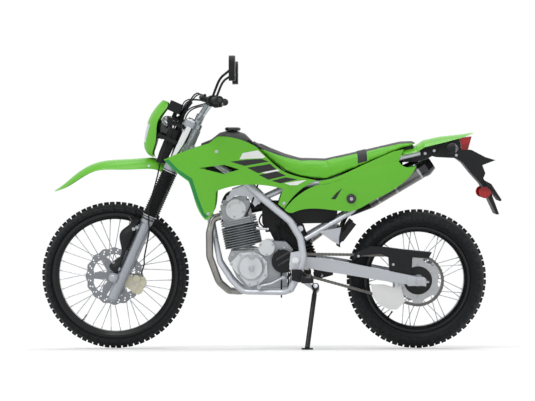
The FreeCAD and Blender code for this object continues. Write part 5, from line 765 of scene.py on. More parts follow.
class Skin:
    """Surface of CAD nodes or pieces, for what lies on them."""

    # Where lines from the side start, and where the nearest point is looked for when they miss
    far = 520.0
    near = 150.0

    def __init__(self, *meshes: bpy.types.Mesh) -> None:
        """Read the surface.

        Args:
            meshes: Meshes in place on the leaning bike.
        """
        verts: list[Vector] = []
        faces: list[tuple[int, ...]] = []
        for mesh in meshes:
            first = len(verts)
            verts += [FROM_ROW @ vert.co for vert in mesh.vertices]
            faces += [tuple(first + number for number in face.vertices) for face in mesh.polygons]
        self.tree = BVHTree.FromPolygons(verts, faces)

    @classmethod
    def of(cls, *names: str) -> "Skin":
        """Read the surface of CAD nodes by their names."""
        return cls(*(frame["nodes"][name].data for name in names))

    def across(self, place: Vector, side: int) -> tuple[Vector, Vector]:
        """Give where a line from far out on one side meets the surface.

        Args:
            place: A point with the line's column and height.
            side: -1 from the left, 1 from the right.

        Returns:
            The point and the outward normal there.
        """
        start = Vector((place.x, side * self.far, place.z))
        found, normal, _, _ = self.tree.ray_cast(start, Vector((0, -side, 0)))
        if found is None:
            near = Vector((place.x, side * self.near, place.z))
            found, normal, _, _ = self.tree.find_nearest(near)
        return found, normal if normal.y * side > 0 else -normal

    def along(self, start: Vector, way: Vector) -> tuple[Vector, Vector] | None:
        """Give where a ray meets the surface, or None."""
        found, normal, _, _ = self.tree.ray_cast(start, way.normalized())
        return None if found is None else (found, normal if normal.dot(way) < 0 else -normal)


def film(
    name: str, finish: Finish, node: str, outlines: Sequence[Sequence[Point2]], body: Body = Body.CHASSIS,
    lift: float = 0.5, sides: Sequence[int] = SIDES,
) -> None:
    """Lay films with given outlines on the outside of a node.

    Args:
        name: The object's name.
        finish: The film.
        node: CAD node that it lies on.
        outlines: Pixel corners of each film.
        body: The body that it rides on.
        lift: Millimetres above the surface.
        sides: Sides of the bike that have it.
    """
    piece = Piece(name, finish, body)
    skin = Skin.of(node)
    for side in sides:
        for outline in outlines:
            lay(piece, skin, outline, side, lift)
    piece.done(60)


def lay(piece: Piece, skin: Skin, outline: Sequence[Point2], side: int, lift: float) -> None:
    """Press one outline against a surface, from the side.

    Args:
        piece: Takes the film.
        skin: The surface.
        outline: Pixel corners.
        side: Side of the bike.
        lift: Millimetres above the surface.
    """
    sheet = bmesh.new()
    sheet.faces.new([sheet.verts.new(spot(*corner)) for corner in outline])
    bmesh.ops.triangulate(sheet, faces=sheet.faces[:])
    for _ in range(6):
        long = [edge for edge in sheet.edges if edge.calc_length() > 9]
        if not long:
            break
        bmesh.ops.subdivide_edges(sheet, edges=long, cuts=1)
        bmesh.ops.triangulate(sheet, faces=sheet.faces[:])
    for vert in sheet.verts:
        found, normal = skin.across(vert.co, side)
        vert.co = found + normal * lift
    sheet.normal_update()
    for face in sheet.faces:
        if face.normal.y * side < 0:
            face.normal_flip()
    data = bpy.data.meshes.new("laid")
    sheet.to_mesh(data)
    sheet.free()
    piece.mesh.from_mesh(data)
    bpy.data.meshes.remove(data)


def bolts_on(
    name: str, node: str, places: Sequence[Point2], radius: float, body: Body = Body.CHASSIS,
    sides: Sequence[int] = SIDES, lift: float = 0.0, finish: Finish = SPOKE_STEEL,
) -> None:
    """Put bolt heads on the outside of a node.

    Args:
        name: The object's name.
        node: CAD node that they hold.
        places: Pixel places.
        radius: Radius of the heads.
        body: The body that they ride on.
        sides: Sides of the bike that have them.
        lift: Millimetres between the node and the heads.
        finish: Their metal.
    """
    piece = Piece(name, finish, body)
    skin = Skin.of(node)
    for side in sides:
        for place in places:
            found, normal = skin.across(spot(*place), side)
            piece.bolt(found + normal * lift, normal, radius)
    piece.done()


def inset_pane(
    name: str, finish: Finish, body: Body, points: Sequence[Vector], normal: Vector, share: float,
    thick: float,
) -> None:
    """Put a thin pane on a flat face, with the face's own outline drawn in.

    Args:
        name: The object's name.
        finish: The pane.
        body: The body that it rides on.
        points: Corners of the face, in any order.
        normal: Way that it faces.
        share: Size of the pane as a share of the face.
        thick: Thickness in millimetres.
    """
    centre = sum(points, Vector()) / len(points)
    side = normal.orthogonal().normalized()
    other = normal.cross(side).normalized()
    flat = [((point - centre).dot(side), (point - centre).dot(other)) for point in points]
    order = convex_hull_2d(flat)
    corners = [centre + (side * flat[n][0] + other * flat[n][1]) * share for n in order]
    piece = Piece(name, finish, body)
    piece.prism(corners, normal.normalized() * thick, thick * 0.4)
    piece.done(40)


# Wheels


@dataclass
class KnobbyTyre:
    """A dirt tyre: round carcass and a centre block and a shoulder block at each pitch on each side."""

    end: str
    body: Body
    radius: float
    rim: float
    seat: float
    half: float
    count: int
    lug: float = 13.0
    # Height of the bead's flank, share of the pitch that half a block takes, and slope of the tread
    flank: float = 8.4
    block_share: float = 0.19
    slope: float = 0.62
    # Where the centre block and the shoulder block start and end, as shares of the half width
    blocks: Outline = ((0.05, 0.46), (0.52, 0.98))
    # Side wall and crown as shares of the height and of the half width
    wall: Outline = (
        (0.36, 0.83), (0.37, 0.86), (0.41, 0.87), (0.42, 0.84), (0.56, 0.89), (0.68, 0.87), (0.8, 0.76),
        (0.9, 0.62), (1.0, 0.4), (1.02, 0.1))

    def build(self) -> None:
        """Make the tyre and put it in place of its node."""
        piece = Piece(self.end + "_tyre_tread", TYRE_RUBBER, self.body)
        centre = axle(self.end)
        bead = self.rim - 8
        tall = self.radius - self.lug - bead
        edge = self.flank / tall
        shares = (
            (0.0, self.seat), (edge, self.seat), (edge + 0.03, self.seat + 1.5),
            *((edge + up, self.half * out) for up, out in ((0.08, 0.7), (0.11, 0.7), (0.14, 0.74))),
            *((up, self.half * out) for up, out in self.wall))
        right = [(bead + tall * up, out) for up, out in shares]
        loop = right + [(radius, -out) for radius, out in reversed(right)]
        piece.lathe(loop + loop[:1], centre, ACROSS, 152)
        pitch = FULL_TURN / self.count
        for side in SIDES:
            for first, last in self.blocks:
                made = self.knob(piece, side, first, last, self.radius * pitch * self.block_share)
                around = Matrix.Rotation(pitch * side * 0.25, 4, "Y")
                piece.place(made, Matrix.Translation(centre) @ around)
                piece.ring_copies(made, centre, ACROSS, self.count)
        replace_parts(piece.done(40), self.end + "_tyre")

    def knob(self, piece: Piece, side: int, first: float, last: float, long: float) -> list[Vert]:
        """Add one block at the top of a wheel whose axle is the origin.

        Args:
            piece: The tyre.
            side: Left or right.
            first: Share of the half width where it starts.
            last: Share of the half width where it ends.
            long: Half its length around the tyre.

        Returns:
            The block's vertices.
        """
        before = set(piece.mesh.verts)
        wall = 16.0 if last > 0.9 else 6.0
        outline = [
            (first, 0.0, 1.0), (last - 0.03, 0.0, 1.0), (last, 3.0, 1.0), (last - 0.01, wall, 1.12),
            (last - 0.16, wall + 5, 1.15), (first, self.lug + 5, 1.15)]
        ends = []
        for turn in (-1, 1):
            end = []
            for share, down, spread in outline:
                tip = self.radius - self.half * self.slope * max(0.0, share - 0.06) / 0.92
                out = side * self.half * share
                end.append(piece.mesh.verts.new((turn * long * spread, out, tip - down)))
            ends.append(end)
        for end in ends:
            piece.mesh.faces.new(end)
        for place in range(len(outline)):
            after = (place + 1) % len(outline)
            piece.mesh.faces.new((ends[0][place], ends[0][after], ends[1][after], ends[1][place]))
        made = [vert for vert in piece.mesh.verts if vert not in before]
        piece.face_out(made)
        piece.round_edges(made, 1.1, 1)
        return [vert for vert in piece.mesh.verts if vert not in before]


@dataclass
class WavyDisc:
    """Brake disc with a wavy edge, drilled band and arms to its carrier."""

    end: str
    body: Body
    radius: float
    bore: float
    lobes: int = 16
    band: float = 31.0
    # Circle of the carrier's bolts, depth of the edge's waves and radius of the drilled holes
    bolt_circle: float = 31.0
    wave: float = 3.0
    hole: float = 3.6
    # The two rows of holes, as distances from the edge and radians around
    rows: Outline = ((12.5, 0.0), (21.5, 0.055))
    # One opening between two arms, as shares of the inner radius and radians around
    opening: Outline = (
        (0.42, -0.2), (0.7, -0.33), (0.93, -0.4), (0.99, -0.2), (1.0, 0.0), (0.99, 0.2), (0.93, 0.4),
        (0.7, 0.2), (0.42, 0.12))

    def build(self) -> None:
        """Make the disc and put it in place of its node."""
        node = self.end + "_disc"
        low, high = span(node)
        centre = axle(self.end)
        centre.y = low.y
        loops = [[
            polar(centre, self.radius - 3.2 + self.wave * math.cos(self.lobes * angle), angle)
            for angle in (FULL_TURN * n / 192 for n in range(192))]]
        loops.append(ring(centre, self.bore, 40))
        inner = self.radius - self.band
        for number in range(6):
            turn = FULL_TURN * number / 6
            loops.append([
                polar(centre, inner * reach, turn + 0.5 * FULL_TURN / 6 + share)
                for reach, share in self.opening])
            for step in range(4):
                angle = turn + FULL_TURN * (step + 0.5) / 24
                for inward, shift in self.rows:
                    loops.append(ring(polar(centre, self.radius - inward, angle + shift), self.hole, 12))
        piece = Piece(node + "_drilled", DISC_STEEL, self.body)
        piece.plate(loops, Vector((0, high.y - low.y, 0)))
        for number in range(6):
            place = polar(centre, self.bolt_circle, FULL_TURN * (number + 0.02) / 6)
            for y, way in ((low.y, -1), (high.y, 1)):
                piece.bolt(Vector((place.x, y, place.z)), ACROSS * way, 5.2, 3.0)
        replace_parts(piece.done(30), node)


@dataclass
class Sprocket:
    """Rear sprocket with its teeth, lightening slots and bolts."""

    teeth: int = 45
    bore: float = 64.0
    slot_circle: float = 98.0
    bolt_circle: float = 72.0
    # How far each face lies inside the node's own face
    inset: float = 0.6
    # One tooth as shares of the pitch and distances from the outer edge
    tooth: Outline = (
        (0.0, -9.0), (0.16, -8.2), (0.3, -4.0), (0.42, -0.6), (0.58, -0.6), (0.7, -4.0), (0.84, -8.2))
    # One slot as degrees around and distances from its middle circle
    slot: Outline = (
        (-15, -5), (-9, -8), (0, -8.5), (9, -8), (15, -5), (17, 0), (15, 4.5), (8, 6), (0, 6), (-8, 6),
        (-15, 4.5), (-17, 0))

    def build(self) -> None:
        """Make the sprocket and put it in place of its node."""
        low, high = span("rear_sprocket")
        centre = axle("rear")
        centre.y = low.y + self.inset
        outer = (high.x - low.x) / 2 - 0.2
        edge = []
        for number in range(self.teeth):
            for share, reach in self.tooth:
                edge.append(polar(centre, outer + reach, FULL_TURN * (number + share) / self.teeth))
        loops = [edge, ring(centre, self.bore, 48)]
        for number in range(6):
            middle = FULL_TURN * number / 6
            loops.append([
                polar(centre, self.slot_circle + wide, middle + math.radians(turn))
                for turn, wide in self.slot])
        piece = Piece("rear_sprocket_toothed", SPROCKET_STEEL, Body.REAR_WHEEL)
        piece.plate(loops, Vector((0, high.y - low.y - 2 * self.inset, 0)))
        for number in range(6):
            place = polar(centre, self.bolt_circle, FULL_TURN * (number + 0.5) / 6)
            piece.bolt(place, -ACROSS, 6.5, 4.0)
        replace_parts(piece.done(30), "rear_sprocket")


@dataclass
class Nipples:
    """Spoke nipples around a rim, and the tyre valve."""

    end: str
    body: Body
    flange: float
    spread: float
    rim: float
    crossing: float
    # Profiles of a nipple and of the valve, as radii and distances along
    nipple: Outline = ((0, -1.0), (3.6, -1.0), (3.4, 2.0), (2.7, 3.0), (2.6, 14.0), (1.9, 15.0), (0, 15.0))
    valve: Outline = (
        (0, 0), (5.5, 0), (4.2, 3), (3.0, 5), (3.0, 22), (3.9, 22.5), (3.9, 30), (3.0, 31), (0, 31))

    def build(self) -> None:
        """Make one nipple at the outer end of each CAD spoke."""
        centre = axle(self.end)
        piece = Piece(self.end + "_spoke_nipples", SPOKE_STEEL, self.body)
        for side in SIDES:
            for lead in (-1, 1):
                for number in range(9):
                    first = math.radians(40 * number + 10 * lead + 5 * side)
                    last = first + math.radians(lead * self.crossing)
                    hole = Vector((self.flange, side * (self.spread / 2 + lead * 5), 0))
                    start = Matrix.Rotation(first, 3, "Y") @ hole
                    stop = Matrix.Rotation(last, 3, "Y") @ Vector((self.rim, side * 4, 0))
                    way = (start - stop).normalized()
                    piece.lathe(self.nipple, centre + stop, way, 8)
        piece.done()
        valve = Piece(self.end + "_tyre_valve", SOFT_RUBBER, self.body)
        foot = centre + Matrix.Rotation(2.2, 3, "Y") @ Vector((self.rim, 0, 0))
        valve.lathe(self.valve, foot, centre - foot, 12)
        valve.done()


@dataclass
class RollerChain:
    """Drive chain made link by link around both sprockets."""

    pitch: float = 15.875
    side: float = -75.0
    small: float = 34.0
    large: float = 111.0
    drive: tuple[float, float] = (77.0, 404.0)
    # Thickness of a plate, its rounded ends and its waist, and where inner and outer plates lie
    plate: float = 1.7
    eye: float = 6.6
    waist: float = 5.0
    inner: float = 3.7
    outer: float = 5.5
    pin: float = 2.5
    pin_half: float = 8.0
    roller: float = 5.0
    roller_half: float = 3.5
    # Angles of the points around a plate's end
    bends: tuple[float, ...] = (0.1, 0.75, 1.57, 2.39, 3.04)

    def build(self) -> None:
        """Make plates, pins and rollers, and put them in place of the chain's node."""
        piece = Piece("chain_links", CHAIN_STEEL, Body.CHASSIS)
        pins = self.pins()
        rear = axle("rear")
        for number, (start, stop) in enumerate(zip(pins, pins[1:] + pins[:1])):
            near = self.inner if number % 2 else self.outer
            for way in (-1, 1):
                self.link_plate(piece, start, stop, way * near, way * self.plate)
            half = ACROSS * self.pin_half
            piece.prism(ring(start - half, self.pin, 8), half * 2, 0)
            free = (start - Vector((rear.x, start.y, rear.z))).length > self.large + 11
            if free and start.x > self.drive[0] + self.small + 10:
                half = ACROSS * self.roller_half
                piece.prism(ring(start - half, self.roller, 12), half * 2, 0)
        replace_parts(piece.done(35), "chain")

    def pins(self) -> list[Vector]:
        """Give the middle of each pin along the chain's loop."""
        rear = axle("rear")
        rear.y = self.side
        drive = Vector((self.drive[0], self.side, self.drive[1]))
        run = rear - drive
        bearing = math.atan2(run.z, run.x)
        tip = math.asin((self.large - self.small) / run.length)
        straight = math.sqrt(run.length ** 2 - (self.large - self.small) ** 2)
        top, low = bearing + math.pi / 2 + tip, bearing - math.pi / 2 - tip
        parts = (
            (straight, drive, self.small, top, 0.0),
            (self.large * (math.pi + 2 * tip), rear, self.large, top, -1.0),
            (straight, rear, self.large, low, 0.0),
            (self.small * (math.pi - 2 * tip), drive, self.small, low, -1.0))
        total = sum(part[0] for part in parts)
        count = 2 * round(total / self.pitch / 2)
        pins = []
        for number in range(count):
            ahead = total * number / count
            for long, centre, radius, start, turn in parts:
                if ahead <= long:
                    break
                ahead -= long
            place = polar(centre, radius, start + turn * ahead / radius)
            if not turn:
                other, size = (rear, self.large) if centre is drive else (drive, self.small)
                goal = polar(other, size, start)
                place = place + (goal - place) * (ahead / long)
            pins.append(place)
        return pins

    def link_plate(self, piece: Piece, start: Vector, stop: Vector, near: float, thick: float) -> None:
        """Add one waisted side plate between two pins.

        Args:
            piece: The chain.
            start: First pin.
            stop: Next pin.
            near: Distance of the plate's inner face from the chain's middle.
            thick: Its thickness, signed.
        """
        ahead = (stop - start).normalized()
        up = Vector((-ahead.z, 0, ahead.x))
        long = (stop - start).length
        eye, waist = self.eye, self.waist
        outline = [(long / 2, waist), (long * 0.72, waist + 1)]
        outline += [(long + eye * math.sin(a), eye * math.cos(a)) for a in self.bends]
        outline += [(long * 0.72, -waist - 1), (long / 2, -waist), (long * 0.28, -waist - 1)]
        outline += [(-eye * math.sin(a), -eye * math.cos(a)) for a in self.bends]
        outline += [(long * 0.28, waist + 1)]
        corners = [start + ahead * x + up * z + Vector((0, near, 0)) for x, z in outline]
        piece.prism(corners, Vector((0, thick, 0)), 0)


# Fork and cockpit


@dataclass
class Fork:
    """Rubber boots, clips and bolts of the fork."""

    # Where the legs stand: in front of the steering axis, and to either side
    ahead: float = 25.0
    out: float = 95.0
    # Lower end and height of the boots along the steering axis, and their ribs
    low: float = -248.0
    tall: float = 229.6
    ribs: int = 20
    # Profile of one rib, as radii and shares of the pitch
    rib: Outline = ((28.2, 0.12), (31.0, 0.3), (32.8, 0.5), (31.0, 0.7), (28.2, 0.88))
    # Profiles of clip, collar, axle nut and caliper housing, as radii and distances along
    clip: Outline = ((30.0, 0), (31.2, 0), (31.2, 4.5), (30.0, 4.5))
    collar: Outline = ((27.9, 0), (29.6, 1), (29.8, 7), (29.0, 8.5), (27.9, 8.5))
    collar_rise: float = -262.0
    nut: Outline = (
        (0, -0.5), (14, -0.5), (14, 1.5), (12.5, 2.0), (12.0, 8.5), (10.5, 9.5), (6, 9.5), (6, 7), (0, 7))
    housing: Outline = ((0, -2), (17, -2), (17, 3), (15.5, 5), (9, 5), (8, 3.6), (0, 3.6))
    # Pixel places of the guard's bolts, the caliper's housings and its bolts
    guard_bolts: Outline = ((136.5, 227.5), (115.5, 261))
    housings: Outline = ((139.5, 273.5), (143.5, 282))
    caliper_bolts: Outline = ((137.5, 266.5), (148, 286.5), (134.5, 283))

    def leg(self, side: int, rise: float) -> Vector:
        """Give the point at a height on one leg's axis."""
        return steered(self.ahead, side * self.out, rise)

    def build(self) -> None:
        """Make the boots in place of their node, and the fittings around them."""
        low, tall = self.low, self.tall
        boots = Piece("fork_gaiters_ribbed", SOFT_RUBBER, Body.STEERING)
        pitch = (tall - 24) / self.ribs
        profile: list[Point2] = [(21.0, 0.0), (29.5, 0.0), (30.2, 1.5), (30.2, 10.5), (28.2, 12.0)]
        for number in range(self.ribs):
            profile += [(radius, 12 + pitch * number + pitch * share) for radius, share in self.rib]
        profile += [(28.2, tall - 12), (30.2, tall - 10.5), (30.2, tall - 1.5), (29.5, tall), (21.0, tall)]
        clips = Piece("fork_gaiter_clips", SPOKE_STEEL, Body.STEERING)
        for side in SIDES:
            boots.lathe(profile, self.leg(side, low), FORK_UP, 36)
            for rise in (low + 4, low + tall - 8):
                clips.lathe(self.clip, self.leg(side, rise), FORK_UP, 36)
                screw = steered(self.ahead - 31.5, side * self.out, rise + 2.2)
                clips.box(screw, (6, 9, 5), FORK_TURN, 0.8)
        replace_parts(boots.done(50), "fork_gaiters")
        clips.done()
        bolts_on("fork_guard_bolts", "fork_guards", self.guard_bolts, 6.0, Body.STEERING)
        self.axle_end()
        self.caliper()

    def axle_end(self) -> None:
        """Make the axle's nuts and the collars under the boots."""
        centre = axle("front")
        piece = Piece("front_axle_nut", SPOKE_STEEL, Body.STEERING)
        low, high = span("front_axle")
        for y, way in ((low.y, -1), (high.y, 1)):
            piece.lathe(self.nut, Vector((centre.x, y, centre.z)), ACROSS * way, 6)
        piece.done(25)
        collars = Piece("fork_slider_collars", GLOSS_BLACK, Body.STEERING)
        for side in SIDES:
            collars.lathe(self.collar, self.leg(side, self.collar_rise), FORK_UP, 36)
        collars.done()

    def caliper(self) -> None:
        """Make the caliper's piston housings and bolts."""
        skin = Skin.of("front_caliper")
        body = Piece("front_caliper_pistons", CALIPER_CREAM, Body.STEERING)
        bolts = Piece("front_caliper_bolts", SPOKE_STEEL, Body.STEERING)
        for place in self.housings:
            body.lathe(self.housing, skin.across(spot(*place), -1)[0], -ACROSS, 28)
        for place in self.caliper_bolts:
            bolts.bolt(skin.across(spot(*place), -1)[0], -ACROSS, 5.5)
        body.done()
        bolts.done()


@dataclass
class Cockpit:
    """Grips, switches, mirrors' glass, display, key, the lamp's back and cables."""

    grip_ribs: int = 15
    # Profiles of one rib, the collar, the end plug, the switch's band and the ignition switch
    rib: Outline = ((16.2, -2.0), (17.3, -1.2), (17.3, 1.2), (16.2, 2.0))
    collar: Outline = ((16.2, -1), (20.5, -0.5), (21.5, 1.5), (20.5, 3.5), (16.2, 4.5))
    plug: Outline = ((0, -0.5), (9.5, -0.5), (9.5, 1.6), (8, 2.4), (0, 2.4))
    band: Outline = ((11.5, -5), (14, -5), (14, 5), (11.5, 5))
    key: Outline = ((0, 0), (17, 0), (17, 9), (15, 12), (9, 12), (8, 10), (0, 10))
    # The ignition switch as distances in front of the steering axis, to the side and up along it
    key_place: Point3 = (30, 0, 219)
    # Pixel outlines of the lamp's shell and of its stays, the shell's bolt, and half the width of each
    shell: Outline = (
        (158, 119.5), (166, 120.5), (172.5, 124), (173, 131), (170.5, 137), (162, 139.5), (157.5, 136))
    shell_bolt: Point2 = (170.5, 128)
    shell_half: float = 54.0
    stay: Outline = (
        (171, 127), (180, 131), (176, 141), (168.5, 156), (166, 163), (157, 162), (160, 152), (164.5, 141))
    stay_half: float = 66.0
    # Radii of the wiring bundle, the cables and the hoses, and where the bundle runs
    bundle_radius: float = 11.0
    cable_radius: float = 3.2
    hose_radius: float = 2.6
    bundle: tuple[Point3, ...] = (
        (64, -28, 300), (76, -30, 262), (74, -32, 216), (66, -34, 170), (58, -36, 120))

    def build(self) -> None:
        """Make every piece of the cockpit."""
        self.grips()
        self.mirrors()
        self.display()
        self.switches()
        self.lamp_back()
        self.cables()

    def grips(self) -> None:
        """Make ribbed sleeves and end plugs on both grips."""
        sleeves = Piece("grip_ribs", SOFT_RUBBER, Body.STEERING)
        plugs = Piece("bar_end_plugs", GLOSS_BLACK, Body.STEERING)
        for side in SIDES:
            start, stop = self.grip_line(side)
            way = (stop - start).normalized()
            long = (stop - start).length
            for number in range(self.grip_ribs):
                foot = start + way * (10 + (long - 22) * number / (self.grip_ribs - 1))
                sleeves.lathe(self.rib, foot, way, 32)
            sleeves.lathe(self.collar, start, way, 32)
            plugs.lathe(self.plug, stop - way * 4.6, way, 24)
        sleeves.done(50)
        plugs.done()

    def grip_line(self, side: int) -> tuple[Vector, Vector]:
        """Give the inner and outer end of one grip's axis."""
        points = node_points("grips", side)
        far = max(abs(point.y) for point in points)
        near = min(abs(point.y) for point in points)
        ends = []
        for goal in (near, far):
            low, high = box_around([point for point in points if abs(abs(point.y) - goal) < 9])
            ends.append((low + high) / 2)
        way = (ends[1] - ends[0]).normalized()
        return ends[0] - way * 4, ends[1] + way * 4.2

    def mirrors(self) -> None:
        """Make the glass in both mirrors."""
        mesh = frame["nodes"]["mirrors"].data
        for side, word in ((-1, "left"), (1, "right")):
            corners, normal = [], Vector()
            for face, centre, out in facets("mirrors"):
                if out.x > 0.8 and centre.y * side > 230 and face.area > 2e-5:
                    corners += [FROM_ROW @ mesh.vertices[n].co for n in face.vertices]
                    normal += out * face.area
            if corners:
                inset_pane("mirror_glass_" + word, MIRROR, Body.STEERING, corners, normal, 0.93, 0.8)

    def display(self) -> None:
        """Make the meter's screen and bezel, and the ignition switch."""
        mesh = frame["nodes"]["meter"].data
        corners = []
        best = max((point - HEAD).dot(FORK_UP) for point in node_points("meter"))
        for face, centre, normal in facets("meter"):
            if normal.dot(FORK_UP) > 0.95 and (centre - HEAD).dot(FORK_UP) > best - 3:
                corners += [FROM_ROW @ mesh.vertices[n].co for n in face.vertices]
        if corners:
            inset_pane("meter_bezel", GLOSS_BLACK, Body.STEERING, corners, FORK_UP, 0.97, 2.0)
            raised = [corner + FORK_UP * 1.6 for corner in corners]
            inset_pane("meter_screen", SCREEN, Body.STEERING, raised, FORK_UP, 0.78, 0.9)
        key = Piece("ignition_switch", GLOSS_BLACK, Body.STEERING)
        place = steered(*self.key_place)
        key.lathe(self.key, place, FORK_UP, 28)
        key.box(place + FORK_UP * 12, (2.4, 13, 6), FORK_TURN, 0.5)
        key.done()

    def switches(self) -> None:
        """Make the switch housings beside the grips, with their buttons."""
        black = Piece("switch_housings", BLACK_PLASTIC, Body.STEERING)
        knobs = Piece("switch_buttons", GLOSS_BLACK, Body.STEERING)
        red = Piece("stop_switch", RED_SPRING, Body.STEERING)
        bands = Piece("switch_bands", SPOKE_STEEL, Body.STEERING)
        for side in SIDES:
            start, stop = self.grip_line(side)
            way = (start - stop).normalized()
            middle = start + way * 24
            turn = ACROSS.rotation_difference(way).to_matrix()
            black.box(middle + Vector((4, 0, -3)), (40, 34, 44), turn, 7.0)
            black.box(middle + way * 30 + Vector((-8, 0, 6)), (26, 24, 28), turn, 5.0)
            for out, rise in ((25, 9), (25, -8)):
                place = middle + Vector((out, 0, rise)) * 0.98
                switch = red if side > 0 and rise > 0 else knobs
                switch.box(place, (6, 15, 9), turn, 2.0)
            bands.lathe(self.band, middle + way * 48, way, 28)
        for piece in (black, knobs, red, bands):
            piece.done()

    def lamp_back(self) -> None:
        """Make the shell behind the headlight and the stays that hold it."""
        shell = Piece("headlight_shell", GLOSS_BLACK, Body.STEERING)
        shell.panel(self.shell, -self.shell_half, 2 * self.shell_half, 7.0)
        for side in SIDES:
            shell.bolt(spot(*self.shell_bolt, side * self.shell_half), ACROSS * side, 6.0)
        shell.done(40)
        stays = Piece("headlight_stays", BLACK_PLASTIC, Body.STEERING)
        for side in SIDES:
            stays.panel(self.stay, side * self.stay_half, -side * 5, 1.2)
        stays.done(40)

    def cables(self) -> None:
        """Make the wiring bundle and the cables in front of the bar."""
        runs = [(self.bundle_radius, [steered(*place) for place in self.bundle])]
        for side in SIDES:
            start, stop = self.grip_line(side)
            inner = start + (start - stop).normalized() * 44
            runs.append((self.cable_radius, [
                inner + Vector((-16, 0, -8)), inner + Vector((-36, -side * 40, -12)),
                steered(66, side * 120, 262), steered(60, side * 66, 190), steered(52, side * 44, 120),
                steered(46, side * 36, 40)]))
            runs.append((self.hose_radius, [
                inner + Vector((-14, 0, 2)), inner + Vector((-46, -side * 50, 6)),
                steered(92, side * 104, 300), steered(88, side * 40, 236), steered(70, side * 24, 130)]))
        tube_piece("cockpit_wiring", SOFT_RUBBER, Body.STEERING, runs)


# Seat


@dataclass
class Seat:
    """Two-up seat: foam under grained vinyl, green at the sides and black on top."""

    swell_mm: float = 5.0
    shrink_mm: float = 4.5
    voxel_mm: float = 6.0
    # How far the seam lies under the top at the front, at least, and how fast it rises past a column
    seam_drop: float = 25.0
    seam_least: float = 9.0
    seam_column: float = 262.0
    seam_slope: float = 0.34
    # Pixel line of the pan's upper edge, the pan's height in pixels and half its width
    pan: Outline = (
        (248, 139), (252, 141), (258, 147), (270, 159.6), (284, 170.6), (300, 175.4), (315, 178.6),
        (325, 178.4), (340, 173.4), (360, 165), (380, 156.2), (400, 148.6), (412, 144.6))
    pan_rows: float = 11.0
    pan_half: float = 58.0
    # Pixel place of the strap's middle and of half its width
    strap_place: Point2 = (361, 172)
    strap_half: Point2 = (4.6, -1.2)

    def build(self) -> None:
        """Swell a copy of the seat, colour it, and add strap and seam."""
        source = frame["nodes"]["seat"]
        data = source.data.copy()
        data.name = "seat_cover"
        data.materials.clear()
        data.materials.append(SEAT_VINYL.material())
        made = new_object("seat_cover", data)
        made.matrix_world = source.matrix_world.copy()
        self.remesh(made)
        self.swell(made)
        self.colour(made)
        made.data.shade_smooth()
        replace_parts(made, "seat")
        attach(made, Body.CHASSIS.value)
        self.strap(Skin(made.data))
        self.base()
        LOG.info("seat cover with %d faces", len(made.data.polygons))

    def apply(self, made: bpy.types.Object) -> None:
        """Turn what the modifiers give into the object's own mesh."""
        whole = evaluated(made)
        made.modifiers.clear()
        made.data = whole

    def remesh(self, made: bpy.types.Object) -> None:
        """Give the seat an even mesh that is a little smaller than its foam."""
        step = made.modifiers.new("even", "REMESH")
        step.mode = "VOXEL"
        step.voxel_size = self.voxel_mm * MM
        smooth = made.modifiers.new("soften", "SMOOTH")
        smooth.factor = 0.5
        smooth.iterations = 6
        self.apply(made)
        for vert in made.data.vertices:
            vert.co = vert.co - vert.normal * self.shrink_mm * MM
        made.data.update()

    def swell(self, made: bpy.types.Object) -> None:
        """Blow the cover up as cloth over its foam, no further than the foam's own shape."""
        before = [vert.co.copy() for vert in made.data.vertices]
        normals = [vert.normal.copy() for vert in made.data.vertices]
        cloth = made.modifiers.new("cover", "CLOTH")
        cloth.settings.use_pressure = True
        cloth.settings.uniform_pressure_force = 4.0
        cloth.settings.effector_weights.gravity = 0.0
        cloth.settings.quality = 5
        scene = bpy.context.scene
        for number in range(1, 17):
            scene.frame_set(number)
        self.apply(made)
        scene.frame_set(1)
        cap = self.swell_mm * MM
        for vert, start, normal in zip(made.data.vertices, before, normals):
            move = vert.co - start
            out = min(max(move.dot(normal), 0.0), cap)
            side = move - normal * move.dot(normal)
            if side.length > cap:
                side = side.normalized() * cap
            vert.co = start + normal * out + side * 0.5
        made.data.update()

    def colour(self, made: bpy.types.Object) -> None:
        """Write how far each point lies above the seam between the black top and the green side."""
        points = [FROM_ROW @ vert.co for vert in made.data.vertices]
        tops: dict[int, float] = {}
        for point in points:
            tops[int(point.x // 12)] = max(tops.get(int(point.x // 12), -1e9), point.z)
        layer = made.data.attributes.new("cover_top", "FLOAT", "POINT")
        for number, point in enumerate(points):
            column = point.x / PIXEL_MM + MIDDLE_COLUMN
            past = max(0.0, column - self.seam_column)
            drop = max(self.seam_least, self.seam_drop - past * self.seam_slope)
            top = tops[int(point.x // 12)]
            layer.data[number].value = (point.z - (top - drop)) * MM

    def base(self) -> None:
        """Make the plastic pan under the foam."""
        piece = Piece("seat_base", BLACK_PLASTIC, Body.CHASSIS)
        under = tuple((column, row + self.pan_rows) for column, row in reversed(self.pan))
        piece.panel(self.pan + under, -self.pan_half, 2 * self.pan_half, 2.0)
        piece.done(40)

    def strap(self, skin: Skin) -> None:
        """Lay the passenger's strap over the seat."""
        piece = Piece("seat_strap", STRAP, Body.CHASSIS)
        rows = []
        for step in range(49):
            angle = math.radians(-100 + 200 * step / 48)
            way = Vector((0, math.sin(angle), math.cos(angle)))
            row = []
            for share in (-1.0, -0.92, -0.5, 0.0, 0.5, 0.92, 1.0):
                centre = spot(*(at + share * half for at, half in zip(self.strap_place, self.strap_half)))
                met = skin.along(centre + way * 300, -way)
                lift = 0.4 if abs(share) > 0.95 else 2.2
                row.append(piece.mesh.verts.new((met[0] if met else centre + way * 60) + way * lift))
            rows.append(row)
        for first, second in zip(rows, rows[1:]):
            for n in range(len(first) - 1):
                piece.mesh.faces.new((first[n], first[n + 1], second[n + 1], second[n]))
        piece.face_out()
        piece.done(60)


# Bodywork


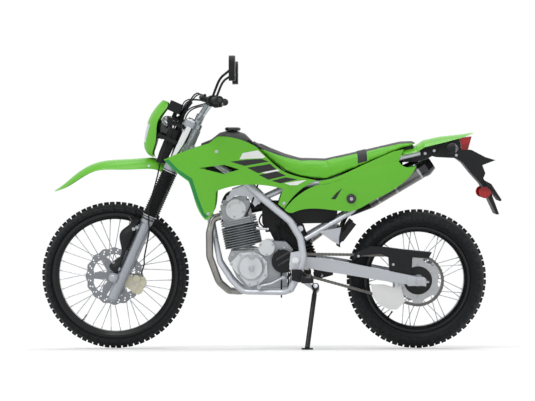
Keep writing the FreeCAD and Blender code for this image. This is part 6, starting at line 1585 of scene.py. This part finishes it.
@dataclass
class Bodywork:
    """Films, bolts and small trims of the green panels."""

    # Pixel outlines of the films
    white: tuple[Outline, ...] = (
        ((240, 158.6), (243, 152.5), (258, 149.8), (265.5, 156.5), (262, 157.6), (248, 158)),
        ((284, 182.3), (300, 179.8), (306, 179.2), (297, 184.2), (290, 184.4)),
        ((262, 171.5), (277.5, 168.5), (279.5, 169.8), (268.5, 173.4)))
    stripes: tuple[Outline, ...] = (
        ((231, 160.8), (248, 159), (262, 158.3), (268.5, 161), (245, 165)),
        ((247.5, 166.8), (270, 163.2), (276.5, 168.7), (258, 172.2)),
        ((259, 174), (276.5, 170.4), (285.5, 174.8), (268.5, 178.7)),
        ((271.5, 179.8), (285.5, 176.4), (297, 178.6), (280, 182.4)))
    edge: Outline = (
        (166.8, 159.6), (178.6, 171.4), (190.6, 179.4), (196.6, 197.6), (203.4, 213.2), (206, 216.4),
        (209.5, 214.5), (205.4, 211), (199.8, 196.4), (193.8, 177.4), (180.5, 168.8), (170.6, 158.6))
    vent: Outline = ((330, 198), (335, 192), (341, 187), (334.6, 198))
    # Pixel places of the bolts
    shroud_bolts: Outline = ((217.5, 151), (209.3, 212), (283.8, 202.2))
    cover_bolts: Outline = ((350, 197.5),)
    tail_bolts: Outline = ((424, 153.2), (433, 150.5), (455, 155))
    fender_bolts: Outline = ((150, 165.5),)
    # Pixel outlines of the plates behind the shroud's slot and under the tail, and half their widths
    slot: Outline = ((206, 162.5), (243, 162), (244, 175), (224, 175.5), (206, 171))
    slot_half: float = 60.0
    tail: Outline = (
        (399, 158.5), (414, 151.5), (424, 148.5), (440, 145), (440, 151), (428, 157.5), (416, 161.5),
        (402, 162))
    tail_half: float = 52.0
    # Pixel lines of the lower and upper edge of what carries the side covers up to the seat
    low: Outline = ((318, 182), (330, 179), (345, 174.6), (360, 170), (380, 164.4), (392, 161), (399, 159))
    high: Outline = ((318, 180.2), (330, 178), (341, 174), (360, 165), (380, 156), (392, 151), (402, 149))

    def build(self) -> None:
        """Make every film and trim."""
        film("shroud_film_white", WHITE_FILM, "shrouds", self.white)
        film("shroud_stripes_black", BLACK_FILM, "shrouds", self.stripes, lift=0.6)
        film("shroud_edge_green", DARK_GREEN, "shrouds", (self.edge,))
        self.cover_tops()
        self.inner_plates()
        film("side_cover_vent", BLACK_FILM, "side_covers", (self.vent,))
        bolts_on("shroud_bolts", "shrouds", self.shroud_bolts, 6.0)
        bolts_on("side_cover_grommets", "side_covers", self.cover_bolts, 17.0, finish=GLOSS_BLACK)
        bolts_on("side_cover_screws", "side_covers", self.cover_bolts, 9.0, lift=5.0)
        bolts_on("tail_bolts", "rear_mudguard", self.tail_bolts, 5.0)
        bolts_on("fender_bolts", "front_fender", self.fender_bolts, 4.5, Body.STEERING)

    def inner_plates(self) -> None:
        """Make the dark plates behind the shroud's slot and under the tail."""
        piece = Piece("shroud_backing", BLACK_PLASTIC, Body.CHASSIS)
        for side in SIDES:
            piece.panel(self.slot, side * self.slot_half, -side * 4)
            piece.panel(self.tail, side * self.tail_half, -side * 8, 1.5)
        piece.done(40)

    def cover_tops(self) -> None:
        """Carry the side covers up to the seat, over the rail."""
        piece = Piece("side_cover_tops", LIME, Body.CHASSIS)
        skin = Skin.of("side_covers")
        for side in SIDES:
            rows = []
            for foot, head in zip(self.low, self.high):
                found, _ = skin.across(spot(*foot), side)
                top = spot(*head, found.y)
                rows.append([
                    found, (found * 2 + top) / 3, (found + top * 2) / 3, top - ACROSS * side * 2])
            out = ACROSS * side * 0.4
            verts = [[piece.mesh.verts.new(place + out) for place in row] for row in rows]
            for row, after in zip(verts, verts[1:]):
                for n in range(3):
                    piece.mesh.faces.new((row[n], after[n], after[n + 1], row[n + 1]))
        piece.face_out()
        bmesh.ops.solidify(piece.mesh, geom=piece.mesh.faces[:], thickness=2.5)
        piece.done(40)


# Engine and running gear


@dataclass
class Engine:
    """Bolts, seams, hoses and pipes of the engine."""

    # Middle of the right cover and the circle of its bolts, in pixels, and how many there are
    hub_place: Point2 = (251, 266)
    hub_circle: float = 17.2
    hub_bolts: int = 9
    # Pixel places of the other bolts
    left_bolts: Outline = (
        (231.8, 263), (240.5, 254), (262, 257.2), (265.5, 263), (265.6, 274), (257.8, 281.2),
        (249.5, 283.6), (239.5, 273.5))
    starter_bolts: Outline = ((260.6, 243.4), (266.6, 253.2), (272.4, 243.6))
    cam_bolts: Outline = ((230, 206), (240, 200.6), (243.8, 211), (234.5, 216))
    case_bolts: Outline = ((281, 280), (284, 247), (272, 283), (233, 254))
    sprocket_bolts: Outline = ((279, 249.5), (280, 262.5))
    hanger_bolts: Outline = ((228.5, 196.8), (258.6, 201.6))
    plugs: Outline = ((251.8, 254.7), (251.8, 266.7))
    # Pixel place of the cam cover's pale cap and its radius
    cap_place: Point2 = (237, 208.5)
    cap_radius: float = 47.0
    # Pixel ends of the sprocket cover's ribs, and a place on its face
    cover_ribs: tuple[Outline, ...] = (((275.5, 257.5), (289, 249.5)), ((277.5, 263), (292, 254.5)))
    cover_face: Point2 = (283, 256)
    # Profiles of the right cover's ring, the plug's cap, the exhaust flange and the silver arm
    hub_ring: Outline = (
        (0, -1), (56, -1), (56, 2.2), (53, 3.4), (49, 3.4), (47, 0.8), (14, 0.8), (13, 3.6), (0, 3.6))
    plug_cap: Outline = ((0, -6), (9, -6), (9.5, 2), (8, 4), (8, 20), (6.2, 24), (4, 25), (0, 25))
    flange: Outline = ((15.8, -4), (27, -4), (27, 3), (25, 4.5), (15.8, 4.5))
    arm: Outline = ((0, 0), (7.4, 0), (7.8, 3), (7.8, 14), (5.2, 16), (5.2, 44), (7, 46), (7, 55), (0, 56))
    # Where the cap, the flange and the arm start, as column, row and side
    plug_place: Point3 = (246.5, 214.5, -60)
    flange_place: Point3 = (221.6, 216, -31.5)
    arm_place: Point3 = (256.5, 227.3, -77)
    # Lean of the cylinder in degrees, forward below zero, its foot, and the seam's place above the foot
    lean_deg: float = -12.0
    foot: Point3 = (-98.0, 0, 461.0)
    seam_rise: float = 107.2
    # Pixel outline of the plate behind the engine, and the ends of its ribs
    guard: Outline = (
        (272, 204), (283, 208), (293, 219), (301, 232), (303.5, 246), (302, 262), (292, 262), (286, 246),
        (275, 242), (270, 232), (268, 216))
    guard_ribs: tuple[Outline, ...] = (
        ((275, 212), (292, 226)), ((273, 222), (296, 238)), ((277, 238), (299, 250)))
    # Radius and places of the breather, the fuel hose and the two drains, as column, row and side
    runs: tuple[tuple[float, tuple[Point3, ...]], ...] = (
        (8.0, ((223, 203, -40), (225, 196, -46), (231, 191.5, -50), (239, 192, -50), (246, 197, -48),
               (250, 208, -42))),
        (3.6, ((262, 214, -40), (258, 219, -52), (262, 226, -58), (270, 230, -50))),
        (3.4, ((276, 224, -36), (280, 240, -48), (281, 262, -72), (281.5, 290, -74), (281.3, 296.5, -72))),
        (3.4, ((284, 226, -40), (287, 246, -60), (288.5, 275, -70), (288, 288, -68))))

    def build(self) -> None:
        """Make every fitting of the engine."""
        left, right = (-1,), (1,)
        column, row = self.hub_place
        circle = [
            (column + self.hub_circle * math.cos(angle), row + self.hub_circle * math.sin(angle))
            for angle in (FULL_TURN * (n + 0.3) / self.hub_bolts for n in range(self.hub_bolts))]
        bolts_on("engine_cover_bolts_left", "engine_covers", self.left_bolts, 4.6, sides=left)
        bolts_on("starter_cover_bolts", "engine_covers", self.starter_bolts, 4.0, sides=left)
        bolts_on("engine_cover_bolts_right", "engine_covers", circle, 4.6, sides=right)
        bolts_on("cam_cover_bolts", "cylinder_head", self.cam_bolts, 4.6)
        bolts_on("crankcase_bolts", "crankcase", self.case_bolts, 4.6)
        bolts_on("sprocket_cover_bolts", "sprocket_cover", self.sprocket_bolts, 5.0, sides=left,
                 finish=BLACK_STEEL)
        bolts_on("hanger_bolts", "main_frame", self.hanger_bolts, 6.5)
        bolts_on("cover_plugs_left", "engine_covers", self.plugs, 12.0, sides=left)
        cap = spot(*self.cap_place)
        part_of_node("cylinder_head", PALE_COVER, lambda place, normal: (
            abs(place.y) > 56 and math.hypot(place.x - cap.x, place.z - cap.z) < self.cap_radius))
        ribs = Piece("sprocket_cover_ribs", GLOSS_BLACK, Body.CHASSIS)
        face = Skin.of("sprocket_cover").across(spot(*self.cover_face), -1)[0].y
        for start, stop in self.cover_ribs:
            ribs.panel((
                start, stop, (stop[0] + 0.6, stop[1] + 2), (start[0] + 0.6, start[1] + 2.2),
            ), face + 0.5, -3.5, 1.2)
        ribs.done(40)
        self.hub()
        self.hoses()
        self.head_details()

    def hub(self) -> None:
        """Make the raised ring and plug on the right cover."""
        centre = spot(*self.hub_place)
        face = span("engine_covers", 1)[1].y
        piece = Piece("clutch_cover_ring", CAST_ALUMINIUM, Body.CHASSIS)
        piece.lathe(self.hub_ring, Vector((centre.x, face - 3.7, centre.z)), ACROSS, 56)
        piece.done(35)

    def hoses(self) -> None:
        """Make the breather, fuel and drain hoses, the plate behind them and the plug lead."""
        tube_piece("engine_hoses", SOFT_RUBBER, Body.CHASSIS, [
            (radius, [spot(*place) for place in places]) for radius, places in self.runs])
        guard = Piece("engine_bay_guard", BLACK_PLASTIC, Body.CHASSIS)
        guard.panel(self.guard, -14, 5)
        for foot, head in self.guard_ribs:
            guard.panel((foot, head, (head[0], head[1] + 1.6), (foot[0], foot[1] + 1.6)), -19, 6)
        guard.done(40)
        lead = Piece("spark_plug_cap", GLOSS_BLACK, Body.CHASSIS)
        place = spot(*self.plug_place)
        lead.lathe(self.plug_cap, place, Vector((0.1, -1, 0.25)), 18)
        lead.done()
        tube_piece("spark_plug_lead", SOFT_RUBBER, Body.CHASSIS, (
            (3.6, [place + Vector((2, -23, 6)), place + Vector((10, -32, 24)), place + Vector((26, -24, 60)),
                   spot(256, 190, -48), spot(258, 184, -40)]),))

    def head_details(self) -> None:
        """Make the seams of the head, the exhaust flange and the silver arm behind the barrel."""
        lean = math.radians(self.lean_deg)
        way = Vector((math.sin(lean), 0, math.cos(lean)))
        seams = Piece("head_seams", BLACK_STEEL, Body.CHASSIS)
        place = Vector(self.foot) + way * self.seam_rise
        seams.box(place, (134, 130, 1.6), Matrix.Rotation(lean, 3, "Y"), 0.4)
        seams.done()
        flange = Piece("exhaust_flange", SPOKE_STEEL, Body.CHASSIS)
        place = spot(*self.flange_place)
        out = Vector((-1, 0, -0.25))
        flange.lathe(self.flange, place, out, 32)
        for side in SIDES:
            flange.bolt(place + Vector((-5, side * 22, -2)), out, 5.0)
        flange.done()
        arm = Piece("clutch_arm", CHROME, Body.CHASSIS)
        arm.lathe(self.arm, spot(*self.arm_place), Vector((1, 0.05, -0.06)), 22)
        arm.done()


@dataclass
class RunningGear:
    """Swingarm fittings, exhaust trims, pegs and lamps."""

    # Pixel places of bolts and nuts
    guard_bolts: Outline = ((392, 263), (357.5, 254.6), (398, 283))
    peg_bolts: Outline = ((322, 231.5), (335, 238.5))
    pivot: Outline = ((294.9, 258.6),)
    shock_bolts: Outline = ((312, 228), (327.5, 277))
    # Outline of the axle's adjuster around the axle, and profiles of its bolt and of the nut
    block: Outline = (
        (-52, -17), (-46, -21), (24, -19), (28, -15), (28, 15), (24, 19), (-46, 21), (-52, 17))
    adjuster: Outline = ((0, -14), (4, -14), (4, 4), (8, 4), (8, 10), (5, 11), (5, 18), (0, 18))
    nut: Outline = ((0, 0), (17, 0), (17, 2), (14, 2.5), (13.4, 10), (12, 11), (7, 11), (7, 8), (0, 8))
    marks: int = 7
    # Pixel ends of the silencer's axis, the side of its rear end, and its bands as places from that end
    muffler_front: Point2 = (373, 203.3)
    muffler_rear: Point2 = (424, 169)
    muffler_side: float = 150.0
    bands: tuple[float, ...] = (-20.0, -150.0, -245.0)
    band_half: float = 5.0
    # Pixel place of the rider's pegs, and the teeth in each of their two rows
    peg_place: Point2 = (306.2, 273.2)
    teeth: int = 7

    def build(self) -> None:
        """Make every fitting of the chassis."""
        rear = axle("rear")
        part_of_node("rear_hub", BLACK_STEEL, lambda place, normal: (
            place.y < -58 and math.hypot(place.x - rear.x, place.z - rear.z) > 24))
        part_of_node("chain_guard", NATURAL_PLASTIC, lambda place, normal: (
            place.y > -94 and place.x < rear.x - 50 and place.z < rear.z + 5))
        part_of_node("footpegs", ARM_SILVER, lambda place, normal: 250 < place.x < 322 and place.z > 470)
        part_of_node("foot_controls", ARM_SILVER, lambda place, normal: place.y < 0)
        self.axle_blocks()
        self.exhaust()
        self.pegs()
        self.lamps()
        bolts_on("chain_guard_bolts", "chain_guard", self.guard_bolts, 4.6, sides=(-1,))
        bolts_on("rear_peg_bolts", "footpegs", self.peg_bolts, 5.0)
        bolts_on("pivot_nuts", "main_frame", self.pivot, 12.0, finish=CHROME)
        bolts_on("shock_bolts", "rear_shock", self.shock_bolts, 6.5)

    def axle_blocks(self) -> None:
        """Make the adjusters at both ends of the rear axle."""
        rear = axle("rear")
        blocks = Piece("axle_adjusters", ARM_SILVER, Body.CHASSIS)
        bolts = Piece("axle_adjuster_bolts", SPOKE_STEEL, Body.CHASSIS)
        for side in SIDES:
            low, high = span("swingarm", side)
            face = low.y if side < 0 else high.y
            corners = [Vector((rear.x + x, face + side * 0.4, rear.z + z)) for x, z in self.block]
            blocks.prism(corners, Vector((0, side * 4.0, 0)), 1.0)
            start = Vector((rear.x + 29, face - side * 10, rear.z - 3))
            bolts.lathe(self.adjuster, start, Vector((1, 0, -0.08)), 6)
            outer = span("rear_axle")[0 if side < 0 else 1].y
            bolts.lathe(self.nut, Vector((rear.x, outer, rear.z)), ACROSS * side, 6)
            for mark in range(self.marks):
                place = Vector((rear.x - 40 + mark * 5, face + side * 4.5, rear.z + 15))
                bolts.box(place, (0.9, 0.5, 6), None, 0)
        blocks.done()
        bolts.done(25)

    def exhaust(self) -> None:
        """Make the silencer's black end cap and its bands."""
        axis = (spot(*self.muffler_rear) - spot(*self.muffler_front)).normalized()
        end = spot(*self.muffler_rear, self.muffler_side)
        part_of_node("muffler", GLOSS_BLACK, lambda place, normal: (place - end).dot(axis) > -14)
        part_of_node("muffler", BLACK_STEEL, lambda place, normal: (place - end).dot(axis) < -290)
        bands = Piece("muffler_bands", SPOKE_STEEL, Body.CHASSIS)
        skin = Skin.of("muffler")
        other = axis.cross(ACROSS)
        half = axis * self.band_half
        for ahead in self.bands:
            centre = end + axis * ahead
            for n in range(40):
                angle, after = FULL_TURN * n / 40, FULL_TURN * (n + 1) / 40
                corners = []
                for turn in (angle, after):
                    way = ACROSS * math.cos(turn) + other * math.sin(turn)
                    met = skin.along(centre + way * 140, -way)
                    reach = ((met[0] - centre).dot(way) if met else 40.0) + 1.0
                    corners += [centre + way * reach - half, centre + way * reach + half]
                verts = [bands.mesh.verts.new(corner) for corner in corners]
                bands.mesh.faces.new((verts[0], verts[1], verts[3], verts[2]))
        bmesh.ops.remove_doubles(bands.mesh, verts=bands.mesh.verts[:], dist=0.01)
        bands.face_out()
        bmesh.ops.solidify(bands.mesh, geom=bands.mesh.faces[:], thickness=1.0)
        bands.done(50)

    def pegs(self) -> None:
        """Make the toothed treads of the rider's pegs."""
        piece = Piece("footpeg_teeth", BLACK_STEEL, Body.CHASSIS)
        for side in SIDES:
            low, high = span("footpegs", side)
            far = low.y if side < 0 else high.y
            base = spot(*self.peg_place)
            for row in (-1, 1):
                for number in range(self.teeth):
                    place = Vector((base.x + row * 20, far - side * (8 + number * 14), base.z + 3))
                    piece.box(place, (5, 9, 8), None, 1.0)
        piece.done()

    def lamps(self) -> None:
        """Give lamps their lenses."""
        for name, way in (("front_indicators", -1), ("rear_indicators", 1)):
            for side in SIDES:
                low, high = span(name, side)
                reach = (high.x - low.x) * 0.6
                goal = low.x + reach * 0.45 if way < 0 else high.x - reach * 0.45
                part_of_node(name, CLEAR, lambda place, normal, s=side, g=goal, w=way: (
                    place.y * s > 0 and (place.x - g) * w > 0))
        front = span("headlight")[0].x
        part_of_node("headlight", LAMP_GLASS, lambda place, normal: (
            normal.x < -0.35 and place.x < front + 62))
        part_of_node("side_reflectors", BLACK_PLASTIC, lambda place, normal: abs(normal.y) < 0.6)


def build_all() -> None:
    """Make every piece in order."""
    dress_nodes()
    KnobbyTyre("front", Body.FRONT_WHEEL, 334, 284, 20.6, 42, 38).build()
    KnobbyTyre("rear", Body.REAR_WHEEL, 317, 239, 26.6, 58, 34).build()
    WavyDisc("front", Body.FRONT_WHEEL, 131, 21.6).build()
    WavyDisc("rear", Body.REAR_WHEEL, 110, 21.6, 14, 28).build()
    Sprocket().build()
    Nipples("front", Body.FRONT_WHEEL, 30.4, 64, 254.4, 60).build()
    Nipples("rear", Body.REAR_WHEEL, 54.4, 70, 214.4, 48).build()
    RollerChain().build()
    Fork().build()
    Cockpit().build()
    Seat().build()
    Bodywork().build()
    Engine().build()
    RunningGear().build()


# Studio


@dataclass
class Studio:
    """Pale floor, soft lamps and a long lens at the photograph's low viewing angle."""

    floor_colour: str = "#F4F4F4"
    floor_glow: float = 0.12
    lens_mm: float = 104.0
    distance: float = 7.0
    rise_deg: float = -4.2
    aim: tuple[float, float, float] = (6.8, 0.0, 673.0)

    def build(self) -> None:
        """Make floor, lamps, world and camera."""
        self.floor()
        self.world()
        self.sun("key_sky", (-0.5, -1.0, 1.15), 1.3, 40)
        self.sun("top_sky", (0.15, 0.1, 1.0), 1.0, 34)
        self.sun("back_sky", (0.4, 1.0, 0.9), 0.4, 70)
        self.camera()
        bpy.context.scene.view_settings.view_transform = "Standard"

    def floor(self) -> None:
        """Make the floor, white to the camera but still shaded under the wheels."""
        mesh = bmesh.new()
        bmesh.ops.create_grid(mesh, x_segments=1, y_segments=1, size=60)
        bmesh.ops.translate(mesh, verts=mesh.verts, vec=(0, 0, -0.0014))
        data = bpy.data.meshes.new("floor")
        mesh.to_mesh(data)
        mesh.free()
        made = new_object("floor", data)
        material = bpy.data.materials.new("floor_paper")
        tree = empty_tree(material)
        paper = add_node(tree, "ShaderNodeBsdfPrincipled", None, {
            "Base Color": linear(self.floor_colour), "Roughness": 0.9, "Specular IOR Level": 0.1})
        path = add_node(tree, "ShaderNodeLightPath")
        share = add_node(tree, "ShaderNodeMath", {"operation": "MULTIPLY"}, {
            0: path.outputs["Is Camera Ray"], 1: self.floor_glow})
        glow = add_node(tree, "ShaderNodeEmission", None, {
            "Color": (1, 1, 1, 1), "Strength": share.outputs[0]})
        both = add_node(tree, "ShaderNodeAddShader", None, {0: paper.outputs[0], 1: glow.outputs[0]})
        add_node(tree, "ShaderNodeOutputMaterial", None, {"Surface": both.outputs[0]})
        data.materials.append(material)

    def world(self) -> None:
        """Make a white surround that lights the object more softly than it looks."""
        world = bpy.data.worlds.new("studio")
        bpy.context.scene.world = world
        tree = empty_tree(world)
        path = add_node(tree, "ShaderNodeLightPath")
        first = add_node(tree, "ShaderNodeMath", {"operation": "ADD", "use_clamp": True}, {
            0: path.outputs["Is Camera Ray"], 1: path.outputs["Is Glossy Ray"]})
        seen = add_node(tree, "ShaderNodeMath", {"operation": "ADD", "use_clamp": True}, {
            0: first.outputs[0], 1: path.outputs["Is Transmission Ray"]})
        strength = add_node(tree, "ShaderNodeMapRange", None, {
            "Value": seen.outputs[0], "To Min": 0.36, "To Max": 1.0})
        white = add_node(tree, "ShaderNodeBackground", None, {
            "Color": (1, 1, 1, 1), "Strength": strength.outputs[0]})
        add_node(tree, "ShaderNodeOutputWorld", None, {"Surface": white.outputs[0]})

    def sun(self, name: str, source: tuple[float, float, float], power: float, wide: float) -> None:
        """Add a broad soft light that reaches floor and bike alike.

        Args:
            name: The light's name.
            source: Direction that it comes from.
            power: Its power in watts per square metre.
            wide: Angle of the lit patch of sky, in degrees.
        """
        light = bpy.data.lights.new(name, "SUN")
        light.energy = power
        light.angle = math.radians(wide)
        made = new_object(name, light)
        made.rotation_euler = (-Vector(source)).to_track_quat("-Z", "Y").to_euler()

    def camera(self) -> None:
        """Add the camera."""
        data = bpy.data.cameras.new("camera")
        data.lens = self.lens_mm
        data.clip_end = 200
        made = new_object("camera", data)
        aim = TO_ROW @ Vector(self.aim)
        rise = math.radians(self.rise_deg)
        made.location = aim + Vector((0, -math.cos(rise), math.sin(rise))) * self.distance
        made.rotation_euler = (aim - made.location).to_track_quat("-Z", "Y").to_euler()
        bpy.context.scene.camera = made


def main() -> None:
    """Build the studio and every piece."""
    logging.basicConfig(level=logging.INFO, format="%(name)s: %(message)s")
    Studio().build()
    build_all()


if __name__ == "__main__":
    main()
